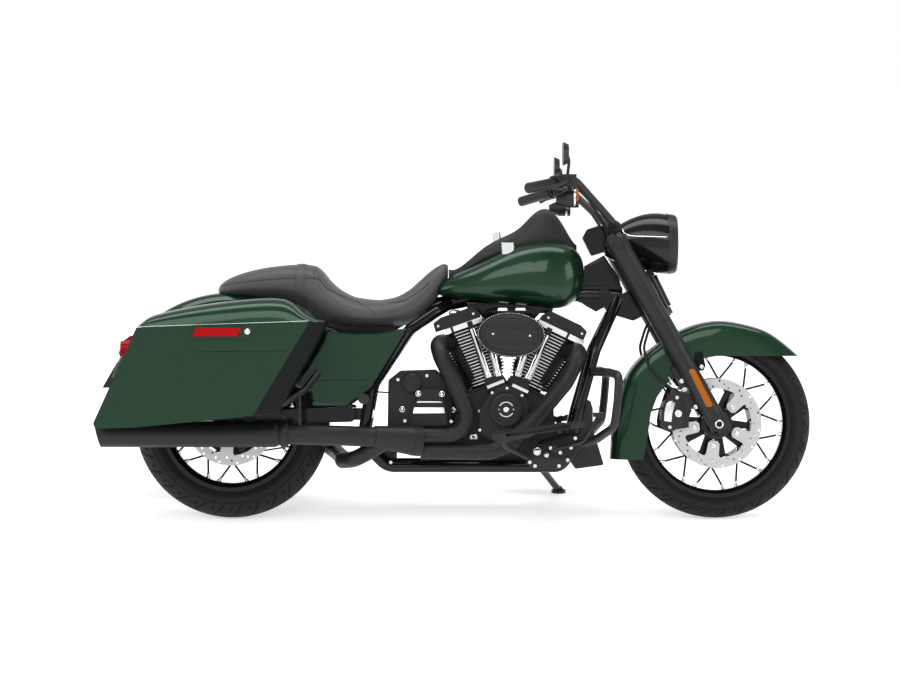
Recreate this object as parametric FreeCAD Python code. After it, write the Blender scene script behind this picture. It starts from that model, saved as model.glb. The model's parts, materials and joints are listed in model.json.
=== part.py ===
import FreeCAD
import Part
import math
import os

# Touring cruiser motorcycle with hard side bags, parked on its side stand.
# The machine is drawn upright: X forward from mid wheelbase, Y to the left, Z up from the ground.
# The last section leans the finished pieces onto the side stand and writes one file for each.

# Whole machine
WHEELBASE = 1625.0
LEAN_ANGLE = 10.0
RAKE_ANGLE = 26.0
TRAIL = 170.0
RUNNING_CLEARANCE = 0.08
SEAT_CLEARANCE = 0.3

# Front wheel and tyre
FRONT_TYRE_RADIUS = 320.0
FRONT_TYRE_WIDTH = 130.0
FRONT_CROWN_RADIUS = 66.0
FRONT_BEAD_RADIUS = 241.0
FRONT_RIM_INNER_RADIUS = 226.0
FRONT_RIM_WIDTH = 92.0

# Rear wheel and tyre
REAR_TYRE_RADIUS = 328.0
REAR_TYRE_WIDTH = 180.0
REAR_CROWN_RADIUS = 92.0
REAR_BEAD_RADIUS = 228.0
REAR_RIM_INNER_RADIUS = 211.0
REAR_RIM_WIDTH = 132.0

# Wheel centres, both wheels
TYRE_WALL = 12.0
RIM_WALL = 4.0
RIM_FLANGE = 10.0
SHOULDER_ANGLE = 48.0
HUB_ARMS = 10
HUB_ARM_REACH = 118.0
HUB_ARM_WIDTH = 15.0
FRONT_FIRST_ARM = 31.0
REAR_FIRST_ARM = 0.0
HUB_RADIUS = 40.0
HUB_HALF_WIDTH = 46.0
SPOKE_RADIUS = 3.6
AXLE_RADIUS = 12.5
AXLE_BORE = 9.5
DISC_RADIUS = 150.0
DISC_BAND = 34.0
DISC_THICKNESS = 5.0
DISC_OFFSET = 72.0
DISC_TABS = 5

# Fork and steering head
FORK_ANGLE = 29.25
FORK_HALF_SPACING = 121.0
FORK_COVER_RADIUS = 37.0
FORK_SLIDER_RADIUS = 32.0
FORK_TOP_HEIGHT = 922.0
FORK_COVER_LOW_HEIGHT = 730.0
HEAD_TUBE_RADIUS = 31.0
HEAD_TUBE_LOW = 705.0
HEAD_TUBE_HIGH = 808.0
STEM_RADIUS = 17.0
CLAMP_THICKNESS = 24.0
STEERING_LIMIT = 36.0

# Handlebar
BAR_RADIUS = 16.0
BAR_BEND = 60.0
GRIP_RADIUS = 17.5
GRIP_LENGTH = 122.0
RISER_RADIUS = 15.0
RISER_HALF_SPACING = 50.0

# Headlamp
LAMP_HEIGHT = 923.0
LAMP_RADIUS = 101.0
BEZEL_BACK = 650.0
BEZEL_DEPTH = 33.0

# Frame
FRAME_TUBE_RADIUS = 19.0
FRAME_RAIL_HALF_SPACING = 118.0
FRAME_RAIL_HEIGHT = 178.0
BACKBONE_RADIUS = 26.0

# Engine
CRANK_X = 102.0
CRANK_HEIGHT = 284.0
CYLINDER_TILTS = (-19.5, 25.5)
FIN_FOOT_REACH = 62.0
FIN_FLARE = 0.15
FIN_INNER_REACH = 80.0
FIN_V_GAP = 14.0
BARREL_HALF_WIDTH = 73.0
FIN_DEPTH = 158.0
FIN_CORNER = 40.0
FIN_PITCH = 10.8
FIN_THICKNESS = 4.4
FIN_COUNT = 14
FIN_START = 184.0
BARREL_RADIUS = 52.0
HEAD_HEIGHT = 44.0
ROCKER_HEIGHT = 52.0
PUSHROD_RADIUS = 11.0
CRANKCASE_HALF_WIDTH = 92.0

# Air cleaner
AIR_CLEANER_X = 121.0
AIR_CLEANER_HEIGHT = 617.0
AIR_CLEANER_LENGTH = 224.0
AIR_CLEANER_DEPTH = 148.0
AIR_CLEANER_TILT = 3.0
AIR_CLEANER_FACE = 262.0
AIR_CLEANER_THICKNESS = 62.0

# Exhaust
HEADER_RADIUS = 27.0
MUFFLER_RADIUS = 42.0
MUFFLER_HALF_SPACING = 300.0
MUFFLER_HEIGHT = 292.0
MUFFLER_FRONT = -633.0
MUFFLER_TIP = -1241.0
PIPE_WALL = 2.5

# Side bags
BAG_INNER = 218.0
BAG_OUTER = 470.0
BAG_WALL = 5.0
LID_GAP = 1.0
LID_OPEN_ANGLE = 62.0

# Seat and body width
SEAT_HALF_WIDTH = 176.0
TANK_HALF_WIDTH = 152.0
TANK_WALL = 3.0
REAR_FENDER_RADIUS = 430.0
REAR_FENDER_HALF_WIDTH = 118.0
FRONT_FENDER_HALF_WIDTH = 82.0
SHEET_WALL = 3.0

# Side stand
STAND_PIVOT = (205.0, 150.0, 196.0)
STAND_FOOT = (300.0, 372.0)
STAND_LEG_RADIUS = 12.0
STAND_SWING = 98.0

FRONT_X = WHEELBASE / 2
REAR_X = -WHEELBASE / 2
LEAN = math.radians(LEAN_ANGLE)
RAKE = math.radians(RAKE_ANGLE)
FRONT_AXLE_HEIGHT = FRONT_TYRE_RADIUS + FRONT_CROWN_RADIUS * (1 / math.cos(LEAN) - 1)
REAR_AXLE_HEIGHT = REAR_TYRE_RADIUS + REAR_CROWN_RADIUS * (1 / math.cos(LEAN) - 1)

parts = {}


def vec(x, y, z):
    """A point or a direction."""
    return FreeCAD.Vector(x, y, z)


def eased(stations, count):
    """Rows between stations, evenly spaced and without overshoot."""
    places = [row[0] for row in stations]
    steps = [after - before for before, after in zip(places, places[1:])]
    columns = []
    for column in range(1, len(stations[0])):
        values = [row[column] for row in stations]
        slopes = [(after - before) / step for before, after, step in zip(values, values[1:], steps)]
        rates = [slopes[0]]
        for index in range(1, len(slopes)):
            before, after = slopes[index - 1], slopes[index]
            rates.append(2 * before * after / (before + after) if before * after > 0 else 0.0)
        rates.append(slopes[-1])
        columns.append((values, rates))
    rows = []
    for number in range(count):
        place = places[0] + (places[-1] - places[0]) * number / (count - 1)
        index = max(i for i in range(len(steps)) if places[i] <= place + 1e-9)
        step = steps[index]
        share = (place - places[index]) / step
        row = [place]
        for values, rates in columns:
            start = (1 + 2 * share) * (1 - share) ** 2 * values[index]
            start += share * (1 - share) ** 2 * step * rates[index]
            end = share ** 2 * (3 - 2 * share) * values[index + 1]
            row.append(start + end + share ** 2 * (share - 1) * step * rates[index + 1])
        rows.append(row)
    return rows


def corner_arc(before, at, after, radius):
    """The start, middle and end of the arc that rounds one corner."""
    back = before - at
    ahead = after - at
    half = back.getAngle(ahead) / 2
    reach = min(radius / math.tan(half), 0.48 * back.Length, 0.48 * ahead.Length)
    fitted = reach * math.tan(half)
    back.normalize()
    ahead.normalize()
    inward = back + ahead
    inward.normalize()
    middle = at + inward * (fitted / math.sin(half) - fitted)
    return at + back * reach, middle, at + ahead * reach


def outline(points, radius):
    """A closed flat wire with every corner rounded."""
    if radius <= 0:
        return Part.makePolygon(list(points) + [points[0]])
    arcs = []
    for index, point in enumerate(points):
        arcs.append(corner_arc(points[index - 1], point, points[(index + 1) % len(points)], radius))
    edges = []
    for index, (start, middle, end) in enumerate(arcs):
        edges.append(Part.Arc(start, middle, end).toShape())
        following = arcs[(index + 1) % len(arcs)][0]
        edges.append(Part.LineSegment(end, following).toShape())
    return Part.Wire(edges)


def route(points, radius):
    """An open wire of straight runs joined by tangent arcs."""
    edges = []
    last = points[0]
    for index in range(1, len(points) - 1):
        start, middle, end = corner_arc(points[index - 1], points[index], points[index + 1], radius)
        edges.append(Part.LineSegment(last, start).toShape())
        edges.append(Part.Arc(start, middle, end).toShape())
        last = end
    edges.append(Part.LineSegment(last, points[-1]).toShape())
    return Part.Wire(edges)


def sweep(path, profile):
    """A solid made by carrying a closed profile along a path."""
    return path.makePipeShell([profile], True, False)


def rod(points, radius, bend=60.0):
    """A round bar through the given points."""
    start = points[0]
    along = points[1] - points[0]
    profile = Part.Wire([Part.Circle(start, along, radius).toShape()])
    return sweep(route(points, bend), profile)


def cylinder(start, end, radius):
    """A straight round bar between two points."""
    along = end - start
    return Part.makeCylinder(radius, along.Length, start, along)


def cone(start, end, radius_start, radius_end):
    """A straight taper between two points."""
    along = end - start
    return Part.makeCone(radius_start, radius_end, along.Length, start, along)


def block(x_pair, y_pair, z_pair):
    """A box between pairs of coordinates."""
    corner = vec(min(x_pair), min(y_pair), min(z_pair))
    size = [abs(pair[1] - pair[0]) for pair in (x_pair, y_pair, z_pair)]
    return Part.makeBox(size[0], size[1], size[2], corner)


def side_wire(points, y, radius=0.0):
    """A closed wire in a plane seen from the side, from X and Z pairs."""
    return outline([vec(x, y, z) for x, z in points], radius)


def side_plate(points, y_pair, radius=0.0):
    """A plate with a side outline, from one Y to another."""
    face = Part.Face(side_wire(points, y_pair[0], radius))
    return face.extrude(vec(0, y_pair[1] - y_pair[0], 0))


def loft(wires, ruled=False):
    """A solid through closed wires in order."""
    return Part.makeLoft(wires, True, ruled)


def smooth_loop(points):
    """A closed smooth wire through the given points."""
    curve = Part.BSplineCurve()
    curve.interpolate(Points=points, PeriodicFlag=True)
    return Part.Wire([curve.toShape()])


def hoop(x, half_width, low, high, form):
    """A smooth closed section across the machine, from a half form of width and height shares."""
    height = high - low
    half = [vec(x, -half_width * wide, low + height * tall) for wide, tall in form]
    other = [vec(x, half_width * wide, low + height * tall) for wide, tall in form[-2:0:-1]]
    return smooth_loop(half + other)


def spun(points, centre_x, centre_z, degrees=360.0, start=0.0):
    """A solid of revolution about a wheel axis, from pairs of radius and Y."""
    corners = [vec(centre_x + radius, y, centre_z) for radius, y in points]
    face = Part.Face(Part.makePolygon(corners + [corners[0]]))
    solid = face.revolve(vec(centre_x, 0, centre_z), vec(0, -1, 0), degrees)
    solid.rotate(vec(centre_x, 0, centre_z), vec(0, -1, 0), start)
    return solid


def fused(shapes):
    """One solid from overlapping solids."""
    shapes = list(shapes)
    return shapes[0].multiFuse(shapes[1:]).removeSplitter()


def mirrored(shape):
    """The same piece on the other side of the machine."""
    return shape.mirror(vec(0, 0, 0), vec(0, 1, 0))


def minus(shape, *others):
    """A solid with its neighbours' room cut out of it."""
    return shape.cut(list(others))


def add(name, shape):
    """Keep a finished piece under its node name."""
    parts[name] = shape
    return shape


def head_point(height, ahead=0.0):
    """A point on the steering axis at a height, moved square to it in the mid plane."""
    x = FRONT_X + TRAIL - height * math.tan(RAKE)
    return vec(x + ahead * math.cos(RAKE), 0, height + ahead * math.sin(RAKE))


def fork_point(height, side):
    """A point on a fork leg's centre line at a height."""
    x = FRONT_X - (height - FRONT_AXLE_HEIGHT) * math.tan(math.radians(FORK_ANGLE))
    return vec(x, side * FORK_HALF_SPACING, height)


def cylinder_axis(tilt):
    """The direction in which an engine cylinder stands."""
    angle = math.radians(tilt)
    return vec(math.sin(angle), 0, math.cos(angle))


def cylinder_point(tilt, along, ahead=0.0, y=0.0):
    """A point in a cylinder's own frame: along its axis, ahead of it and to the left."""
    axis = cylinder_axis(tilt)
    forward = vec(axis.z, 0, -axis.x)
    return vec(CRANK_X, y, CRANK_HEIGHT) + axis * along + forward * ahead


# Wheels

def tyre(centre_x, height, radius, width, crown, bead, rim_width):
    """A hollow tyre with a round crown, and feet that stand between the rim's flanges."""
    half = width / 2
    crown_centre = radius - crown
    edge_angle = math.radians(SHOULDER_ANGLE)
    foot_y = rim_width / 2 + 1
    foot_top = bead + RIM_FLANGE + 1
    waist_radius = (foot_top + crown_centre + crown * math.cos(edge_angle)) / 2

    def half_wires(inset):
        """The crown, both sides and both feet, drawn in by the wall."""
        reach = crown - inset
        side_y = reach * math.sin(edge_angle)
        side_radius = crown_centre + reach * math.cos(edge_angle)
        places = [(side_radius, side_y), (waist_radius, half - inset), (foot_top, foot_y - inset), (bead, foot_y - inset)]
        left = [vec(centre_x + r, y, height) for r, y in places]
        right = [vec(point.x, -point.y, point.z) for point in left]
        edges = [Part.Arc(right[0], vec(centre_x + radius - inset, 0, height), left[0]).toShape()]
        for points in (left, right):
            edges.append(Part.Arc(points[0], points[1], points[2]).toShape())
            edges.append(Part.LineSegment(points[2], points[3]).toShape())
        return edges, left[3], right[3]

    outer, outer_left, outer_right = half_wires(0)
    inner, inner_left, inner_right = half_wires(TYRE_WALL)
    ends = [Part.LineSegment(outer_left, inner_left).toShape()]
    ends.append(Part.LineSegment(inner_right, outer_right).toShape())
    face = Part.Face(Part.Wire(Part.sortEdges(outer + inner + ends)[0]))
    return face.revolve(vec(centre_x, 0, height), vec(0, 1, 0), 360)


def rim(centre_x, height, bead, inner, width):
    """A rim barrel with two bead seats, two flanges and a dropped centre."""
    half = width / 2
    side = [
        (inner + RIM_WALL, 16), (bead, half - 16), (bead, half + 1), (bead + RIM_FLANGE, half + 1),
        (bead + RIM_FLANGE, half + 5), (bead - RIM_WALL, half + 5), (bead - RIM_WALL, half - 12), (inner, 19),
    ]
    ring = side + [(radius, -y) for radius, y in reversed(side)]
    return spun(ring, centre_x, height)


def wheel_centre(centre_x, height, reach, half_width, first_arm):
    """A bored hub with tapered arms, and crossed spokes from the arm ends to the rim."""
    centre = vec(centre_x, 0, height)
    hub = cylinder(centre - vec(0, half_width, 0), centre + vec(0, half_width, 0), HUB_RADIUS)
    flange_profile = [(HUB_RADIUS - 6, -13), (HUB_RADIUS + 16, -13), (HUB_RADIUS + 16, 13), (HUB_RADIUS - 6, 13)]
    pieces = [hub, spun(flange_profile, centre_x, height)]
    step = 360.0 / HUB_ARMS
    arm_points = [
        (HUB_RADIUS, -HUB_ARM_WIDTH), (HUB_ARM_REACH, -HUB_ARM_WIDTH * 0.72),
        (HUB_ARM_REACH, HUB_ARM_WIDTH * 0.72), (HUB_RADIUS, HUB_ARM_WIDTH),
    ]
    for index in range(HUB_ARMS):
        arm = side_plate([(centre_x + x, height + z) for x, z in arm_points], (-8, 8))
        arm.rotate(centre, vec(0, -1, 0), index * step + first_arm)
        pieces.append(arm)
        for lean in (-1, 1):
            start_angle = math.radians(index * step + first_arm)
            end_angle = start_angle + lean * math.radians(step * 0.86)
            root = HUB_ARM_REACH - 14
            y = lean * 3.9
            start = centre + vec(root * math.cos(start_angle), y, root * math.sin(start_angle))
            end = centre + vec(reach * math.cos(end_angle), y, reach * math.sin(end_angle))
            pieces.append(cylinder(start, end, SPOKE_RADIUS))
    return pieces, centre


def wheel(centre_x, height, bead, inner, width, first_arm):
    """A whole wheel in one piece, bored for its axle."""
    pieces, centre = wheel_centre(centre_x, height, inner, HUB_HALF_WIDTH, first_arm)
    pieces.append(rim(centre_x, height, bead, inner, width))
    solid = fused(pieces)
    reach = vec(0, HUB_HALF_WIDTH + 5, 0)
    bore = cylinder(centre - reach, centre + reach, AXLE_RADIUS + RUNNING_CLEARANCE)
    return solid.cut(bore)


def brake_disc(centre_x, height, side):
    """A brake rotor: a wide ring on tabs that seat on the hub's side."""
    inside = DISC_RADIUS - DISC_BAND
    y_pair = (side * DISC_OFFSET, side * (DISC_OFFSET + DISC_THICKNESS))
    ring = spun([(inside, y_pair[0]), (DISC_RADIUS, y_pair[0]), (DISC_RADIUS, y_pair[1]), (inside, y_pair[1])],
                centre_x, height)
    seat_y = side * HUB_HALF_WIDTH
    carrier = spun([(AXLE_RADIUS + 9, seat_y), (HUB_RADIUS, seat_y), (HUB_RADIUS, y_pair[1]),
                    (AXLE_RADIUS + 9, y_pair[1])], centre_x, height)
    pieces = [ring, carrier]
    centre = vec(centre_x, 0, height)
    for index in range(DISC_TABS):
        tab = side_plate([(centre_x + HUB_RADIUS - 6, height - 12), (centre_x + inside + 6, height - 7),
                          (centre_x + inside + 6, height + 7), (centre_x + HUB_RADIUS - 6, height + 12)], y_pair)
        tab.rotate(centre, vec(0, -1, 0), 46 + 72 * index)
        pieces.append(tab)
    return fused(pieces)


add("front_tyre", tyre(FRONT_X, FRONT_AXLE_HEIGHT, FRONT_TYRE_RADIUS, FRONT_TYRE_WIDTH,
                       FRONT_CROWN_RADIUS, FRONT_BEAD_RADIUS, FRONT_RIM_WIDTH))
add("rear_tyre", tyre(REAR_X, REAR_AXLE_HEIGHT, REAR_TYRE_RADIUS, REAR_TYRE_WIDTH,
                      REAR_CROWN_RADIUS, REAR_BEAD_RADIUS, REAR_RIM_WIDTH))
add("front_wheel", wheel(FRONT_X, FRONT_AXLE_HEIGHT, FRONT_BEAD_RADIUS, FRONT_RIM_INNER_RADIUS, FRONT_RIM_WIDTH,
                         FRONT_FIRST_ARM))
add("rear_wheel", wheel(REAR_X, REAR_AXLE_HEIGHT, REAR_BEAD_RADIUS, REAR_RIM_INNER_RADIUS, REAR_RIM_WIDTH,
                        REAR_FIRST_ARM))
front_discs = [brake_disc(FRONT_X, FRONT_AXLE_HEIGHT, side) for side in (-1, 1)]
add("front_discs", Part.makeCompound(front_discs))
add("rear_disc", brake_disc(REAR_X, REAR_AXLE_HEIGHT, -1))

# Rear pulley on the left of the rear hub
PULLEY_RADIUS = 118.0
PULLEY_WIDTH = 30.0
PULLEY_OFFSET = 108.0
pulley_seat = HUB_HALF_WIDTH
pulley_profile = [
    (AXLE_RADIUS + 9, pulley_seat), (HUB_RADIUS, pulley_seat), (HUB_RADIUS, PULLEY_OFFSET - 6),
    (PULLEY_RADIUS - 12, PULLEY_OFFSET - 6), (PULLEY_RADIUS - 12, PULLEY_OFFSET - PULLEY_WIDTH / 2),
    (PULLEY_RADIUS, PULLEY_OFFSET - PULLEY_WIDTH / 2), (PULLEY_RADIUS, PULLEY_OFFSET + PULLEY_WIDTH / 2),
    (PULLEY_RADIUS - 12, PULLEY_OFFSET + PULLEY_WIDTH / 2), (PULLEY_RADIUS - 12, PULLEY_OFFSET + 2),
    (AXLE_RADIUS + 9, PULLEY_OFFSET + 2),
]
add("rear_pulley", spun(pulley_profile, REAR_X, REAR_AXLE_HEIGHT))


# Steering: clamps, fork, handlebar, lamp and front fender

head_low = head_point(HEAD_TUBE_LOW)
head_high = head_point(HEAD_TUBE_HIGH)
head_axis = head_high - head_low
head_axis.normalize()
CLAMP_GAP = 1.0
STEM_OVERRUN = 4.0


def fork_clamp(middle, name_radius):
    """A clamp across both legs, square to the steering axis, with the stem's boss."""
    lift = head_axis * CLAMP_THICKNESS
    bodies = [Part.makeCylinder(name_radius, CLAMP_THICKNESS, middle, head_axis)]
    for side in (-1, 1):
        leg = fork_point(middle.z, side)
        bodies.append(Part.makeCylinder(FORK_COVER_RADIUS + 9, CLAMP_THICKNESS, leg, head_axis))
        inner = [middle + vec(-34, 0, 0), middle + vec(20, 0, 0), leg + vec(30, 0, 0), leg + vec(-38, 0, 0)]
        flat = [point - head_axis * (point - middle).dot(head_axis) for point in inner]
        bodies.append(Part.Face(Part.makePolygon(flat + [flat[0]])).extrude(lift))
    return fused(bodies)


def fork_leg(side):
    """One leg: outer cover above, bare slider below, with a boss for the axle."""
    top = fork_point(FORK_TOP_HEIGHT, side)
    shoulder = fork_point(FORK_COVER_LOW_HEIGHT, side)
    seal = fork_point(FORK_COVER_LOW_HEIGHT - 150, side)
    foot = fork_point(FRONT_AXLE_HEIGHT - 14, side)
    pieces = [
        cylinder(shoulder, top, FORK_COVER_RADIUS),
        cylinder(seal, shoulder, FORK_COVER_RADIUS - 2.0),
        cone(fork_point(FORK_COVER_LOW_HEIGHT - 172, side), seal, FORK_SLIDER_RADIUS, FORK_COVER_RADIUS - 2.0),
        cylinder(foot, seal, FORK_SLIDER_RADIUS),
        Part.makeSphere(FORK_COVER_RADIUS, top),
    ]
    axle = vec(FRONT_X, 0, FRONT_AXLE_HEIGHT)
    inner_y = side * (FORK_HALF_SPACING - FORK_SLIDER_RADIUS)
    outer_y = side * (FORK_HALF_SPACING + FORK_SLIDER_RADIUS + 4)
    pieces.append(cylinder(axle + vec(0, inner_y, 0), axle + vec(0, outer_y, 0), 27))
    lug = side_plate([(FRONT_X - 22, FRONT_AXLE_HEIGHT + 24), (FRONT_X + 22, FRONT_AXLE_HEIGHT + 40),
                      (FRONT_X + 44, FRONT_AXLE_HEIGHT - 12), (FRONT_X + 4, FRONT_AXLE_HEIGHT - 36)],
                     (side * (FORK_HALF_SPACING - 20), outer_y - side * 1.0), 5)
    pieces.append(lug)
    slider_tab = side_plate([(FRONT_X - 160, FRONT_AXLE_HEIGHT + 190), (FRONT_X - 80, FRONT_AXLE_HEIGHT + 190),
                             (FRONT_X - 62, FRONT_AXLE_HEIGHT + 120), (FRONT_X - 122, FRONT_AXLE_HEIGHT + 120)],
                            (side * (FRONT_FENDER_HALF_WIDTH + SEAT_CLEARANCE), side * (FORK_HALF_SPACING - 6)), 10)
    pieces.append(slider_tab)
    bore = cylinder(axle - vec(0, 200, 0), axle + vec(0, 200, 0), AXLE_RADIUS)
    return fused(pieces).cut(bore)


legs = {-1: fork_leg(-1)}
legs[1] = mirrored(legs[-1])
clamps = [fork_clamp(head_low - head_axis * (CLAMP_THICKNESS + CLAMP_GAP), HEAD_TUBE_RADIUS + 3),
          fork_clamp(head_high + head_axis * CLAMP_GAP, HEAD_TUBE_RADIUS + 3)]
stem = cylinder(head_low - head_axis * (CLAMP_THICKNESS + CLAMP_GAP + STEM_OVERRUN),
                head_high + head_axis * (CLAMP_THICKNESS + CLAMP_GAP + STEM_OVERRUN), STEM_RADIUS)
RISER_FOOT = (545.0, 822.0)
RISER_LENGTH = 172.0
riser_foot = {side: vec(RISER_FOOT[0], side * RISER_HALF_SPACING, RISER_FOOT[1]) for side in (-1, 1)}
riser_top = {side: riser_foot[side] + head_axis * RISER_LENGTH for side in (-1, 1)}
risers = [cylinder(riser_foot[side] - head_axis * 12, riser_top[side], RISER_RADIUS) for side in (-1, 1)]
bar_centre = vec(riser_top[1].x, 0, riser_top[1].z)
bar_clamp = cylinder(bar_centre - vec(0, RISER_HALF_SPACING + 18, 0),
                     bar_centre + vec(0, RISER_HALF_SPACING + 18, 0), BAR_RADIUS + 9)

# The bar rises from the clamp, turns outwards and sweeps back to the grips
BAR_SHOULDER = (327.0, 330.0, 1128.0)
GRIP_END = (176.0, 440.0, 1089.0)
bar_side = [vec(bar_centre.x, 0, bar_centre.z), vec(bar_centre.x - 4, 150, bar_centre.z + 8),
            vec(BAR_SHOULDER[0], BAR_SHOULDER[1] - 60, BAR_SHOULDER[2]), vec(*GRIP_END)]
bar_points = [vec(point.x, -point.y, point.z) for point in reversed(bar_side[1:])] + bar_side[1:]
handlebar = rod(bar_points, BAR_RADIUS - 3.5, BAR_BEND)
handlebar = fused([handlebar, cylinder(bar_centre - vec(0, 90, 0), bar_centre + vec(0, 90, 0), BAR_RADIUS)])
triple_clamp = fused(clamps + [stem] + risers + [bar_clamp])
triple_clamp = minus(triple_clamp, legs[-1], legs[1], handlebar)
triple_clamp = max(triple_clamp.Solids, key=lambda solid: solid.Volume)
add("triple_clamp", triple_clamp)
add("fork_right", legs[-1])
add("fork_left", legs[1])


def grip_axis(side):
    """The end of the bar and the direction back along it."""
    end = vec(GRIP_END[0], side * GRIP_END[1], GRIP_END[2])
    elbow = vec(BAR_SHOULDER[0], side * (BAR_SHOULDER[1] - 60), BAR_SHOULDER[2])
    inward = elbow - end
    inward.normalize()
    return end, inward


controls = []
grips = []
for side in (-1, 1):
    end, inward = grip_axis(side)
    grip = cylinder(end - inward * 6, end + inward * GRIP_LENGTH, GRIP_RADIUS)
    grips.append(grip.cut(handlebar))
    switch = cylinder(end + inward * (GRIP_LENGTH + 1), end + inward * (GRIP_LENGTH + 34), 24)
    tank = block((end.x + inward.x * 170 - 10, end.x + inward.x * 170 + 44),
                 (side * (abs(end.y) - 158), side * (abs(end.y) - 98)),
                 (end.z + 8, end.z + 50))
    lever_root = end + inward * 150 + vec(38, 0, 6)
    lever_tip = end + inward * 8 + vec(58, 0, -4)
    lever = rod([lever_root, lever_root - inward * 50 + vec(18, 0, 2), lever_tip], 6.5, 40)
    perch = cylinder(end + inward * 145, lever_root + vec(8, 0, 0), 12)
    unit = fused([switch, tank, lever, perch, cylinder(end + inward * 134, end + inward * 168, 21)])
    controls.append(minus(unit, handlebar))
add("handlebar", handlebar)
add("grips", Part.makeCompound(grips))
add("hand_controls", Part.makeCompound(controls))

# Mirrors on stems from the controls
mirrors = []
for side in (-1, 1):
    end, inward = grip_axis(side)
    root = vec(end.x + inward.x * 170 + 16, side * (abs(end.y) - 128), end.z + 50)
    head = vec(root.x - 8, side * (abs(end.y) - 62), 1203)
    stem_rod = rod([root, root + vec(6, side * 6, 50), head], 5, 30)
    shell_form = [(0, 0), (0.7, 0.04), (1.0, 0.32), (1.0, 0.68), (0.7, 0.96), (0, 1)]
    glass_back = hoop(head.x - 10, 62, 1167, 1239, shell_form)
    glass_front = hoop(head.x + 8, 50, 1175, 1231, shell_form)
    shell = loft([glass_back, glass_front])
    shell.translate(vec(0, head.y, 0))
    mirrors.append(minus(fused([stem_rod, shell]), *controls))
add("mirrors", Part.makeCompound(mirrors))

# Bullet turn signals under the controls
signals = []
for side in (-1, 1):
    end, inward = grip_axis(side)
    middle = vec(309, side * 318, 1058)
    body = cylinder(middle - vec(10, 0, 0), middle + vec(30, 0, 0), 27)
    tail = cone(middle - vec(44, 0, 0), middle - vec(10, 0, 0), 12, 27)
    stalk = cylinder(middle, vec(middle.x, middle.y, 1112), 8)
    signals.append(minus(fused([body, tail, stalk]), handlebar, controls[0], controls[1]))
add("front_turn_signals", Part.makeCompound(signals))

# Headlamp nacelle, bezel and lens
OVAL = [(0, 0), (0.5, 0.067), (0.866, 0.25), (1.0, 0.5), (0.866, 0.75), (0.5, 0.933), (0, 1)]
NACELLE_STATIONS = [
    (442, 44, -39, 27), (483, 62, -61, 61), (547, 74, -80, 93), (598, 90, -94, 104), (BEZEL_BACK, LAMP_RADIUS,
    -LAMP_RADIUS, LAMP_RADIUS),
]


def nacelle_loft(inset):
    """The lamp shell, drawn in by a wall."""
    return loft([hoop(x, half - inset, LAMP_HEIGHT + low + inset, LAMP_HEIGHT + high - inset, OVAL)
                 for x, half, low, high in NACELLE_STATIONS])


nacelle = nacelle_loft(0).cut(nacelle_loft(SHEET_WALL))
NACELLE_TAIL = [(380, 48), (364, 19), (394, -42), (446, -26), (452, -18), (452, 57), (420, 61)]
nacelle_tail = side_plate([(x, LAMP_HEIGHT + rise) for x, rise in NACELLE_TAIL], (-42, 42), 7)
nacelle = fused([nacelle, nacelle_tail])
riser_room = [cylinder(riser_foot[side] - head_axis * 60, riser_top[side] + head_axis * 60, RISER_RADIUS + 1)
              for side in (-1, 1)]
nacelle = minus(nacelle, *riser_room)
nacelle = minus(nacelle, triple_clamp, handlebar, legs[-1], legs[1])
nacelle = max(nacelle.Solids, key=lambda solid: solid.Volume)
add("headlamp_nacelle", nacelle)
lamp_centre = vec(BEZEL_BACK, 0, LAMP_HEIGHT)
BEZEL_WALL = 9.0


def lamp_spun(points):
    """A round piece on the lamp's level axis, from pairs of X and radius."""
    corners = [vec(x, 0, LAMP_HEIGHT + radius) for x, radius in points]
    face = Part.Face(Part.makePolygon(corners + [corners[0]]))
    return face.revolve(lamp_centre, vec(1, 0, 0), 360)


bezel_front = BEZEL_BACK + BEZEL_DEPTH
add("headlamp_bezel", lamp_spun([
    (BEZEL_BACK, LAMP_RADIUS - SHEET_WALL), (BEZEL_BACK, LAMP_RADIUS), (BEZEL_BACK + 12, LAMP_RADIUS),
    (bezel_front - 6, LAMP_RADIUS - 3), (bezel_front, LAMP_RADIUS - BEZEL_WALL),
    (bezel_front - 3, LAMP_RADIUS - BEZEL_WALL - 4), (BEZEL_BACK + 9, LAMP_RADIUS - BEZEL_WALL - 2),
]))
LENS_RADIUS = LAMP_RADIUS - BEZEL_WALL + 1
add("headlamp_lens", lamp_spun([
    (BEZEL_BACK + 12, 0), (BEZEL_BACK + 9, LENS_RADIUS - 2), (bezel_front - 6, LENS_RADIUS - 2),
    (bezel_front - 2, LENS_RADIUS - 26), (bezel_front + 2, LENS_RADIUS - 55), (bezel_front + 3, 0),
]).cut(parts["headlamp_bezel"]))

# Front fender, swept along its crown line and trimmed to its lower edge
FENDER_CROWN = [(1095, 545), (1034, 597), (985, 629), (911, 653), (838, 665), (764, 658), (690, 632), (617, 589),
                (560, 543), (519, 494), (484, 391), (463, 278), (458, 200)]
FENDER_SKIRT = 165.0
FENDER_LOWER_EDGE = [(1150, 546), (813, 546), (775, 540), (739, 526), (690, 493), (641, 450), (612, 408), (592, 356),
                     (583, 293), (566, 198), (566, 100), (700, 60), (1150, 100)]


def spline_xz(points):
    """A smooth curve in the mid plane."""
    curve = Part.BSplineCurve()
    curve.interpolate([vec(x, 0, z) for x, z in points])
    return curve


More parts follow.
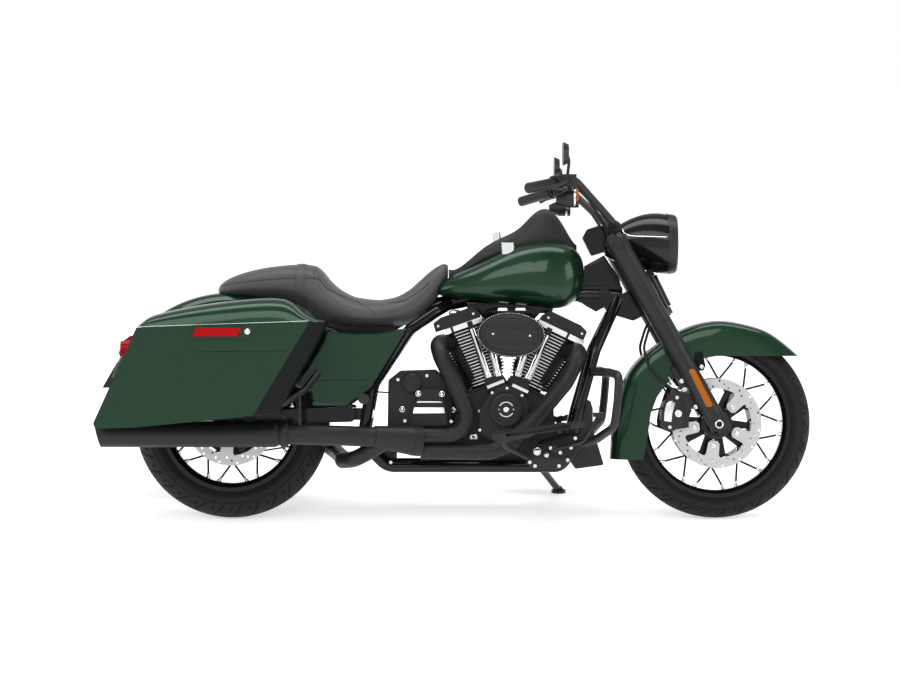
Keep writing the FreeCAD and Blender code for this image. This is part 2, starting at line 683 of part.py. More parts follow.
def arch_section(start, tangent, half_width, depth, inset, crown_drop):
    """A channel section square to a crown line, open towards the wheel."""
    outward = vec(-tangent.z, 0, tangent.x)
    if outward.z < 0 and tangent.z > 0:
        outward = outward * -1

    def place(y, drop):
        return start + vec(0, y, 0) - outward * drop

    def skin(half, top):
        """One face of the skin from side to side."""
        pairs = [(-half, depth), (-half, crown_drop + 26), (-half * 0.8, crown_drop * 0.5 + top),
                 (-half * 0.42, crown_drop * 0.1 + top), (0, top), (half * 0.42, crown_drop * 0.1 + top),
                 (half * 0.8, crown_drop * 0.5 + top), (half, crown_drop + 26), (half, depth)]
        curve = Part.BSplineCurve()
        curve.interpolate([place(y, drop) for y, drop in pairs])
        return curve.toShape()

    outer = skin(half_width, 0)
    inner = skin(half_width - inset, inset)
    outer_ends = [outer.valueAt(outer.FirstParameter), outer.valueAt(outer.LastParameter)]
    inner_ends = [inner.valueAt(inner.FirstParameter), inner.valueAt(inner.LastParameter)]
    caps = [Part.LineSegment(outer_ends[k], inner_ends[k]).toShape() for k in (0, 1)]
    return Part.Wire(Part.sortEdges([outer, inner] + caps)[0])


crown = spline_xz(list(reversed(FENDER_CROWN)))
crown_start = crown.value(crown.FirstParameter)
crown_tangent = crown.tangent(crown.FirstParameter)[0]
fender_section = arch_section(crown_start, crown_tangent, FRONT_FENDER_HALF_WIDTH, FENDER_SKIRT, SHEET_WALL, 22)
front_fender = sweep(Part.Wire([crown.toShape()]), fender_section)
fender_trim = side_plate(FENDER_LOWER_EDGE, (-150, 150))
front_fender = minus(front_fender, fender_trim)
front_fender = max(front_fender.Solids, key=lambda solid: solid.Volume)
for side in (-1, 1):
    legs[side] = minus(legs[side], front_fender)
add("fork_right", legs[-1])
add("fork_left", legs[1])
add("front_fender", front_fender)

# Axle with its spacers
axle_centre = vec(FRONT_X, 0, FRONT_AXLE_HEIGHT)
SPACER_RADIUS = 18.0
AXLE_HEAD_DEPTH = 8.0
AXLE_HEAD_RADIUS = 14.0
leg_inner = FORK_HALF_SPACING - FORK_SLIDER_RADIUS
leg_outer = FORK_HALF_SPACING + FORK_SLIDER_RADIUS + 4


def axle_with_spacers(centre, inner, outer):
    """An axle with a head at each end, and a spacer each side of the hub."""
    pieces = [cylinder(centre - vec(0, outer + AXLE_HEAD_DEPTH, 0), centre + vec(0, outer + AXLE_HEAD_DEPTH, 0), AXLE_RADIUS)]
    for side in (-1, 1):
        start = centre + vec(0, side * (HUB_HALF_WIDTH + SEAT_CLEARANCE), 0)
        pieces.append(cylinder(start, centre + vec(0, side * inner, 0), SPACER_RADIUS))
        head = centre + vec(0, side * outer, 0)
        pieces.append(cylinder(head, head + vec(0, side * AXLE_HEAD_DEPTH, 0), AXLE_HEAD_RADIUS))
    solid = fused(pieces)
    return solid.cut(cylinder(centre - vec(0, outer + 30, 0), centre + vec(0, outer + 30, 0), AXLE_BORE))


front_axle = axle_with_spacers(axle_centre, leg_inner, leg_outer)
add("front_axle", front_axle)

# Brake calipers straddle the discs behind the legs
DISC_ROOM = 2.2
CALIPER_START = 152.0
CALIPER_SWEEP = 36.0


def caliper(centre_x, height, side, start, sweep_angle, reach_in, reach_out):
    """A caliper body with a slot for the disc."""
    y_pair = (side * (DISC_OFFSET - 19), side * (DISC_OFFSET + 27))
    body = spun([(reach_in, y_pair[0]), (reach_out, y_pair[0]), (reach_out, y_pair[1]), (reach_in, y_pair[1])],
                centre_x, height, sweep_angle, start)
    slot = spun([(0, side * (DISC_OFFSET - DISC_ROOM)), (DISC_RADIUS + 5, side * (DISC_OFFSET - DISC_ROOM)),
                 (DISC_RADIUS + 5, side * (DISC_OFFSET + DISC_THICKNESS + DISC_ROOM)),
                 (0, side * (DISC_OFFSET + DISC_THICKNESS + DISC_ROOM))], centre_x, height)
    return body, slot


front_calipers = []
for side in (-1, 1):
    body, slot = caliper(FRONT_X, FRONT_AXLE_HEIGHT, side, CALIPER_START, CALIPER_SWEEP, 96, 176)
    arm = side_plate([(FRONT_X - 150, FRONT_AXLE_HEIGHT + 66), (FRONT_X - 120, FRONT_AXLE_HEIGHT + 108),
                      (FRONT_X - 44, FRONT_AXLE_HEIGHT + 84), (FRONT_X - 44, FRONT_AXLE_HEIGHT + 58),
                      (FRONT_X - 120, FRONT_AXLE_HEIGHT + 40)],
                     (side * (DISC_OFFSET + 14), side * (DISC_OFFSET + 27)), 6)
    front_calipers.append(minus(fused([body.cut(slot), arm]), legs[side]))
add("front_calipers", Part.makeCompound(front_calipers))

# Amber reflectors on the sliders
reflectors = []
for side in (-1, 1):
    y_pair = (side * (FORK_HALF_SPACING + 20), side * (FORK_HALF_SPACING + FORK_SLIDER_RADIUS + 5))
    plate = side_plate([(709, 503), (730, 503), (794, 379), (771, 377)], y_pair, 6)
    reflectors.append(minus(plate, legs[side]))
add("fork_reflectors", Part.makeCompound(reflectors))

# Brake hoses from the lower clamp to the calipers
HOSE_RADIUS = 4.5
HOSE_ROUTE = [(603, 62, 672), (585, 92, 640), (566, 100, 575), (578, 100, 520), (622, 100, 468), (676, 94, 424)]
hoses = []
for side in (-1, 1):
    hose = rod([vec(x, side * y, z) for x, y, z in HOSE_ROUTE], HOSE_RADIUS, 60)
    others = [triple_clamp, legs[side], front_calipers[0 if side < 0 else 1], front_fender]
    hoses.append(minus(hose, *others))
add("brake_hoses", Part.makeCompound(hoses))


# Frame: head tube, neck, backbone, two side loops and two rear rails
PIVOT = (-345.0, 352.0)
RAIL_REAR = -290.0
RAIL_FRONT = 292.0
PIVOT_HALF_SPACING = 146.0
SUBFRAME_HALF_SPACING = 137.0
SUBFRAME_RADIUS = 12.0
FENDER_POSTS = [(-700.0, 700.0), (-1040.0, 624.0)]
BAG_POSTS = [(-700.0, 693.0, 598.0), (-980.0, 652.0, 590.0)]
TANK_MOUNTS = [(330.0, 755.0), (-70.0, 728.0)]
ENGINE_MOUNT = ((248.0, 290.0), (-40.0, 40.0), (172.0, 206.0))
GEARBOX_MOUNT = ((-300.0, -258.0), (-40.0, 40.0), (172.0, 236.0))

head_tube = cylinder(head_low, head_high, HEAD_TUBE_RADIUS)
NECK_HALF_WIDTH = 28.0
neck_high = head_high - head_axis * 8
neck_low = head_low + head_axis * 8
neck_back = vec(-math.cos(RAKE), 0, -math.sin(RAKE))
neck_points = [neck_high, neck_low, neck_low + neck_back * 110, vec(450, 0, 690), vec(420, 0, 740), vec(430, 0, 790)]
neck_points.append(neck_high + neck_back * 130)
neck = side_plate([(point.x, point.z) for point in neck_points], (-NECK_HALF_WIDTH, NECK_HALF_WIDTH), 10)
NECK_COVER_HALF_WIDTH = 20.0
NECK_COVER_OUTLINE = [(371, 843), (438, 868), (455, 822), (455, 786), (466, 752), (474, 722), (428, 704), (404, 699),
                      (391, 716), (346, 729), (358, 746), (371, 796)]
neck_cover = side_plate(NECK_COVER_OUTLINE, (-NECK_COVER_HALF_WIDTH, NECK_COVER_HALF_WIDTH), 5)
backbone_points = [vec(500, 0, 752), vec(380, 0, 756), vec(0, 0, 742), vec(-190, 0, 704), vec(-300, 0, 640)]
backbone = rod(backbone_points, BACKBONE_RADIUS, 120)
loops = []
subframe = []
for side in (-1, 1):
    y = side * FRAME_RAIL_HALF_SPACING
    wide_y = side * PIVOT_HALF_SPACING
    loops.append(rod([
        vec(486, side * 12, 738), vec(405, side * 92, 566), vec(348, y, 364), vec(316, y, 226),
        vec(RAIL_FRONT, y, FRAME_RAIL_HEIGHT), vec(RAIL_REAR, y, FRAME_RAIL_HEIGHT), vec(-372, wide_y, 262),
        vec(-340, wide_y, 448), vec(-216, y, 634), vec(-128, side * 66, 694), vec(-70, side * 8, 728),
    ], FRAME_TUBE_RADIUS, 60))
    rail_y = side * SUBFRAME_HALF_SPACING
    subframe.append(rod([vec(-232, y, 600), vec(-400, rail_y, 600), vec(-640, rail_y, 700), vec(-880, rail_y, 700),
                         vec(-1090, rail_y, 600)], SUBFRAME_RADIUS, 150))
    for x, z in FENDER_POSTS:
        subframe.append(cylinder(vec(x, side * REAR_FENDER_HALF_WIDTH, z), vec(x, rail_y, z), 10))
    for x, z, foot_z in BAG_POSTS:
        subframe.append(cylinder(vec(x, rail_y, z), vec(x, side * (BAG_INNER + 6), foot_z), 9))
crossers = [
    cylinder(vec(RAIL_FRONT - 22, -FRAME_RAIL_HALF_SPACING, FRAME_RAIL_HEIGHT),
             vec(RAIL_FRONT - 22, FRAME_RAIL_HALF_SPACING, FRAME_RAIL_HEIGHT), 14),
    cylinder(vec(RAIL_REAR + 8, -FRAME_RAIL_HALF_SPACING, FRAME_RAIL_HEIGHT),
             vec(RAIL_REAR + 8, FRAME_RAIL_HALF_SPACING, FRAME_RAIL_HEIGHT), 14),
    cylinder(vec(PIVOT[0] - 16, -PIVOT_HALF_SPACING, PIVOT[1]), vec(PIVOT[0] - 16, PIVOT_HALF_SPACING, PIVOT[1]), 24),
    block(*ENGINE_MOUNT),
    block(*GEARBOX_MOUNT),
]
for x, z in TANK_MOUNTS:
    crossers.append(cylinder(vec(x, -BACKBONE_RADIUS - 8, z), vec(x, BACKBONE_RADIUS + 8, z), 9))
stem_bore = cylinder(head_low - head_axis * 60, head_high + head_axis * 60, STEM_RADIUS + RUNNING_CLEARANCE)
frame_body = fused([head_tube, fused([neck, neck_cover]), backbone] + loops + subframe + crossers)
frame_body = frame_body.cut(stem_bore)

# Engine case and timing cover
CASE_OUTLINE = [(-60, 197), (244, 197), (276, 262), (264, 386)]
DECK = 165.0
deck_points = [cylinder_point(CYLINDER_TILTS[1], DECK, BARREL_HALF_WIDTH), cylinder_point(CYLINDER_TILTS[1], DECK, -BARREL_HALF_WIDTH),
               cylinder_point(CYLINDER_TILTS[0], DECK, -BARREL_HALF_WIDTH)]
case_points = CASE_OUTLINE + [(point.x, point.z) for point in deck_points] + [(-66, 340)]
crankcase = side_plate(case_points, (-CRANKCASE_HALF_WIDTH, CRANKCASE_HALF_WIDTH), 5)
TIMING_FACE = 150.0
TIMING_COVER_RADIUS = 53.0
timing_chest = side_plate([(16, 296), (20, 372), (58, 428), (108, 452), (160, 428), (184, 385), (170, 332), (128, 276),
                           (60, 262)], (-CRANKCASE_HALF_WIDTH, -TIMING_FACE), 18)
timing_round = cylinder(vec(CRANK_X + 4, -TIMING_FACE, 369), vec(CRANK_X + 4, -TIMING_FACE - 26, 369), TIMING_COVER_RADIUS)
crankcase = minus(fused([crankcase, timing_chest, timing_round]), frame_body)


def tilted_plate(tilt, pairs, y_pair, radius=0.0):
    """A plate in a cylinder's own frame, from pairs of ahead and along."""
    wire = outline([cylinder_point(tilt, along, ahead, y_pair[0]) for ahead, along in pairs], radius)
    return Part.Face(wire).extrude(vec(0, y_pair[1] - y_pair[0], 0))


HALF_VEE = math.tan(math.radians((CYLINDER_TILTS[1] - CYLINDER_TILTS[0]) / 2))


def fin(tilt, along):
    """One cooling fin: a thin rounded plate square to the cylinder, wider towards the head."""
    outer = math.copysign(FIN_FOOT_REACH + FIN_FLARE * (along - FIN_START), tilt)
    inner = -math.copysign(min(along * HALF_VEE - FIN_V_GAP, FIN_INNER_REACH), tilt)
    half_y = FIN_DEPTH / 2
    corners = [cylinder_point(tilt, along, outer, half_y), cylinder_point(tilt, along, inner, half_y),
               cylinder_point(tilt, along, inner, -half_y), cylinder_point(tilt, along, outer, -half_y)]
    return Part.Face(outline(corners, FIN_CORNER)).extrude(cylinder_axis(tilt) * FIN_THICKNESS)


HEAD_START = FIN_START + FIN_PITCH * FIN_COUNT
ROCKER_START = 379.0
ROCKER_OUTER = 106.0
ROCKER_INNER = 62.0
ROCKER_BAND = 19.0
HEAD_FINS = 4


def finned_cylinder(tilt):
    """A barrel and head with all their fins in one piece."""
    barrel = cylinder(cylinder_point(tilt, DECK), cylinder_point(tilt, HEAD_START), BARREL_RADIUS)
    head = tilted_plate(tilt, [(-60, HEAD_START - 2), (60, HEAD_START - 2), (66, ROCKER_START), (-66, ROCKER_START)],
                        (-66, 66), 8)
    foot = tilted_plate(tilt, [(-66, DECK), (66, DECK), (66, DECK + 12), (-66, DECK + 12)], (-70, 70))
    fins = [fin(tilt, FIN_START + FIN_PITCH * index) for index in range(FIN_COUNT + HEAD_FINS)]
    return fused([barrel, head, foot] + fins)


def rocker_cover(tilt):
    """A long rocker box on a flat joint band, reaching outwards over the exhaust port."""
    way = math.copysign(1.0, tilt)
    outer = ROCKER_OUTER * way
    inner = -ROCKER_INNER * way
    top = ROCKER_START + ROCKER_HEIGHT + 8
    seam = ROCKER_START + ROCKER_BAND
    lower = tilted_plate(tilt, [(inner, ROCKER_START), (outer, ROCKER_START), (outer, seam), (inner, seam)],
                         (-106, 80), 4)
    upper = tilted_plate(tilt, [(inner + 4 * way, seam - 3), (outer - 3 * way, seam - 3), (outer - 5 * way, top - 10),
                                (outer - 34 * way, top), (inner + 22 * way, top), (inner + 6 * way, seam + 16)],
                         (-101, 74), 9)
    return minus(fused([lower, upper]), frame_body)


cylinder_rear = finned_cylinder(CYLINDER_TILTS[0])
cylinder_front = finned_cylinder(CYLINDER_TILTS[1])
rockers = [rocker_cover(tilt) for tilt in CYLINDER_TILTS]

# Pushrod tubes on their blocks, on the right of the engine
PUSHROD_Y = -102.0
PUSHROD_LINES = [((-16, 602), (58, 462)), ((34, 612), (88, 466)), ((202, 600), (136, 466)), ((254, 580), (168, 458))]
BLOCK_OUTLINES = [[(34, 468), (100, 482), (106, 450), (62, 424), (40, 436)],
                  [(120, 482), (184, 466), (182, 432), (150, 420), (114, 450)]]
tubes = []
for top, foot in PUSHROD_LINES:
    tubes.append(cylinder(vec(foot[0], PUSHROD_Y, foot[1] - 16), vec(top[0], PUSHROD_Y, top[1] + 60), PUSHROD_RADIUS))
blocks = [side_plate(points, (-CRANKCASE_HALF_WIDTH + 10, PUSHROD_Y - 16), 6) for points in BLOCK_OUTLINES]
pushrods = [fused([blocks[0], tubes[0], tubes[1]]), fused([blocks[1], tubes[2], tubes[3]])]
pushrods = [minus(shape, crankcase, cylinder_front, cylinder_rear, *rockers) for shape in pushrods]
pushrods = [max(shape.Solids, key=lambda solid: solid.Volume) for shape in pushrods]

# Intake between the cylinders and the oval air cleaner on the right
INTAKE_RADIUS = 25.0
def air_oval(scale_x, scale_z, y_pair):
    """An oval plate at the air cleaner's place."""
    centre = vec(AIR_CLEANER_X, y_pair[0], AIR_CLEANER_HEIGHT)
    long_half = AIR_CLEANER_LENGTH / 2 * scale_x
    short_half = AIR_CLEANER_DEPTH / 2 * scale_z
    curve = Part.Ellipse(vec(0, 0, 0), long_half, short_half).toShape()
    curve.rotate(vec(0, 0, 0), vec(1, 0, 0), 90)
    curve.translate(centre)
    curve.rotate(centre, vec(0, 1, 0), AIR_CLEANER_TILT)
    return Part.Face(Part.Wire([curve])).extrude(vec(0, y_pair[1] - y_pair[0], 0))


AIR_BACK = -AIR_CLEANER_FACE + AIR_CLEANER_THICKNESS
intake_and_ovals = [
    cylinder(vec(30, -20, 622), vec(212, -20, 622), INTAKE_RADIUS),
    cylinder(vec(AIR_CLEANER_X, -20, 622), vec(AIR_CLEANER_X, AIR_BACK - 6, 620), 30),
    air_oval(0.94, 0.92, (AIR_BACK, AIR_BACK - 12)),
    air_oval(1.0, 1.0, (AIR_BACK - 10, -AIR_CLEANER_FACE + 8)),
    air_oval(0.9, 0.86, (-AIR_CLEANER_FACE + 10, -AIR_CLEANER_FACE)),
]
air_cleaner = minus(fused(intake_and_ovals), cylinder_front, cylinder_rear, *(rockers + pushrods))
air_cleaner = max(air_cleaner.Solids, key=lambda solid: solid.Volume)

# Gearbox behind the engine, with its side cover
gearbox = side_plate([(-68, 215), (-76, 400), (-92, 470), (-128, 500), (-248, 496), (-286, 466), (-290, 225)],
                     (-CRANKCASE_HALF_WIDTH, CRANKCASE_HALF_WIDTH), 14)
gear_cover = side_plate([(-213, 316), (-88, 316), (-96, 365), (-104, 405), (-116, 437), (-176, 437), (-188, 405),
                         (-204, 365)], (-CRANKCASE_HALF_WIDTH, -160), 8)
gear_plate = side_plate([(-284, 311), (-284, 468), (-244, 493), (-130, 496), (-96, 462), (-84, 300)],
                        (-CRANKCASE_HALF_WIDTH, -124), 12)
gear_round = cylinder(vec(-207, -CRANKCASE_HALF_WIDTH, 457), vec(-207, -142, 457), 30)
gearbox = fused([gearbox, gear_cover, gear_plate, gear_round])

# Primary drive cover on the left
PRIMARY_FACE = 168.0
primary = side_plate([(-262, 300), (-268, 380), (-225, 445), (-140, 462), (20, 430), (140, 404), (204, 360), (218, 290),
                      (190, 232), (110, 206), (20, 210), (-160, 240)], (CRANKCASE_HALF_WIDTH, PRIMARY_FACE), 40)
primary_dome = side_plate([(-240, 312), (-246, 378), (-210, 428), (-140, 442), (20, 410), (134, 386), (186, 348),
                           (198, 290), (174, 244), (104, 222), (20, 228), (-150, 258)],
                          (PRIMARY_FACE - 2, PRIMARY_FACE + 20), 34)
primary = minus(fused([primary, primary_dome]), frame_body)

# Exhaust: two headers into a collector, a crossover under the frame and two mufflers
COLLECTOR_X = -178.0
HEADER_Y = -190.0
rear_header_route = [vec(-74, -62, 590), vec(-122, -130, 592), vec(-112, HEADER_Y, 548), vec(-56, HEADER_Y, 437),
                     vec(-20, HEADER_Y, 350), vec(-52, HEADER_Y, 283), vec(COLLECTOR_X, HEADER_Y, 281)]
front_header_route = [vec(308, -62, 560), vec(352, -120, 566), vec(340, -172, 532), vec(302, -182, 459),
                      vec(216, -182, 356), vec(112, -182, 252), vec(52, -186, 230), vec(COLLECTOR_X, HEADER_Y, 232)]
header_outers = [rod(front_header_route, HEADER_RADIUS, 60), rod(rear_header_route, HEADER_RADIUS, 60)]
header_inners = [rod(front_header_route, HEADER_RADIUS - PIPE_WALL, 60), rod(rear_header_route, HEADER_RADIUS - PIPE_WALL, 60)]
headers = [header_outers[k].cut(header_inners[k]) for k in (0, 1)]
headers = [minus(shape, cylinder_front, cylinder_rear, *rockers) for shape in headers]
headers = [max(shape.Solids, key=lambda solid: solid.Volume) for shape in headers]
exhaust_headers = Part.makeCompound(headers)

COLLECTOR_RADIUS = 50.0
LINK_RADIUS = 33.0
COLLECTOR_WALL = 5.0
BAND_OVERLAP = 1.5
BAFFLE_DEPTH = 60.0
BAFFLE_THICKNESS = 4.0
collector_start = vec(COLLECTOR_X, HEADER_Y - 4, 265)
collector_end = vec(-330, -236, 282)
collector_line = collector_end - collector_start
collector_line.normalize()
link_end = vec(MUFFLER_FRONT + 10, -MUFFLER_HALF_SPACING, MUFFLER_HEIGHT)
link_route = [collector_end - collector_line * 14, vec(-430, -262, 286), vec(-540, -290, 290), link_end]
crossover_route = [vec(-296, -226, 262), vec(-392, -178, 206), vec(-440, -60, 196), vec(-440, 60, 196),
                   vec(-470, 190, 214), vec(-540, 268, 262), vec(MUFFLER_FRONT + 10, MUFFLER_HALF_SPACING, MUFFLER_HEIGHT)]


def muffler_can():
    """The long can with a short shoulder in front, a closed chamber and an open tip."""
    inner = MUFFLER_RADIUS - PIPE_WALL
    nose = LINK_RADIUS + 2
    tip = MUFFLER_TIP - 10
    baffle = MUFFLER_TIP + BAFFLE_DEPTH
    points = [
        (MUFFLER_FRONT, 0), (MUFFLER_FRONT, nose), (MUFFLER_FRONT - 18, MUFFLER_RADIUS), (tip, MUFFLER_RADIUS),
        (tip, inner), (baffle, inner), (baffle, 0), (baffle + BAFFLE_THICKNESS, 0), (baffle + BAFFLE_THICKNESS, inner),
        (MUFFLER_FRONT - 22, inner), (MUFFLER_FRONT - 4, nose - 3), (MUFFLER_FRONT - 4, 0),
    ]
    corners = [vec(x, -MUFFLER_HALF_SPACING, MUFFLER_HEIGHT + radius) for x, radius in points]
    face = Part.Face(Part.makePolygon(corners + [corners[0]]))
    can = face.revolve(vec(0, -MUFFLER_HALF_SPACING, MUFFLER_HEIGHT), vec(1, 0, 0), 360)
    slanted = side_plate([(MUFFLER_TIP - 2, MUFFLER_HEIGHT + 53), (MUFFLER_TIP + 25, MUFFLER_HEIGHT - 52),
                          (MUFFLER_TIP - 90, MUFFLER_HEIGHT - 52), (MUFFLER_TIP - 90, MUFFLER_HEIGHT + 53)],
                         (-MUFFLER_HALF_SPACING - 80, -MUFFLER_HALF_SPACING + 80))
    return can.cut(slanted)


muffler_shell = muffler_can()
band = cylinder(vec(MUFFLER_FRONT + 26, -MUFFLER_HALF_SPACING, MUFFLER_HEIGHT),
                vec(MUFFLER_FRONT - BAND_OVERLAP, -MUFFLER_HALF_SPACING, MUFFLER_HEIGHT), LINK_RADIUS + 4)
collector_outer = fused([
    cylinder(collector_start, collector_start + collector_line * 28, COLLECTOR_RADIUS),
    cone(collector_start + collector_line * 27, collector_end, COLLECTOR_RADIUS - 1, LINK_RADIUS + 3),
])
collector_room = fused([
    cylinder(collector_start + collector_line * 10, collector_start + collector_line * 28, COLLECTOR_RADIUS - COLLECTOR_WALL),
    cone(collector_start + collector_line * 27, collector_end - collector_line * 6, COLLECTOR_RADIUS - COLLECTOR_WALL - 2,
         LINK_RADIUS - 2),
])
collector_outer = minus(collector_outer, header_outers[0], header_outers[1])
collector_outer = max(collector_outer.Solids, key=lambda solid: solid.Volume)
link_outer = rod(link_route, LINK_RADIUS, 200)
link_room = rod([collector_end - collector_line * 4] + link_route[1:3] + [link_end - vec(4, 0, 0)], LINK_RADIUS - 3, 200)
crossover_room = rod(crossover_route, HEADER_RADIUS - PIPE_WALL, 90)
crossover = rod(crossover_route, HEADER_RADIUS, 90).cut(collector_outer).cut(link_outer).cut(crossover_room)
crossover = max(crossover.Solids, key=lambda solid: solid.Volume)
front_pipes = fused([collector_outer.cut(collector_room), link_outer.cut(link_room)])
banded_shell = fused([band, muffler_shell])
muffler_right = fused([front_pipes, banded_shell])
muffler_left = fused([crossover, mirrored(banded_shell)])

# Swingarm with the rear axle
REAR_INNER = 128.0
REAR_OUTER = 152.0
SWING_TUBE_X = -420.0
arm_outline = [(-398, 328), (-398, 380), (-480, 376), (-700, 366), (-836, 358), (-850, 328), (-836, 300), (-700, 320),
               (-480, 326)]
arms = [side_plate(arm_outline, (side * REAR_INNER, side * REAR_OUTER), 12) for side in (-1, 1)]
swing_tube = cylinder(vec(SWING_TUBE_X, -REAR_OUTER + 2, PIVOT[1]), vec(SWING_TUBE_X, REAR_OUTER - 2, PIVOT[1]), 24)
pivot_block = block((SWING_TUBE_X, PIVOT[0] - 16), (-72, 72), (PIVOT[1] - 20, PIVOT[1] + 20))
rear_centre = vec(REAR_X, 0, REAR_AXLE_HEIGHT)
rear_axle = cylinder(rear_centre - vec(0, REAR_OUTER + 16, 0), rear_centre + vec(0, REAR_OUTER + 16, 0), AXLE_RADIUS)
rear_spacers = []
for side in (-1, 1):
    start = rear_centre + vec(0, side * (HUB_HALF_WIDTH + SEAT_CLEARANCE), 0)
    rear_spacers.append(cylinder(start, rear_centre + vec(0, side * REAR_INNER, 0), SPACER_RADIUS))
    nut = rear_centre + vec(0, side * REAR_OUTER, 0)
    rear_spacers.append(cylinder(nut, nut + vec(0, side * 12, 0), 18))
swingarm = minus(fused(arms + [swing_tube, pivot_block, rear_axle] + rear_spacers), frame_body)
swingarm = max(swingarm.Solids, key=lambda solid: solid.Volume)

# Rear caliper over the disc
rear_body, rear_slot = caliper(REAR_X, REAR_AXLE_HEIGHT, -1, 20, 44, 92, 172)
rear_bracket = side_plate([(REAR_X + 20, REAR_AXLE_HEIGHT + 20), (REAR_X + 60, REAR_AXLE_HEIGHT + 90),
                           (REAR_X + 110, REAR_AXLE_HEIGHT + 70), (REAR_X + 120, REAR_AXLE_HEIGHT + 24)],
                          (-DISC_OFFSET - 14, -REAR_INNER - 4), 8)
rear_caliper = minus(fused([rear_body.cut(rear_slot), rear_bracket]), swingarm)

# Final drive belt in one loop on the left
DRIVE_PULLEY = (-232.0, 358.0)
DRIVE_PULLEY_RADIUS = 56.0
BELT_THICKNESS = 5.0
BELT_ROOM = 6.0
BELT_WIDTH = 24.0


def belt_face(inset):
    """The outline of the belt about both pulleys, grown by an inset."""
    big = PULLEY_RADIUS + inset
    small = DRIVE_PULLEY_RADIUS + inset
    dx = DRIVE_PULLEY[0] - REAR_X
    dz = DRIVE_PULLEY[1] - REAR_AXLE_HEIGHT
    spread = math.acos((big - small) / math.hypot(dx, dz))
    base = math.atan2(dz, dx)
    y = PULLEY_OFFSET - BELT_WIDTH / 2

    def at(centre_x, centre_z, radius, angle):
        return vec(centre_x + radius * math.cos(angle), y, centre_z + radius * math.sin(angle))

    upper = base + spread
    lower = base - spread
    big_top = at(REAR_X, REAR_AXLE_HEIGHT, big, upper)
    big_low = at(REAR_X, REAR_AXLE_HEIGHT, big, lower)
    small_top = at(DRIVE_PULLEY[0], DRIVE_PULLEY[1], small, upper)
    small_low = at(DRIVE_PULLEY[0], DRIVE_PULLEY[1], small, lower)
    edges = [
        Part.Arc(big_top, at(REAR_X, REAR_AXLE_HEIGHT, big, base + math.pi), big_low).toShape(),
        Part.LineSegment(big_low, small_low).toShape(),
        Part.Arc(small_low, at(DRIVE_PULLEY[0], DRIVE_PULLEY[1], small, base), small_top).toShape(),
        Part.LineSegment(small_top, big_top).toShape(),
    ]
    return Part.Face(Part.Wire(edges)).extrude(vec(0, BELT_WIDTH, 0))


drive_belt = belt_face(SEAT_CLEARANCE + BELT_THICKNESS).cut(belt_face(SEAT_CLEARANCE))
belt_room = belt_face(SEAT_CLEARANCE + BELT_THICKNESS + BELT_ROOM)
belt_room.translate(vec(0, -BELT_ROOM, 0))
belt_room = fused([belt_room, belt_room.translated(vec(0, 2 * BELT_ROOM, 0))])
drive_pulley = cylinder(vec(DRIVE_PULLEY[0], CRANKCASE_HALF_WIDTH - 8, DRIVE_PULLEY[1]),
                        vec(DRIVE_PULLEY[0], PULLEY_OFFSET + BELT_WIDTH / 2 + 2, DRIVE_PULLEY[1]), DRIVE_PULLEY_RADIUS)


# Rear fender over the wheel
FENDER_START = 56.0
FENDER_SWEEP = 104.0
FENDER_SKIRT_RADIUS = 342.0


def fender_profile(radius, half, inset):
    """One skin of the rear fender's section, as pairs of radius and Y."""
    return [(FENDER_SKIRT_RADIUS, -(half - inset)), (radius - 26 - inset, -(half - inset)),
            (radius - 7 - inset, -(half - 20 - inset)), (radius - inset, -(half - 62)), (radius - inset, half - 62),
            (radius - 7 - inset, half - 20 - inset), (radius - 26 - inset, half - inset),
            (FENDER_SKIRT_RADIUS, half - inset)]


rear_fender_outer = fender_profile(REAR_FENDER_RADIUS, REAR_FENDER_HALF_WIDTH, 0)
rear_fender_inner = fender_profile(REAR_FENDER_RADIUS, REAR_FENDER_HALF_WIDTH, SHEET_WALL)
fender_solid = spun(rear_fender_outer, REAR_X, REAR_AXLE_HEIGHT, FENDER_SWEEP, FENDER_START)
rear_fender = spun(rear_fender_outer + list(reversed(rear_fender_inner)), REAR_X, REAR_AXLE_HEIGHT, FENDER_SWEEP,
                   FENDER_START)

# Fuel tank over the backbone, hollow
TANK_FORM = [(0, 0), (0.55, 0.0), (0.86, 0.1), (1.0, 0.38), (0.96, 0.64), (0.78, 0.87), (0.42, 0.98), (0, 1)]
TANK_STATIONS = [(-128, 0.34, 756, 776), (-98, 0.52, 747, 801), (-30, 0.74, 737, 836), (60, 0.91, 727, 880),
                 (150, 0.99, 719, 918), (236, 1.0, 712, 934), (306, 0.9, 715, 926), (348, 0.68, 744, 898),
                 (368, 0.36, 798, 858)]


def tank_loft(inset):
    """The tank's skin, drawn in by a wall."""
    sections = []
    for index, (x, share, low, high) in enumerate(TANK_STATIONS):
        shift = inset if index == 0 else -inset if index == len(TANK_STATIONS) - 1 else 0
        sections.append(hoop(x + shift, share * TANK_HALF_WIDTH - inset, low + inset, high - inset, TANK_FORM))
    return loft(sections)


TUNNEL_CLEARANCE = 6.0
TUNNEL_FLOOR = 640.0
tank_solid = tank_loft(0)


def tank_tunnel(room):
    """The straight-sided tunnel over the backbone, with the given room round the tube."""
    reach = BACKBONE_RADIUS + room
    crown = [(point.x, point.z + reach) for point in backbone_points]
    return side_plate([(crown[0][0], TUNNEL_FLOOR)] + crown + [(crown[-1][0], TUNNEL_FLOOR)], (-reach, reach))


tank_room = tank_loft(TANK_WALL).cut(tank_tunnel(TUNNEL_CLEARANCE + TANK_WALL))
fuel_tank = tank_solid.cut(tank_room).cut(tank_tunnel(TUNNEL_CLEARANCE))
fuel_tank = minus(fuel_tank, frame_body)
fuel_tank = max(fuel_tank.Solids, key=lambda solid: solid.Volume)

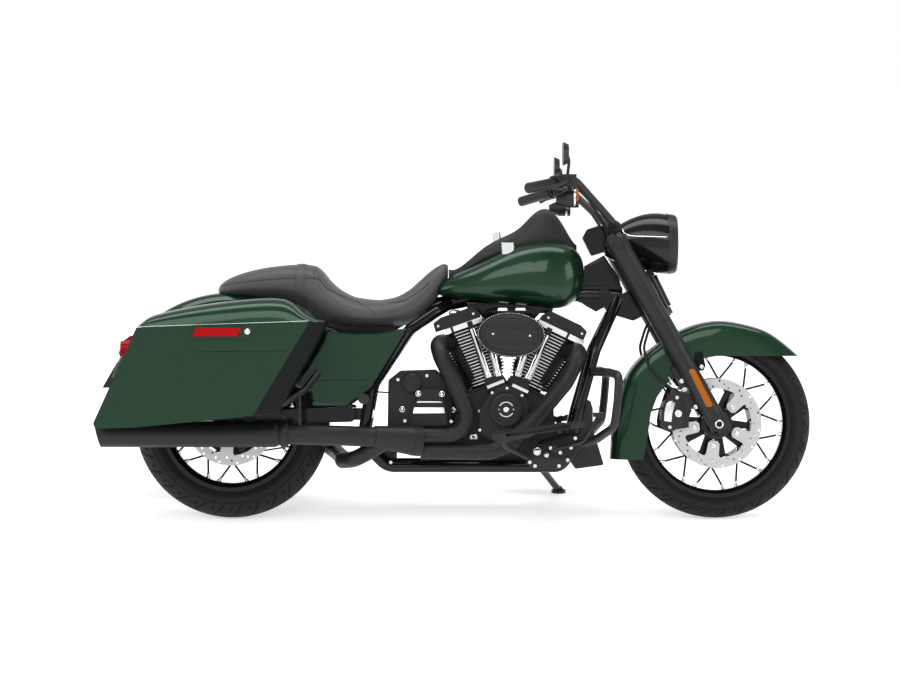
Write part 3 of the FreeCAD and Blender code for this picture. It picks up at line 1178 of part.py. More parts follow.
# Console on the tank
CONSOLE_FORM = [(0, 0), (0.8, 0.0), (1.0, 0.2), (0.9, 0.7), (0.55, 0.96), (0, 1)]
CONSOLE_STATIONS = [(-84, 14, 790, 838), (12, 34, 850, 893), (100, 44, 880, 947), (158, 48, 890, 981),
                    (252, 50, 900, 1039), (302, 46, 905, 984), (346, 30, 872, 921)]
console = loft([hoop(x, half, low, high, CONSOLE_FORM) for x, half, low, high in CONSOLE_STATIONS])
console = minus(console, tank_solid)
console = max(console.Solids, key=lambda solid: solid.Volume)
fuel_cap = cylinder(vec(116, -78, 868), vec(116, -82, 926), 24)
fuel_cap = minus(fuel_cap, tank_solid, console)
fuel_cap = max(fuel_cap.Solids, key=lambda solid: solid.BoundBox.ZMax)
ignition = cylinder(vec(81, 0, 925), vec(74, 0, 962), 15)
ignition = minus(ignition, console)
ignition = max(ignition.Solids, key=lambda solid: solid.BoundBox.ZMax)

# Seat in one piece: rider's dish and raised passenger pad
SEAT_FORM = [(0, 0), (0.72, 0.0), (0.94, 0.1), (1.0, 0.4), (0.93, 0.74), (0.64, 0.95), (0, 1)]
SEAT_STATIONS = [(-856, 0.34, 752, 776), (-832, 0.54, 745, 799), (-800, 0.64, 741, 814), (-733, 0.72, 738, 834),
                 (-660, 0.76, 734, 846), (-600, 0.78, 722, 851), (-560, 0.79, 698, 852), (-528, 0.82, 668, 847),
                 (-505, 0.85, 653, 827), (-480, 0.88, 649, 796), (-440, 0.95, 648, 763), (-390, 1.0, 646, 741),
                 (-318, 0.99, 645, 733), (-270, 0.90, 646, 740), (-220, 0.72, 651, 764), (-180, 0.56, 672, 798),
                 (-150, 0.46, 706, 825), (-120, 0.36, 752, 846), (-96, 0.26, 800, 854)]
SEAT_ROWS = 30
seat = loft([hoop(x, share * SEAT_HALF_WIDTH, low, high, SEAT_FORM)
             for x, share, low, high in eased(SEAT_STATIONS, SEAT_ROWS)], True)
seat = minus(seat, tank_solid, console, frame_body, fender_solid)
seat = max(seat.Solids, key=lambda solid: solid.Volume)


def shrunk(points, share, lift=0.0):
    """An outline drawn in towards its own middle."""
    middle_x = sum(x for x, z in points) / len(points)
    middle_z = sum(z for x, z in points) / len(points) + lift
    return [(middle_x + (x - middle_x) * share, middle_z + (z - middle_z) * share) for x, z in points]


# Side covers on posts from the frame
COVER_OUTLINE = [(-488, 628), (-400, 622), (-310, 624), (-247, 636), (-209, 640), (-335, 436), (-411, 382), (-533, 382),
                 (-546, 430), (-600, 449), (-554, 504), (-500, 592)]
COVER_INNER = 176.0
COVER_OUTER = 211.0
cover_wires = [side_wire(COVER_OUTLINE, -COVER_INNER, 8), side_wire(shrunk(COVER_OUTLINE, 0.99), -COVER_OUTER + 10, 8),
               side_wire(shrunk(COVER_OUTLINE, 0.93), -COVER_OUTER, 8)]
cover = loft(cover_wires, True)
cover_room = side_plate(shrunk(COVER_OUTLINE, 0.88), (-COVER_INNER + 1, -COVER_OUTER + 12), 8)
COVER_POSTS = [(-400, 600, SUBFRAME_HALF_SPACING), (-348, 462, PIVOT_HALF_SPACING)]
posts = [cylinder(vec(x, -y, z), vec(x, -COVER_OUTER + 6, z), 8) for x, z, y in COVER_POSTS]
side_cover = fused([cover.cut(cover_room)] + posts)
side_cover = minus(side_cover, frame_body)
side_cover = max(side_cover.Solids, key=lambda solid: solid.Volume)

# Side bags: a hollow body, open at the top, under a hinged domed lid
BAG_FULL = [(-1078, 640), (-479, 657), (-636, 362), (-1093, 322), (-1234, 318)]
BAG_FACE = [(-1083, 640), (-527, 657), (-713, 356), (-1093, 319), (-1232, 315)]
BAG_LEAN = (0.42, 0.53)
BAG_CORNER = 16.0
NOTCH_TOP = MUFFLER_HEIGHT + MUFFLER_RADIUS + 11
SEAM_SLOPE = (657 - 640) / (1080 - 479)


def seam_height(x):
    """The height of the joint between bag and lid."""
    return 640 + (x + 1080) * SEAM_SLOPE


def bag_loft(inset, rise):
    """The bag's form, drawn in by a wall, with its top lifted by a rise."""
    def drawn(points):
        lifted = [(x + rise * BAG_LEAN[index], z + rise) if index < 2 else (x, z) for index, (x, z) in enumerate(points)]
        wide = (max(x for x, z in lifted) - min(x for x, z in lifted)) / 2
        tall = (max(z for x, z in lifted) - min(z for x, z in lifted)) / 2
        middle_x = sum(x for x, z in lifted) / len(lifted)
        middle_z = sum(z for x, z in lifted) / len(lifted)
        slant = 1.35
        return [(middle_x + (x - middle_x) * (1 - slant * inset / wide), middle_z + (z - middle_z) * (1 - inset / tall))
                for x, z in lifted]
    wires = [side_wire(drawn(BAG_FULL), -BAG_INNER - inset, BAG_CORNER),
             side_wire(drawn(BAG_FULL), -BAG_OUTER + 44, BAG_CORNER),
             side_wire(drawn(BAG_FACE), -BAG_OUTER + inset, BAG_CORNER)]
    return loft(wires, True)


notch = block((-1300, -400), (-BAG_INNER + 20, -MUFFLER_HALF_SPACING - MUFFLER_RADIUS - 16), (200, NOTCH_TOP))
notch_wall = block((-1300, -400), (-BAG_INNER + 20, -MUFFLER_HALF_SPACING - MUFFLER_RADIUS - 16 - BAG_WALL),
                   (200, NOTCH_TOP + BAG_WALL))
seam_cut = side_plate([(-1300, seam_height(-1300)), (-300, seam_height(-300)), (-300, 900), (-1300, 900)], (-600, -100))
bag_body = bag_loft(0, 60).cut(notch).cut(seam_cut)
bag_room = bag_loft(BAG_WALL, 60).cut(notch_wall)
saddlebag = bag_body.cut(bag_room)

LID_TOP = [(-500, 0.18), (-540, 0.26), (-604, 0.98), (-693, 1.0), (-813, 0.9), (-1036, 0.52), (-1064, 0.2)]
LID_RISE = 82.0
LID_SPREAD = [(BAG_INNER, 0.5), (BAG_INNER + 14, 0.78), (BAG_INNER + 60, 0.96), (BAG_OUTER - 130, 1.0),
              (BAG_OUTER - 60, 0.88), (BAG_OUTER - 22, 0.62), (BAG_OUTER, 0.2)]


def lid_outline(share, inset, front):
    """The lid's side outline at one place across the bag."""
    points = [(-1081 + inset, seam_height(-1081) - 40), (front - inset, seam_height(front) - 40),
              (front - inset, seam_height(front) + 4 - inset)]
    for x, rise in LID_TOP:
        placed = min(x, front - 12)
        placed = placed + inset if placed < -800 else placed - inset
        points.append((placed, seam_height(placed) + LID_RISE * rise * share + 3 - inset))
    return points


def lid_loft(inset):
    """The lid's form, drawn in by a wall."""
    wires = []
    for index, (y, share) in enumerate(LID_SPREAD):
        shift = inset if index == 0 else -inset if index == len(LID_SPREAD) - 1 else 0
        front = -481 if y < BAG_OUTER - 44 else -481 - 46 * (y - BAG_OUTER + 44) / 44
        wires.append(side_wire(lid_outline(share, inset, front), -(y + shift), 0))
    return loft(wires, True)


lid_cut = side_plate([(-1300, seam_height(-1300) + LID_GAP), (-300, seam_height(-300) + LID_GAP), (-300, 300),
                      (-1300, 300)], (-600, -100))
bag_lid = lid_loft(0).cut(lid_cut).cut(lid_loft(BAG_WALL))
bag_lid = max(bag_lid.Solids, key=lambda solid: solid.Volume)

# Lid hinge: knuckles of bag and lid in turn along the inner seam
HINGE_Y = BAG_INNER - 8
HINGE_RADIUS = 5.0
HINGE_PLACES = (-940.0, -660.0)
KNUCKLE = 24.0
hinge_rise = LID_GAP / 2


def knuckle(x, upper):
    """One hinge knuckle with its leaf."""
    start = vec(x, -HINGE_Y, seam_height(x) + hinge_rise)
    end = vec(x + KNUCKLE, -HINGE_Y, seam_height(x + KNUCKLE) + hinge_rise)
    barrel = cylinder(start, end, HINGE_RADIUS)
    if upper:
        leaf = block((x, x + KNUCKLE), (-BAG_INNER - 2, -HINGE_Y), (seam_height(x) + LID_GAP + 0.4, seam_height(x) + 5))
        face = block((x, x + KNUCKLE), (-BAG_INNER - 2, -BAG_INNER + 3), (seam_height(x) + LID_GAP + 0.4,
                                                                       seam_height(x) + 26))
    else:
        leaf = block((x, x + KNUCKLE), (-BAG_INNER - 2, -HINGE_Y), (seam_height(x) - 5, seam_height(x) - 0.4))
        face = block((x, x + KNUCKLE), (-BAG_INNER - 2, -BAG_INNER + 3), (seam_height(x) - 26, seam_height(x) - 0.4))
    return [barrel, leaf, face]


bag_knuckles = []
lid_knuckles = []
for place in HINGE_PLACES:
    bag_knuckles += knuckle(place, False)
    lid_knuckles += knuckle(place + KNUCKLE + SEAT_CLEARANCE, True)
saddlebag = fused([saddlebag] + bag_knuckles)
bag_lid = fused([bag_lid] + lid_knuckles)

# Latch plate, lock and reflector on the bag's outer face
latch = side_plate([(-916, 604), (-905, 636), (-700, 636), (-730, 604)], (-BAG_OUTER, -BAG_OUTER - 5), 8)
lock = cylinder(vec(-748, -BAG_OUTER - 4, 620), vec(-748, -BAG_OUTER - 8, 620), 9)
latch = fused([latch, lock])
bag_reflector = side_plate([(-906, 612), (-896, 630), (-772, 630), (-780, 612)], (-BAG_OUTER - 5, -BAG_OUTER - 9), 3)

# Rear lamps, number plate bracket and shock absorbers
tail = side_plate([(-1124, 600), (-1150, 616), (-1178, 596), (-1192, 556), (-1182, 530), (-1158, 540)], (-46, 46), 8)
tail = minus(tail, fender_solid)
tail = max(tail.Solids, key=lambda solid: solid.BoundBox.XLength)
SIGNAL_HALF_SPACING = 150.0
rear_signals = []
for side in (-1, 1):
    head = vec(-1172, side * SIGNAL_HALF_SPACING, 572)
    bulb = fused([cylinder(head, head + vec(34, 0, 0), 25), cone(head + vec(34, 0, 0), head + vec(52, 0, 0), 25, 12)])
    stalk = cylinder(head + vec(17, 0, 0), vec(head.x + 17, side * (REAR_FENDER_HALF_WIDTH - 12), 572), 8)
    rear_signals.append(minus(fused([bulb, stalk]), fender_solid, frame_body))
rear_lamps = Part.makeCompound([tail] + [max(shape.Solids, key=lambda solid: solid.Volume) for shape in rear_signals])
plate_bracket = side_plate([(-1176, 520), (-1192, 526), (-1242, 440), (-1216, 440)], (-88, 88), 2)
plate_bracket = minus(plate_bracket, fender_solid, tail)
plate_bracket = max(plate_bracket.Solids, key=lambda solid: solid.Volume)
SHOCK_Y = 177.0
SHOCK_RADIUS = 19.0
EYE_REACH = 13.0
shock_low = (-745.0, 342.0)
shock_high = (-567.0, 653.0)
shocks = []
for side in (-1, 1):
    low = vec(shock_low[0], side * SHOCK_Y, shock_low[1])
    high = vec(shock_high[0], side * SHOCK_Y, shock_high[1])
    along = high - low
    pieces = [
        cylinder(low + along * 0.06, low + along * 0.5, SHOCK_RADIUS - 5),
        cylinder(low + along * 0.42, high - along * 0.05, SHOCK_RADIUS),
        cylinder(vec(low.x, side * REAR_OUTER, low.z), vec(low.x, side * (SHOCK_Y + EYE_REACH), low.z), 16),
        cylinder(vec(high.x, side * SUBFRAME_HALF_SPACING, high.z), vec(high.x, side * (SHOCK_Y + EYE_REACH), high.z), 15),
        cylinder(low, low + along * 0.1, 12),
        cylinder(high - along * 0.1, high, 12),
    ]
    shocks.append(minus(fused(pieces), frame_body, swingarm))
rear_shocks = Part.makeCompound([max(shape.Solids, key=lambda solid: solid.Volume) for shape in shocks])

# Floorboards, pegs and foot controls
BOARD_CENTRE_Y = 366.0
BOARD_HEIGHT = 314.0
BOARD_MIDDLE = 204.0
BOARD_LENGTH = 306.0
BOARD_WIDTH = 112.0
BOARD_THICKNESS = 12.0
BOARD_TILT = 7.3


def floorboard(side):
    """A board with rounded ends on two arms from the frame's rail."""
    half = BOARD_LENGTH / 2
    half_wide = BOARD_WIDTH / 2
    plan = [(-half, -half_wide * 0.7), (-half, half_wide * 0.7), (-half * 0.72, half_wide), (half * 0.72, half_wide),
            (half, half_wide * 0.6), (half, -half_wide * 0.6), (half * 0.72, -half_wide), (-half * 0.72, -half_wide)]
    wire = outline([vec(BOARD_MIDDLE + x, side * (BOARD_CENTRE_Y + y), BOARD_HEIGHT) for x, y in plan], 24)
    board = Part.Face(wire).extrude(vec(0, 0, -BOARD_THICKNESS))
    board.rotate(vec(BOARD_MIDDLE, 0, BOARD_HEIGHT), vec(0, 1, 0), -BOARD_TILT)
    front = rod([vec(300, side * 118, 190), vec(300, side * 236, 236), vec(300, side * 330, 316)], 9, 60)
    if side < 0:
        rear = rod([vec(214, side * 118, 194), vec(196, side * 244, 204), vec(96, side * 312, 256), vec(96, side * 330, 294)], 9, 30)
        return minus(fused([board, front, rear]), frame_body)
    rear = rod([vec(150, 150, 262), vec(150, 262, 262), vec(150, 330, 300)], 9, 40)
    return minus(fused([board, front, rear]), frame_body, primary)


def peg(side):
    """A passenger's folding peg on the frame."""
    root = vec(-352, side * PIVOT_HALF_SPACING, 404)
    return minus(fused([cylinder(root, root + vec(-8, side * 60, 0), 10),
                        cylinder(root + vec(-8, side * 56, 0), root + vec(-12, side * 150, 4), 17)]), frame_body)


boards = {side: floorboard(side) for side in (-1, 1)}
pegs = {side: peg(side) for side in (-1, 1)}


def foot_control(side):
    """A pivot plate under the board with a lever and its pad ahead of it."""
    plate = side_plate([(214, 268), (226, 224), (262, 192), (300, 206), (336, 262), (336, 292), (290, 296)],
                       (side * 316, side * 306), 8)
    pivot = cylinder(vec(262, side * 296, 244), vec(262, side * 330, 244), 12)
    arm = rod([vec(262, side * 326, 244), vec(352, side * 326, 268), vec(404, side * 330, 352)], 6.5, 40)
    pad = block((386, 418), (side * 318, side * 372), (350, 364))
    tie = cylinder(vec(262, side * 306, 244), vec(262, side * 118, 184), 8)
    unit = fused([plate, pivot, arm, pad, tie])
    if side > 0:
        heel = rod([vec(262, 326, 244), vec(150, 326, 262), vec(40, 330, 352)], 6.5, 40)
        unit = fused([unit, heel, block((24, 56), (318, 372), (350, 364))])
    return minus(unit, frame_body, boards[side])


foot_controls = {side: foot_control(side) for side in (-1, 1)}

# Engine guard hoops, chin guard, bag guards with muffler hangers
GUARD_RADIUS = 14.0
guards = []
for side in (-1, 1):
    guard = rod([vec(386, side * 100, 494), vec(440, side * 270, 494), vec(468, side * 376, 486), vec(462, side * 390, 400),
                 vec(452, side * 376, 318), vec(404, side * 250, 276), vec(322, side * 112, 240)], GUARD_RADIUS, 40)
    guards.append(minus(guard, frame_body))
engine_guard = Part.makeCompound([max(shape.Solids, key=lambda solid: solid.Volume) for shape in guards])
chin_guard = side_plate([(384, 410), (396, 371), (396, 300), (413, 250), (433, 183), (338, 170), (322, 200), (352, 330)],
                        (-112, 112), 6)
chin_guard = minus(chin_guard, frame_body, engine_guard)
chin_guard = max(chin_guard.Solids, key=lambda solid: solid.Volume)
bag_guards = []
for side in (-1, 1):
    bow = rod([vec(-470, side * SUBFRAME_HALF_SPACING, 634), vec(-508, side * 196, 500), vec(-560, side * 290, 432),
               vec(-618, side * 366, 394), vec(-700, side * 376, 372)], 11, 50)
    hanger = cylinder(vec(-572, side * 303, 424), vec(-572, side * 299, MUFFLER_HEIGHT + 10), 7)
    bag_guards.append(fused([bow, hanger]))

# Side stand: a leg on a slanted pin under the left rail, with its foot flat on the ground
GROUND_SLOPE = math.tan(LEAN)
STAND_PIN_RADIUS = 6.0
STAND_BARREL = 13.0
STAND_FOOT_RADIUS = 25.0
STAND_FOOT_THICKNESS = 9.0
stand_pivot = vec(*STAND_PIVOT)
stand_foot = vec(STAND_FOOT[0], STAND_FOOT[1], STAND_FOOT[1] * GROUND_SLOPE)
ground_normal = vec(0, -math.sin(LEAN), math.cos(LEAN))
stowed = vec(-0.985, 0.15, -0.08)
leg_line = stand_foot + ground_normal * STAND_FOOT_THICKNESS - stand_pivot
stand_axis = leg_line.cross(stowed)
stand_axis.normalize()
stand_leg = fused([
    cylinder(stand_pivot, stand_pivot + leg_line * 0.98, STAND_LEG_RADIUS),
    cylinder(stand_pivot - stand_axis * STAND_BARREL, stand_pivot + stand_axis * STAND_BARREL, 17),
    cylinder(stand_foot, stand_foot + ground_normal * STAND_FOOT_THICKNESS, STAND_FOOT_RADIUS),
    cone(stand_foot + ground_normal * (STAND_FOOT_THICKNESS - 1), stand_foot + ground_normal * 22, 20, 11),
])
stand_room = cylinder(stand_pivot - stand_axis * 60, stand_pivot + stand_axis * 60, STAND_PIN_RADIUS + RUNNING_CLEARANCE)
stand_leg = stand_leg.cut(stand_room)
ear_gap = STAND_BARREL + SEAT_CLEARANCE
EAR_THICKNESS = 7.0
ears = [
    cylinder(stand_pivot + stand_axis * ear_gap, stand_pivot + stand_axis * (ear_gap + EAR_THICKNESS), 17),
    cylinder(stand_pivot - stand_axis * ear_gap, stand_pivot - stand_axis * (ear_gap + EAR_THICKNESS), 17),
    cylinder(stand_pivot - stand_axis * (ear_gap + 3), stand_pivot + stand_axis * (ear_gap + 3), STAND_PIN_RADIUS),
]
for reach in (ear_gap, -ear_gap - EAR_THICKNESS):
    root = stand_pivot + stand_axis * reach
    rail_point = vec(root.x, FRAME_RAIL_HALF_SPACING, FRAME_RAIL_HEIGHT)
    square = [root + vec(-15, 0, 0), root + vec(15, 0, 0), rail_point + vec(20, 0, 0), rail_point + vec(-20, 0, 0)]
    flat = [point - stand_axis * (point - root).dot(stand_axis) for point in square]
    ears.append(Part.Face(Part.makePolygon(flat + [flat[0]])).extrude(stand_axis * EAR_THICKNESS))
frame_body = fused([frame_body] + ears)
frame_body = frame_body.cut(cylinder(stand_pivot - stand_axis * STAND_BARREL, stand_pivot + stand_axis * STAND_BARREL,
                                     STAND_PIN_RADIUS + 12).cut(cylinder(stand_pivot - stand_axis * 60,
                                                                         stand_pivot + stand_axis * 60,
                                                                         STAND_PIN_RADIUS)))

# The finished pieces, one node each
saddlebag_left = mirrored(saddlebag)
frame_body = minus(frame_body, rear_fender, saddlebag, saddlebag_left)
frame_body = max(frame_body.Solids, key=lambda solid: solid.Volume)
bag_guards = [minus(shape, frame_body, muffler_right, muffler_left, bag)
              for shape, bag in zip(bag_guards, (saddlebag, saddlebag_left))]
bag_guards = [max(shape.Solids, key=lambda solid: solid.Volume) for shape in bag_guards]
gearbox = fused([gearbox, drive_pulley])
gearbox = minus(gearbox, crankcase, frame_body)
primary = minus(primary, gearbox, crankcase, belt_room)
primary = max(primary.Solids, key=lambda solid: solid.Volume)
side_cover = minus(side_cover, bag_guards[0], boards[-1], pegs[-1])
side_cover = max(side_cover.Solids, key=lambda solid: solid.Volume)
side_covers = [minus(side_cover, exhaust_headers), mirrored(side_cover)]
cylinder_front = minus(cylinder_front, crankcase)
cylinder_rear = minus(cylinder_rear, crankcase)
NODES = [
    ("frame", [frame_body]),
    ("engine_crankcase", [crankcase]),
    ("cylinders", [cylinder_front, cylinder_rear]),
    ("rocker_covers", rockers),
    ("pushrod_tubes", pushrods),
    ("air_cleaner", [air_cleaner]),
    ("gearbox", [gearbox]),
    ("primary_cover", [primary]),
    ("exhaust_headers", headers),
    ("muffler_right", [muffler_right]),
    ("muffler_left", [muffler_left]),
    ("swingarm", [swingarm]),
    ("rear_caliper", [rear_caliper]),
    ("drive_belt", [drive_belt]),
    ("fuel_tank", [fuel_tank]),
    ("tank_console", [console]),
    ("tank_fittings", [fuel_cap, ignition]),
    ("seat", [seat]),
    ("rear_fender", [rear_fender]),
    ("side_covers", side_covers),
    ("saddlebag_right", [saddlebag]),
    ("saddlebag_left", [saddlebag_left]),
    ("bag_latches", [latch, mirrored(latch)]),
    ("bag_reflectors", [bag_reflector, mirrored(bag_reflector)]),
    ("rear_lamps", rear_lamps.Solids),
    ("plate_bracket", [plate_bracket]),
    ("rear_shocks", rear_shocks.Solids),
    ("floorboards", [boards[-1], boards[1], pegs[-1], pegs[1]]),
    ("foot_controls", [foot_controls[-1], foot_controls[1]]),
    ("engine_guard", engine_guard.Solids),
    ("chin_guard", [chin_guard]),
    ("bag_guards", bag_guards),
    ("triple_clamp", [triple_clamp]),
    ("fork_legs", [legs[-1], legs[1]]),
    ("handlebar", [handlebar]),
    ("hand_controls", controls + grips),
    ("mirrors", mirrors),
    ("front_turn_signals", signals),
    ("headlamp_nacelle", [nacelle]),
    ("headlamp_bezel", [parts["headlamp_bezel"]]),
    ("headlamp_lens", [parts["headlamp_lens"]]),
    ("front_fender", [front_fender]),
    ("front_axle", [front_axle]),
    ("front_calipers", front_calipers),
    ("fork_reflectors", reflectors),
    ("brake_hoses", hoses),
    ("front_tyre", [parts["front_tyre"]]),
    ("front_wheel", [parts["front_wheel"]]),
    ("front_discs", front_discs),
    ("rear_tyre", [parts["rear_tyre"]]),
    ("rear_wheel", [parts["rear_wheel"]]),
    ("rear_disc", [parts["rear_disc"]]),
    ("rear_pulley", [parts["rear_pulley"]]),
    ("side_stand", [stand_leg]),
    ("bag_lid_right", [bag_lid]),
    ("bag_lid_left", [mirrored(bag_lid)]),
]

# Park it: lean to the left about the line under the tyres, then centre it on the floor
lean_turn = FreeCAD.Rotation(vec(1, 0, 0), -LEAN_ANGLE)
leaned = {}
for name, solids in NODES:
    flat_list = []
    for solid in solids:
        flat_list += solid.Solids
    shape = flat_list[0] if len(flat_list) == 1 else Part.makeCompound(flat_list)
    shape = shape.copy()
    shape.Placement = FreeCAD.Placement(vec(0, 0, 0), lean_turn).multiply(shape.Placement)
    leaned[name] = shape
whole = Part.makeCompound(list(leaned.values()))
box = whole.optimalBoundingBox(False, False)
park_shift = vec(-(box.XMin + box.XMax) / 2, -(box.YMin + box.YMax) / 2, -box.ZMin)


def parked(point):
    """Where an upright point lies once the machine is parked."""
    return lean_turn.multVec(point) + park_shift


os.makedirs("parts", exist_ok=True)
for name, shape in leaned.items():
    shape.translate(park_shift)
    shape.exportStep("parts/" + name + ".step")
    print(name, shape.isValid(), len(shape.Solids), round(shape.Volume / 1e6, 3))
print("overall", round(box.XLength), round(box.YLength), round(box.ZLength), "shift", park_shift)
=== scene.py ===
"""A touring cruiser motorcycle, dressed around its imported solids.

Every shape is written in the upright machine's own millimetres: X forward, Y to the rider's left, Z up, with the
origin on the ground midway between the axles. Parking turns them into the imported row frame, in metres.
"""

import json
import logging
import math
from dataclasses import dataclass, field
from enum import Enum
from functools import cache
from typing import Callable, Iterable, Sequence

import bmesh
import bpy
import numpy as np
from mathutils import Matrix, Vector
from mathutils.bvhtree import BVHTree
from mathutils.geometry import delaunay_2d_cdt
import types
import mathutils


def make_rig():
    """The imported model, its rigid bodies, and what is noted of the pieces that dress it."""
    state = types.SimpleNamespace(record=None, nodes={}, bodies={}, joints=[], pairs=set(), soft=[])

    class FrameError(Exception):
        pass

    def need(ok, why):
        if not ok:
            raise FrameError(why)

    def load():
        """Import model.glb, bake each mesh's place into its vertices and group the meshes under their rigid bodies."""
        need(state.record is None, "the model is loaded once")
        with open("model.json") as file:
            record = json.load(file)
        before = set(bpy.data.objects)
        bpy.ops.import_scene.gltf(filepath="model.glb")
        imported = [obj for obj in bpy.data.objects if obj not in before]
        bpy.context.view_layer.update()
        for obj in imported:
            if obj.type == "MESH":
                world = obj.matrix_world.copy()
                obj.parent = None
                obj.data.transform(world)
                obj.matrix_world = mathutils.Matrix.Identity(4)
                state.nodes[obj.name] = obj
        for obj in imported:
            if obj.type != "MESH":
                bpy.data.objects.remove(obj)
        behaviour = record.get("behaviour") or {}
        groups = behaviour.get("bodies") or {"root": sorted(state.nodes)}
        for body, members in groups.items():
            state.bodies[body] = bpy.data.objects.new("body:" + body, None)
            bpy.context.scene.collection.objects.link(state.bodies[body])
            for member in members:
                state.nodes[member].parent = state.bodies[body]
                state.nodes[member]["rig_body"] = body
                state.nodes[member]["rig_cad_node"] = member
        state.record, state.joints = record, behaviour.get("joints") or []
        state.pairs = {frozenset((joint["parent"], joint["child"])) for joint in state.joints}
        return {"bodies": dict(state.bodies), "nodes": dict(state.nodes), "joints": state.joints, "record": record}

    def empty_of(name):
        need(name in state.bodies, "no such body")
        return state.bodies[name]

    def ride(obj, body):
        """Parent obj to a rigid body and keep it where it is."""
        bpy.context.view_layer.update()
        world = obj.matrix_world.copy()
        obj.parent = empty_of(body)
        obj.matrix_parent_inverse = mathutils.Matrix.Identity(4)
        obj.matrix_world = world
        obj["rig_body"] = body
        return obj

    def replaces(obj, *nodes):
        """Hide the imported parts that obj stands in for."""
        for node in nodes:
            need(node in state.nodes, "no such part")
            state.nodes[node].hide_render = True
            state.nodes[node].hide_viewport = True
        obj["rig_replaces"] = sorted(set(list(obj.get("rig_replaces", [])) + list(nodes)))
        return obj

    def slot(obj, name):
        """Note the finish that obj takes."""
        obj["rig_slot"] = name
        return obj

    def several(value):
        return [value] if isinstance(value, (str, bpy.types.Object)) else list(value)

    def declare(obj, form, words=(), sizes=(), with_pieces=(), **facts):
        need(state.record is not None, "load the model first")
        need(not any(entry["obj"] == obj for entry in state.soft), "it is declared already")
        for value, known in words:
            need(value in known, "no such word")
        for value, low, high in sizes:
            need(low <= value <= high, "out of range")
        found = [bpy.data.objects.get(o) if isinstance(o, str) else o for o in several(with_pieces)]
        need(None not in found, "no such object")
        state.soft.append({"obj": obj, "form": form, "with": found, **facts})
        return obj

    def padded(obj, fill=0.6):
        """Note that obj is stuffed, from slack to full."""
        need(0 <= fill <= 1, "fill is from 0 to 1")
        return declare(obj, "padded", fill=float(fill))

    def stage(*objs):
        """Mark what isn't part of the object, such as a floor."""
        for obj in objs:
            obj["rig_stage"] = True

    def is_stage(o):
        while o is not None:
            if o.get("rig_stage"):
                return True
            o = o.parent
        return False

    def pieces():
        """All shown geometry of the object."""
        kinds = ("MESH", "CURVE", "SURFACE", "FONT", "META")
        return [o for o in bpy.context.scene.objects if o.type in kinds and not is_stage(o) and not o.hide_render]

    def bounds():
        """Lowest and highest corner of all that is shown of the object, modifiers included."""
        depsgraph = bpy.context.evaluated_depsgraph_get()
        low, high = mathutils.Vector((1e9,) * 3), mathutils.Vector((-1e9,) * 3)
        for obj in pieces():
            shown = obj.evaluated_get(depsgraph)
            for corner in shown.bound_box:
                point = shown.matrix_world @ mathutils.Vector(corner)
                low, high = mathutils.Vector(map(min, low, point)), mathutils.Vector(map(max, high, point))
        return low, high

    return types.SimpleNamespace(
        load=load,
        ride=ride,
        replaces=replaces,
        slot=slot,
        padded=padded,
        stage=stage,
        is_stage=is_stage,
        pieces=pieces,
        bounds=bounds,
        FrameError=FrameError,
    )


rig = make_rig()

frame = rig.load()
cad_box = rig.bounds()
log = logging.getLogger("touring_cruiser")

Point = tuple[float, float, float]
Flat = tuple[float, float]
Lift = Callable[[float, float, float], Vector]


class Body(Enum):
    """The bodies that pieces ride on."""

    CHASSIS = "chassis"
    STEERING = "steering"
    FRONT_WHEEL = "front_wheel"
    REAR_WHEEL = "rear_wheel"
    LID_RIGHT = "bag_lid_right"
    LID_LEFT = "bag_lid_left"


@dataclass(frozen=True)
class Parking:
    """How the upright machine stands in the row frame, leaning on its side stand."""

    lean: float = math.radians(10)
    shift: Point = (54.0118762, -118.5610207, 0.0)

    def matrix(self) -> Matrix:
        """The turn from upright millimetres to row metres."""
        return Matrix.Scale(0.001, 4) @ Matrix.Translation(self.shift) @ Matrix.Rotation(-self.lean, 4, "X")

    def point(self, place: Point) -> Vector:
        """A row-frame point in metres from an upright one in millimetres."""
        return self.matrix() @ Vector(place)

    def direction(self, way: Point) -> Vector:
        """A row-frame direction from an upright one."""
        return (Matrix.Rotation(-self.lean, 3, "X") @ Vector(way)).normalized()


PARKING = Parking()


@dataclass(frozen=True)
class Layout:
    """The machine's main places that several sub-assemblies share, in millimetres."""

    front_axle: Point = (812.5, 0.0, 321.0)
    rear_axle: Point = (-812.5, 0.0, 329.4)
    camera_distance: float = 9400.0
    camera_aim: Flat = (-80.0, 608.0)
    lens: float = 111.5


LAYOUT = Layout()


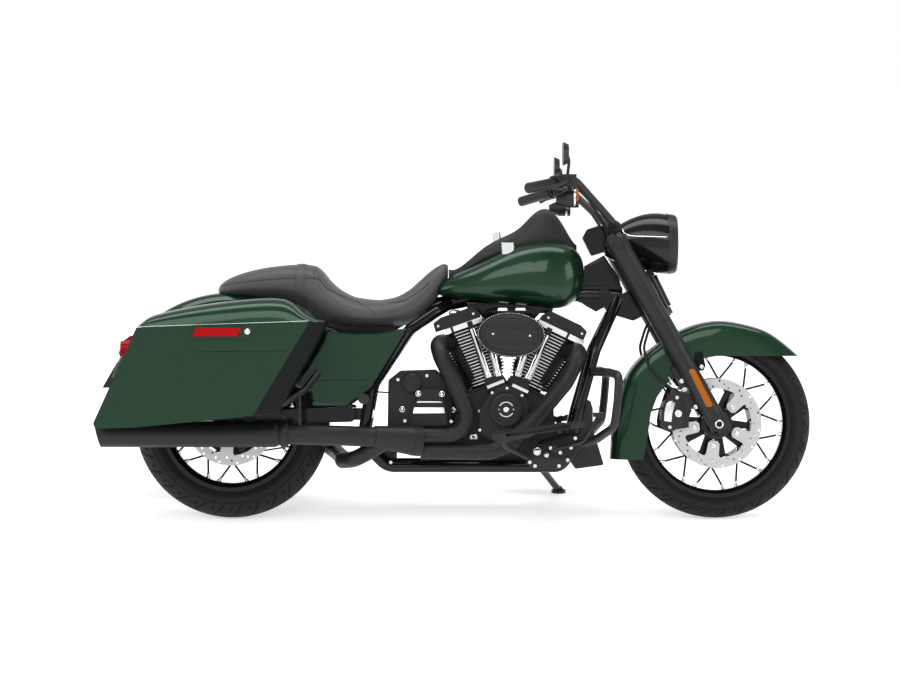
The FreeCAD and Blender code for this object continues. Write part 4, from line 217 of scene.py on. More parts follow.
class Shape:
    """A mesh being built in upright millimetres, with faces numbered by material."""

    def __init__(self) -> None:
        """Starts with nothing."""
        self.bm = bmesh.new()

    def add_grid(self, rows: Sequence[Sequence[Vector]], closed_rows: bool = False, closed_columns: bool = False,
                 material: int = 0, caps: bool = False) -> None:
        """Adds a skin over rows of points.

        Args:
            rows: Rows of equally many points.
            closed_rows: Whether the last row joins the first.
            closed_columns: Whether each row is a closed loop.
            material: The material's number.
            caps: Whether the first and last rows are filled.
        """
        made = [[self.bm.verts.new(point) for point in row] for row in rows]
        count = len(made[0])
        last_row = len(made) if closed_rows else len(made) - 1
        last_column = count if closed_columns else count - 1
        for i in range(last_row):
            above, below = made[i], made[(i + 1) % len(made)]
            for j in range(last_column):
                k = (j + 1) % count
                self._face((above[j], above[k], below[k], below[j]), material)
        if caps:
            self._face(tuple(reversed(made[0])), material)
            self._face(tuple(made[-1]), material)

    def _face(self, verts: Sequence[bmesh.types.BMVert], material: int) -> None:
        """Adds one face unless it is there already."""
        try:
            self.bm.faces.new(verts).material_index = material
        except ValueError:
            log.debug("a face was left out because it was there")

    def tube(self, points: Sequence[Point], radius: float | Sequence[float], sides: int = 16, material: int = 0,
             smooth: int = 6) -> None:
        """Adds a round tube along a smooth line through the points.

        Args:
            points: The line's points.
            radius: One radius, or one for each point.
            sides: How many sides it has round.
            material: The material's number.
            smooth: How many steps lie between two points.
        """
        radii = [radius] * len(points) if isinstance(radius, (int, float)) else list(radius)
        line = smooth_line([(*point, width) for point, width in zip(points, radii)], smooth)
        places = [Vector(row[:3]) for row in line]
        normal = None
        rows = []
        for index, place in enumerate(places):
            ahead = places[min(index + 1, len(places) - 1)] - places[max(index - 1, 0)]
            ahead.normalize()
            if normal is None:
                normal = ahead.orthogonal().normalized()
            normal = (normal - ahead * normal.dot(ahead)).normalized()
            across = ahead.cross(normal)
            rows.append(round_row(place, normal, across, line[index][3], sides))
        self.add_grid(rows, closed_columns=True, material=material, caps=True)

    def lathe(self, profile: Sequence[Flat], centre: Point, axis: Point = (0.0, 1.0, 0.0), sides: int = 48,
              material: int = 0) -> None:
        """Adds a turned piece.

        Args:
            profile: Pairs of the place along the axis and the radius.
            centre: The point on the axis where the place is 0.
            axis: The way that the axis points.
            sides: How many sides it has round.
            material: The material's number.
        """
        way = Vector(axis).normalized()
        normal = way.orthogonal().normalized()
        across = way.cross(normal)
        rows = [round_row(Vector(centre) + way * along, normal, across, max(width, 1e-4), sides)
                for along, width in profile]
        self.add_grid(rows, closed_columns=True, material=material)

    def plate(self, outline: Sequence[Flat], lift: Lift, thickness: float,
              holes: Sequence[Sequence[Flat]] = (), material: int = 0) -> None:
        """Adds a flat plate with holes, laid where lift says.

        Args:
            outline: The corners of its edge.
            lift: Turns a flat point and a height over the plate into a place.
            thickness: The plate's thickness.
            holes: The edges of its holes.
            material: The material's number.
        """
        loops = [list(outline)] + [list(hole) for hole in holes]
        points, edges = [], []
        for loop in loops:
            start = len(points)
            points += [Vector(p) for p in loop]
            edges += [(start + i, start + (i + 1) % len(loop)) for i in range(len(loop))]
        verts, _, faces, *_ = delaunay_2d_cdt(points, edges, [], 1 if not holes else 2, 1e-4)
        inside = [face for face in faces if self._in_plate(face, verts, loops)]
        top = [self.bm.verts.new(lift(v.x, v.y, thickness)) for v in verts]
        bottom = [self.bm.verts.new(lift(v.x, v.y, 0.0)) for v in verts]
        used: dict[tuple[int, int], int] = {}
        for face in inside:
            self._face([top[i] for i in face], material)
            self._face([bottom[i] for i in reversed(face)], material)
            for a, b in zip(face, list(face[1:]) + [face[0]]):
                used[(a, b)] = used.get((a, b), 0) + 1
        for a, b in used:
            if (b, a) not in used:
                self._face((top[b], top[a], bottom[a], bottom[b]), material)

    @staticmethod
    def _in_plate(face: Sequence[int], verts: Sequence[Vector], loops: Sequence[Sequence[Flat]]) -> bool:
        """Whether a flat face lies inside the outline and outside its holes."""
        x = sum(verts[i].x for i in face) / len(face)
        y = sum(verts[i].y for i in face) / len(face)
        return within(x, y, loops[0]) and not any(within(x, y, loop) for loop in loops[1:])

    def ellipsoid(self, centre: Point, radii: Point, rings: int, sides: int) -> None:
        """Adds a closed ball with three radii.

        Args:
            centre: Its middle.
            radii: Its three radii.
            rings: How many rings it has from pole to pole.
            sides: How many sides each ring has.
        """
        rows = []
        for i in range(rings + 1):
            lat = math.pi * (i / rings - 0.5)
            ring = max(math.cos(lat), 1e-4)
            rows.append([Vector(centre) + Vector((radii[0] * ring * math.cos(turn), radii[1] * ring * math.sin(turn),
                                                  radii[2] * math.sin(lat))) for turn in turns(sides)])
        self.add_grid(rows, closed_columns=True)

    def copy_node(self, name: str) -> None:
        """Adds a merged copy of a CAD node's mesh."""
        back = PARKING.matrix().inverted()
        mesh = frame["nodes"][name].data
        verts = [self.bm.verts.new(back @ v.co) for v in mesh.vertices]
        for polygon in mesh.polygons:
            self._face([verts[i] for i in polygon.vertices], 0)
        bmesh.ops.remove_doubles(self.bm, verts=verts, dist=0.02)

    def finish(self, name: str, body: Body, finishes: Sequence["Finish"], slot: str, replaces: Sequence[str] = (),
               sharp: float = 30.0, bevel: float = 0.0, merge: float = 0.01, outward: bool = True) -> bpy.types.Object:
        """Makes the shape an object in the row frame that rides on a body.

        Args:
            name: The piece's name.
            body: The body that it rides on.
            finishes: Its finishes, in the order of their numbers.
            slot: The record's slot that it takes its finish from.
            replaces: The CAD nodes that it stands for.
            sharp: The angle in degrees over which an edge stays sharp.
            bevel: The width of the rounding on its sharp edges, in millimetres.
            merge: The distance under which points are merged, in millimetres.
            outward: Whether the faces are turned outwards again.

        Returns:
            The finished object.
        """
        if merge:
            bmesh.ops.remove_doubles(self.bm, verts=self.bm.verts[:], dist=merge)
        bmesh.ops.dissolve_degenerate(self.bm, edges=self.bm.edges[:], dist=1e-4)
        if outward:
            bmesh.ops.recalc_face_normals(self.bm, faces=self.bm.faces[:])
        self.bm.transform(PARKING.matrix())
        mesh = bpy.data.meshes.new(name)
        self.bm.to_mesh(mesh)
        self.bm.free()
        obj = new_object(name, mesh)
        for finish in finishes:
            mesh.materials.append(finish.material())
        if bevel:
            rounding = obj.modifiers.new("rounding", "BEVEL")
            rounding.width = bevel / 1000
            rounding.segments = 2
            rounding.limit_method = "ANGLE"
            rounding.angle_limit = math.radians(30)
            rounding.use_clamp_overlap = True
            bake(obj)
        smooth(obj, sharp)
        return settle(obj, body, slot, replaces)


def within(x: float, y: float, loop: Sequence[Flat]) -> bool:
    """Whether a flat point lies inside a loop."""
    inside = False
    for (x1, y1), (x2, y2) in zip(loop, list(loop[1:]) + [loop[0]]):
        if (y1 > y) != (y2 > y) and x < (x2 - x1) * (y - y1) / (y2 - y1) + x1:
            inside = not inside
    return inside


def smooth_line(points: Sequence[Sequence[float]], steps: int) -> list[list[float]]:
    """A smooth line through points of any dimension.

    Args:
        points: The points that it goes through.
        steps: How many steps lie between two of them.

    Returns:
        The line's points.
    """
    p = np.array(points, float)
    if steps <= 1 or len(p) < 3:
        return p.tolist()
    n = len(p)
    line = []
    for i in range(n - 1):
        a = p[i - 1] if i > 0 else 2 * p[0] - p[1]
        b, c = p[i], p[i + 1]
        d = p[i + 2] if i < n - 2 else 2 * p[-1] - p[-2]
        for k in range(steps):
            t = k / steps
            line.append(0.5 * (2 * b + (c - a) * t + (2 * a - 5 * b + 4 * c - d) * t * t
                               + (3 * b - a - 3 * c + d) * t ** 3))
    return np.array(line + [p[-1]]).tolist()


def bake(obj: bpy.types.Object) -> None:
    """Turns an object with modifiers into a plain mesh."""
    graph = bpy.context.evaluated_depsgraph_get()
    mesh = bpy.data.meshes.new_from_object(obj.evaluated_get(graph))
    obj.modifiers.clear()
    old = obj.data
    obj.data = mesh
    bpy.data.meshes.remove(old)
    mesh.name = obj.name


def smooth(obj: bpy.types.Object, angle: float) -> None:
    """Shades an object smoothly, with edges over an angle kept sharp."""
    obj.data.shade_smooth()
    obj.data.set_sharp_from_angle(angle=math.radians(angle))


def settle(obj: bpy.types.Object, body: Body, slot: str, replaces: Sequence[str] = ()) -> bpy.types.Object:
    """Ties a finished piece to its body, its slot and the nodes that it replaces."""
    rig.ride(obj, body.value)
    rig.slot(obj, slot)
    if replaces:
        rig.replaces(obj, *replaces)
    log.info("%s: %d faces on %s", obj.name, len(obj.data.polygons), body.value)
    return obj


def side_lift(y: float, outward: float = -1.0) -> Lift:
    """Lays a flat point on the machine's side: X and Z from the plan, and the height away from the middle."""
    return lambda x, z, h: Vector((x, y + outward * h, z))


def disc_points(centre: Flat, radius: float, sides: int) -> list[Flat]:
    """The corners of a round hole or disc."""
    return [(centre[0] + radius * math.cos(turn), centre[1] + radius * math.sin(turn)) for turn in turns(sides)]


def turns(sides: int) -> list[float]:
    """Evenly spaced angles once round."""
    return [2 * math.pi * k / sides for k in range(sides)]


def round_row(middle: Vector, normal: Vector, across: Vector, radius: float, sides: int) -> list[Vector]:
    """The corners of a circle round a middle."""
    return [middle + (normal * math.cos(turn) + across * math.sin(turn)) * radius for turn in turns(sides)]


def new_object(name: str, data: bpy.types.ID) -> bpy.types.Object:
    """A new object in the scene, with its mesh, lamp or camera."""
    obj = bpy.data.objects.new(name, data)
    bpy.context.scene.collection.objects.link(obj)
    return obj


def superellipse(half_x: float, half_y: float, power: float = 4.0, sides: int = 48) -> list[Flat]:
    """The corners of a rounded oblong."""
    corners = []
    for turn in turns(sides):
        c, s = math.cos(turn), math.sin(turn)
        corners.append((half_x * math.copysign(abs(c) ** (2 / power), c),
                        half_y * math.copysign(abs(s) ** (2 / power), s)))
    return corners


def sided(name: str, side: int) -> str:
    """A piece's name with its side of the machine, -1 being the right."""
    return name + ("_right" if side < 0 else "_left")


Colour = tuple[float, float, float]
Tree = bpy.types.NodeTree
Socket = bpy.types.NodeSocket


class Wiring:
    """A node tree with short ways to place its nodes and join them."""

    def __init__(self, tree: Tree) -> None:
        """Takes the tree."""
        self.tree = tree

    def feed(self, node: bpy.types.Node, inputs: dict[str | int, object]) -> None:
        """Feeds a node's inputs, by name or number, with sockets or constants."""
        for label, value in inputs.items():
            if isinstance(value, Socket):
                self.tree.links.new(value, node.inputs[label])
            else:
                node.inputs[label].default_value = value

    def add(self, kind: str, inputs: dict[str | int, object], **settings: object) -> Sequence[Socket]:
        """Places a node, with its settings made before its inputs are fed.

        Args:
            kind: The node's type.
            inputs: Its inputs by name or number, each a socket or a constant.
            settings: Its other settings.

        Returns:
            The node's outputs.
        """
        node = self.tree.nodes.new(kind)
        for label, value in settings.items():
            setattr(node, label, value)
        self.feed(node, inputs)
        return node.outputs

    def sums(self, operation: str, *values: Socket | float) -> Socket:
        """One step of arithmetic."""
        return self.add("ShaderNodeMath", dict(enumerate(values)), operation=operation)[0]

    def object_place(self) -> Socket:
        """The Object coordinates."""
        return self.add("ShaderNodeTexCoord", {})["Object"]


class Group(Wiring):
    """A node group with named inputs and outputs."""

    kinds = {float: "Float", int: "Int", tuple: "Vector"}

    def __init__(self, kind: str, name: str, inputs: dict[str, object], *outputs: str) -> None:
        """Makes the group and its sockets.

        Args:
            kind: The tree's type.
            name: The group's name.
            inputs: Each input's default, or the name of its kind where it has none.
            outputs: The outputs' names.
        """
        super().__init__(bpy.data.node_groups.new(name, kind))
        for label, value in inputs.items():
            sort = value if isinstance(value, str) else self.kinds[type(value)]
            socket = self.tree.interface.new_socket(label, in_out="INPUT", socket_type="NodeSocket" + sort)
            if sort != value:
                socket.default_value = value
        for label in outputs:
            sort = "Geometry" if label == "Geometry" else "Float"
            self.tree.interface.new_socket(label, in_out="OUTPUT", socket_type="NodeSocket" + sort)
        self.given = self.tree.nodes.new("NodeGroupInput").outputs
        self.last = self.tree.nodes.new("NodeGroupOutput")

    def give(self, **outputs: Socket) -> Tree:
        """Joins the outputs and returns the tree."""
        self.feed(self.last, outputs)
        return self.tree

    def lay(self, points: Socket, part: Socket, size: Socket, **turn: Socket) -> Tree:
        """Puts a part on points and ends the tree in Realize Instances and Set Material.

        Args:
            points: The points.
            part: What stands on each.
            size: Its scale there.
            turn: Its rotation, where it has one.

        Returns:
            The tree.
        """
        put = self.add("GeometryNodeInstanceOnPoints", {"Points": points, "Instance": part, "Scale": size, **turn})[0]
        real = self.add("GeometryNodeRealizeInstances", {"Geometry": put})[0]
        return self.give(Geometry=self.add("GeometryNodeSetMaterial", {"Geometry": real,
                                                                       "Material": self.given["Material"]})[0])


class NodeGroups:
    """The shader groups that finishes share, each built once."""

    @staticmethod
    @cache
    def grain() -> Tree:
        """Fine moulded or cast grain: a height and a slow mottle, by Object coordinates."""
        net = Group("ShaderNodeTree", "fine_grain", {"Scale": 900.0, "Mottle scale": 9.0}, "Height", "Mottle")
        place = net.object_place()
        fine = net.add("ShaderNodeTexNoise", {"Vector": place, "Scale": net.given["Scale"], "Detail": 3.0})
        slow = net.add("ShaderNodeTexNoise", {"Vector": place, "Scale": net.given["Mottle scale"], "Detail": 4.0})
        return net.give(Height=fine["Fac"], Mottle=slow["Fac"])

    @staticmethod
    @cache
    def dust() -> Tree:
        """A mask of road dust: more of it low down and on faces that look up."""
        net = Group("ShaderNodeTree", "road_dust", {"Amount": 0.3, "Reach": 0.55}, "Mask")
        place = net.add("ShaderNodeTexCoord", {})
        patches = net.add("ShaderNodeTexNoise", {"Vector": place["Object"], "Scale": 14.0, "Detail": 6.0})["Fac"]
        height, facing = (net.add("ShaderNodeSeparateXYZ", {"Vector": place[label]})["Z"] for label in ("Object",
                                                                                                        "Normal"))
        mask = net.given["Amount"]
        for limits in ({"Value": height, "From Max": net.given["Reach"], "To Min": 1.0, "To Max": 0.12},
                       {"Value": facing, "From Min": -0.4, "To Min": 0.3},
                       {"Value": patches, "From Min": 0.38, "From Max": 0.72}):
            mask = net.sums("MULTIPLY", mask, net.add("ShaderNodeMapRange", limits)["Result"])
        return net.give(Mask=mask)

    @staticmethod
    @cache
    def hairline() -> Tree:
        """Fine scratches stretched along one direction of the Object coordinates."""
        net = Group("ShaderNodeTree", "hairlines", {"Stretch": (8.0, 600.0, 600.0)}, "Height")
        drawn = net.add("ShaderNodeVectorMath", {0: net.object_place(), 1: net.given["Stretch"]}, operation="MULTIPLY")
        return net.give(Height=net.add("ShaderNodeTexNoise", {"Vector": drawn["Vector"], "Scale": 1.0,
                                                              "Detail": 2.0})["Fac"])

    @staticmethod
    @cache
    def leather() -> Tree:
        """Grained vinyl: a height of small pebbles with creases, and a slow mottle."""
        net = Group("ShaderNodeTree", "vinyl_grain", {"Pebble scale": 420.0}, "Height", "Mottle")
        place = net.object_place()
        cells = net.add("ShaderNodeTexVoronoi", {"Vector": place, "Scale": net.given["Pebble scale"]},
                        feature="DISTANCE_TO_EDGE")["Distance"]
        noise, slow = (net.add("ShaderNodeTexNoise", {"Vector": place, "Scale": scale})["Fac"] for scale in (160.0,
                                                                                                             12.0))
        return net.give(Height=net.sums("MULTIPLY_ADD", noise, 0.5, cells), Mottle=slow)


@dataclass(frozen=True)
class Finish:
    """A procedural finish on Object coordinates."""

    name: str
    colour: Colour
    second: Colour
    metallic: float = 0.0
    roughness: float = 0.4
    spread: float = 0.1
    bump: float = 0.05
    grain: float = 900.0
    mottle: float = 9.0
    dust: float = 0.0
    coat: float = 0.0
    coat_roughness: float = 0.03
    specular: float = 0.5
    sheen: float = 0.0

    def material(self) -> bpy.types.Material:
        """The finish as a material, made once."""
        found = bpy.data.materials.get(self.name)
        if found:
            return found
        made = bpy.data.materials.new(self.name)
        made.use_nodes = True
        made.diffuse_color = (*self.colour, 1.0)
        net = Wiring(made.node_tree)
        shader = made.node_tree.nodes["Principled BSDF"]
        net.feed(shader, {"Metallic": self.metallic, "Specular IOR Level": self.specular, "Coat Weight": self.coat,
                          "Coat Roughness": self.coat_roughness, "Sheen Weight": self.sheen})
        self.dress(net, shader)
        return made

    def dress(self, net: Wiring, shader: bpy.types.Node) -> None:
        """Wires the mottle, the dust, the roughness and the grain into the shader."""
        grain = self.grained(net)
        self.paint(net, shader, grain["Mottle"])
        self.raise_grain(net, shader, grain["Height"])

    def grained(self, net: Wiring) -> Sequence[Socket]:
        """Places the fine grain with this finish's own scales."""
        return net.add("ShaderNodeGroup", {"Scale": self.grain, "Mottle scale": self.mottle},
                       node_tree=NodeGroups.grain())

    def paint(self, net: Wiring, shader: bpy.types.Node, mottle: Socket) -> None:
        """Mixes the two colours by the mottle, lays the dust over them and sets the roughness."""
        colour = net.add("ShaderNodeMix", {"Factor": mottle, "A": (*self.colour, 1.0), "B": (*self.second, 1.0)},
                         data_type="RGBA")["Result"]
        rough = net.sums("MULTIPLY_ADD", mottle, self.spread, self.roughness)
        if self.dust:
            mask = net.add("ShaderNodeGroup", {"Amount": self.dust}, node_tree=NodeGroups.dust())["Mask"]
            colour = net.add("ShaderNodeMix", {"Factor": mask, "A": colour, "B": (0.10, 0.095, 0.085, 1.0)},
                             data_type="RGBA")["Result"]
            rough = net.sums("MULTIPLY_ADD", mask, 0.5, rough)
        net.feed(shader, {"Base Color": colour, "Roughness": rough})

    def raise_grain(self, net: Wiring, shader: bpy.types.Node, height: Socket, distance: float = 0.0006) -> None:
        """Feeds a height into the shader's normal."""
        if self.bump:
            net.feed(shader, {"Normal": net.add("ShaderNodeBump", {"Strength": self.bump, "Distance": distance,
                                                                   "Height": height})["Normal"]})


@dataclass(frozen=True)
class FlakePaint(Finish):
    """Metallic paint with fine flakes under a clear coat."""

    flake: float = 2600.0

    def dress(self, net: Wiring, shader: bpy.types.Node) -> None:
        """Wires the flakes' glitter into the colour and the normal."""
        cells = net.add("ShaderNodeTexVoronoi", {"Vector": net.object_place(), "Scale": self.flake})["Color"]
        split = net.add("ShaderNodeSeparateColor", {"Color": cells})
        self.paint(net, shader, split["Red"])
        self.raise_grain(net, shader, split["Green"], 0.00002)
        net.feed(shader, {"Coat Tint": (0.97, 1.0, 0.98, 1.0)})


@dataclass(frozen=True)
class BrushedMetal(Finish):
    """Bare metal with hairlines along one direction."""

    stretch: Point = (8.0, 600.0, 600.0)

    def dress(self, net: Wiring, shader: bpy.types.Node) -> None:
        """Wires the hairlines into the roughness and the normal."""
        lines = net.add("ShaderNodeGroup", {"Stretch": self.stretch}, node_tree=NodeGroups.hairline())["Height"]
        self.paint(net, shader, lines)
        self.raise_grain(net, shader, lines, 0.0002)


@dataclass(frozen=True)
class GrainedVinyl(Finish):
    """Vinyl with a pebbled grain."""

    pebble: float = 420.0

    def dress(self, net: Wiring, shader: bpy.types.Node) -> None:
        """Wires the pebbles into the colour, the roughness and the normal."""
        grain = net.add("ShaderNodeGroup", {"Pebble scale": self.pebble}, node_tree=NodeGroups.leather())
        self.paint(net, shader, grain["Mottle"])
        self.raise_grain(net, shader, grain["Height"], 0.0005)


@dataclass(frozen=True)
class ClearLens(Finish):
    """Clear or coloured lamp plastic with moulded ribs."""

    transmission: float = 0.6
    rib_scale: float = 160.0

    def dress(self, net: Wiring, shader: bpy.types.Node) -> None:
        """Wires the ribs into the normal."""
        net.feed(shader, {"Transmission Weight": self.transmission, "IOR": 1.49})
        ribs = net.add("ShaderNodeTexWave", {"Vector": net.object_place(), "Scale": self.rib_scale},
                       bands_direction="X")
        self.paint(net, shader, self.grained(net)["Mottle"])
        self.raise_grain(net, shader, ribs["Fac"])


GREEN_PAINT = FlakePaint("metallic_green_paint", (0.003, 0.021, 0.008), (0.009, 0.042, 0.018), metallic=0.55,
                         roughness=0.28,
                         spread=0.10, bump=0.25, coat=0.42, coat_roughness=0.02, specular=0.15)
# Near-black green that stands for painted shade and dark reflection: on the forward-turned flanks of the bags and side
# covers, in the creases and on the fender tabs.
PAINTED_SHADE = Finish("dark_paint_flank", (0.0012, 0.0022, 0.0022), (0.0024, 0.004, 0.004), roughness=0.40, spread=0.06,
                    coat=0.0,
                    specular=0.12)
# Pale green-grey: a painted highlight along the lids' lips.
PAINTED_HIGHLIGHT = Finish("paint_edge_sheen", (0.26, 0.33, 0.30), (0.34, 0.40, 0.38), metallic=0.6, roughness=0.22,
                    spread=0.08)
GLOSS_BLACK = Finish("gloss_black", (0.003, 0.003, 0.0035), (0.006, 0.006, 0.006), roughness=0.10, spread=0.06,
                     bump=0.02,
                     dust=0.03, specular=0.28)
SATIN_BLACK = Finish("satin_black", (0.009, 0.009, 0.0095), (0.014, 0.014, 0.0145), roughness=0.34, spread=0.14,
                     bump=0.08,
                     grain=1400.0, dust=0.04, specular=0.30)
MATTE_BLACK = Finish("matte_black_heat_coat", (0.005, 0.005, 0.005), (0.010, 0.010, 0.010), roughness=0.40, spread=0.16,
                     bump=0.10, grain=1600.0, dust=0.03, specular=0.30)
CAST_BLACK = Finish("black_cast_alloy", (0.004, 0.004, 0.0045), (0.009, 0.009, 0.0095), roughness=0.36, spread=0.18,
                    bump=0.30,
                    grain=700.0, dust=0.06, specular=0.30)
BLACK_PLASTIC = Finish("moulded_black_plastic", (0.009, 0.009, 0.0095), (0.014, 0.014, 0.0145), roughness=0.40,
                       spread=0.14,
                       bump=0.25, grain=1500.0, dust=0.03, specular=0.30)
CHROME = Finish("chrome", (0.80, 0.81, 0.83), (0.74, 0.74, 0.76), metallic=1.0, roughness=0.06, spread=0.06, bump=0.01)
POLISHED = Finish("polished_alloy", (0.88, 0.88, 0.89), (0.80, 0.80, 0.82), metallic=1.0, roughness=0.18, spread=0.10,
                  bump=0.03, grain=600.0)
MACHINED = BrushedMetal("machined_alloy", (0.74, 0.74, 0.75), (0.55, 0.55, 0.56), metallic=1.0, roughness=0.26,
                        spread=0.2,
                        bump=0.2)
DISC_STEEL = BrushedMetal("brushed_disc_steel", (0.46, 0.46, 0.47), (0.58, 0.58, 0.59), metallic=1.0, roughness=0.30,
                          spread=0.22, bump=0.2, stretch=(500.0, 500.0, 500.0))
TYRE_RUBBER = Finish("soft_tyre_rubber", (0.006, 0.006, 0.006), (0.010, 0.010, 0.010), roughness=0.58, spread=0.16,
                     bump=0.2,
                     grain=900.0, dust=0.02, specular=0.20)
BLACK_RUBBER = Finish("black_rubber", (0.008, 0.008, 0.008), (0.014, 0.014, 0.014), roughness=0.55, spread=0.2,
                      bump=0.2,
                      grain=800.0, dust=0.05, specular=0.28)
SEAT_VINYL = GrainedVinyl("grained_seat_vinyl", (0.036, 0.036, 0.0365), (0.052, 0.052, 0.0525), roughness=0.42,
                          spread=0.16, bump=0.45,
                          sheen=0.08, specular=0.38)
RED_LENS = ClearLens("red_lens_glass", (0.27, 0.0006, 0.001), (0.32, 0.001, 0.002), roughness=0.12, bump=0.2, coat=0.05,
                     transmission=0.0, specular=0.1)
AMBER_LENS = ClearLens("amber_lens_glass", (0.30, 0.082, 0.002), (0.35, 0.10, 0.004), roughness=0.14, bump=0.25,
                       coat=0.05,
                       transmission=0.0, specular=0.1)
LAMP_GLASS = ClearLens("lamp_glass", (0.86, 0.89, 0.92), (0.92, 0.94, 0.96), roughness=0.03, bump=0.05,
                       transmission=0.95)


class Repeats:
    """The Geometry Nodes trees for what repeats, each built once."""

    @staticmethod
    @cache
    def along_line() -> Tree:
        """Small capsules laid end to end along edges, such as stitches."""
        net = Group("GeometryNodeTree", "capsules_along_line", {
            "Geometry": "Geometry", "Pitch": 0.004, "Length": 0.0026, "Radius": 0.0005, "Material": "Material"},
            "Geometry")
        given = net.given
        line = net.add("GeometryNodeMeshToCurve", {"Mesh": given["Geometry"]})["Curve"]
        spaced = net.add("GeometryNodeCurveToPoints", {"Curve": line, "Length": given["Pitch"]}, mode="LENGTH")
        bead = net.add("GeometryNodeMeshUVSphere", {"Segments": 6, "Rings": 4, "Radius": 1.0})["Mesh"]
        aim = net.add("FunctionNodeAlignRotationToVector", {"Vector": spaced["Tangent"]}, axis="Z")["Rotation"]
        size = net.add("ShaderNodeCombineXYZ", {"X": given["Radius"], "Y": given["Radius"],
                                                "Z": net.sums("MULTIPLY", given["Length"], 0.5)})["Vector"]
        return net.lay(spaced["Points"], bead, size, Rotation=aim)

    @staticmethod
    @cache
    def on_points() -> Tree:
        """One small part put on every point, turned to the point's stored axis and sized by its stored radius."""
        net = Group("GeometryNodeTree", "parts_on_points", {
            "Geometry": "Geometry", "Part": "Object", "Size": 1.0, "Material": "Material"}, "Geometry")
        axis, width = (net.add("GeometryNodeInputNamedAttribute", {"Name": name}, data_type=kind)["Attribute"]
                       for name, kind in (("axis", "FLOAT_VECTOR"), ("width", "FLOAT")))
        part = net.add("GeometryNodeObjectInfo", {"Object": net.given["Part"]})["Geometry"]
        points = net.add("GeometryNodeMeshToPoints", {"Mesh": net.given["Geometry"]})["Points"]
        aim = net.add("FunctionNodeAlignRotationToVector", {"Vector": axis}, axis="Z")["Rotation"]
        return net.lay(points, part, net.sums("MULTIPLY", width, net.given["Size"]), Rotation=aim)

    @staticmethod
    @cache
    def stack() -> Tree:
        """Rounded rims stacked along Z, each reaching a little farther out than the one below."""
        net = Group("GeometryNodeTree", "stacked_rims", {
            "Geometry": "Geometry", "Count": 18, "Pitch": 10.8, "First outer": 62.0, "Outer growth": 1.62,
            "First inner": 62.2, "Inner growth": 4.47, "Inner limit": 80.0, "Half depth": 79.0, "Corner": 40.0,
            "Rim": 1.7, "Height": 3.2, "Material": "Material"}, "Geometry")
        given, sums = net.given, net.sums
        index = net.add("GeometryNodeInputIndex", {})[0]
        outer = sums("MULTIPLY_ADD", index, given["Outer growth"], given["First outer"])
        inner = sums("MINIMUM", sums("MULTIPLY_ADD", index, given["Inner growth"], given["First inner"]),
                     given["Inner limit"])
        first = sums("ADD", given["First outer"], given["First inner"])
        step = net.add("ShaderNodeCombineXYZ", {"Z": given["Pitch"]})["Vector"]
        line = net.add("GeometryNodeMeshLine", {"Count": given["Count"], "Offset": step})["Mesh"]
        shift = net.add("ShaderNodeCombineXYZ", {"X": sums("MULTIPLY", sums("SUBTRACT", outer, inner), 0.5)})["Vector"]
        points = net.add("GeometryNodeSetPosition", {"Geometry": line, "Offset": shift})["Geometry"]
        edge = net.add("GeometryNodeCurvePrimitiveQuadrilateral", {
            "Width": first, "Height": sums("MULTIPLY", given["Half depth"], 2.0)})["Curve"]
        section = net.add("GeometryNodeCurvePrimitiveQuadrilateral", {"Width": given["Rim"], "Height": given["Height"]})
        rounded = net.add("GeometryNodeFilletCurve", {"Curve": edge, "Count": 8, "Radius": given["Corner"]},
                          mode="POLY")
        rim = net.add("GeometryNodeCurveToMesh", {"Curve": rounded["Curve"], "Profile Curve": section["Curve"]})["Mesh"]
        size = net.add("ShaderNodeCombineXYZ", {"X": sums("DIVIDE", sums("ADD", outer, inner), first), "Y": 1.0,
                                                "Z": 1.0})
        return net.lay(points, rim, size["Vector"])


def apply_tree(obj: bpy.types.Object, tree: Tree, values: dict[str, object]) -> None:
    """Runs a tree on an object with the given inputs and leaves a plain mesh.

    Args:
        obj: The object whose mesh feeds the tree.
        tree: The tree.
        values: The inputs' values by name.
    """
    modifier = obj.modifiers.new("repeat", "NODES")
    modifier.node_group = tree
    for item in tree.interface.items_tree:
        if item.in_out == "INPUT" and item.name in values:
            modifier[item.identifier] = values[item.name]
    bake(obj)
    obj.data.materials.clear()
    obj.data.materials.append(values["Material"])
    obj.data.polygons.foreach_set("material_index", [0] * len(obj.data.polygons))


def stitch_rows(name: str, lines: Sequence[Sequence[Point]], body: Body, finish: Finish, slot: str,
                pitch: float = 5.0, length: float = 3.6, radius: float = 0.7) -> bpy.types.Object:
    """Lays stitches along lines.

    Args:
        name: The piece's name.
        lines: The lines in upright millimetres.
        body: The body that they ride on.
        finish: Their finish.
        slot: The record's slot.
        pitch: The distance between two stitches.
        length: A stitch's length.
        radius: A stitch's radius.

    Returns:
        The finished object.
    """
    verts, edges = [], []
    for line in lines:
        start = len(verts)
        verts += [PARKING.point(p) for p in line]
        edges += [(start + i, start + i + 1) for i in range(len(line) - 1)]
    mesh = bpy.data.meshes.new(name)
    mesh.from_pydata(verts, edges, [])
    obj = new_object(name, mesh)
    apply_tree(obj, Repeats.along_line(), {"Pitch": pitch / 1000, "Length": length / 1000, "Radius": radius / 1000,
                                           "Material": finish.material()})
    smooth(obj, 60)
    return settle(obj, body, slot)


class Fastener(Enum):
    """The small parts that hold the machine together."""

    SOCKET = "socket_screw"
    HEX = "hex_bolt"
    DOME = "dome_nut"
    BUTTON = "button_screw"


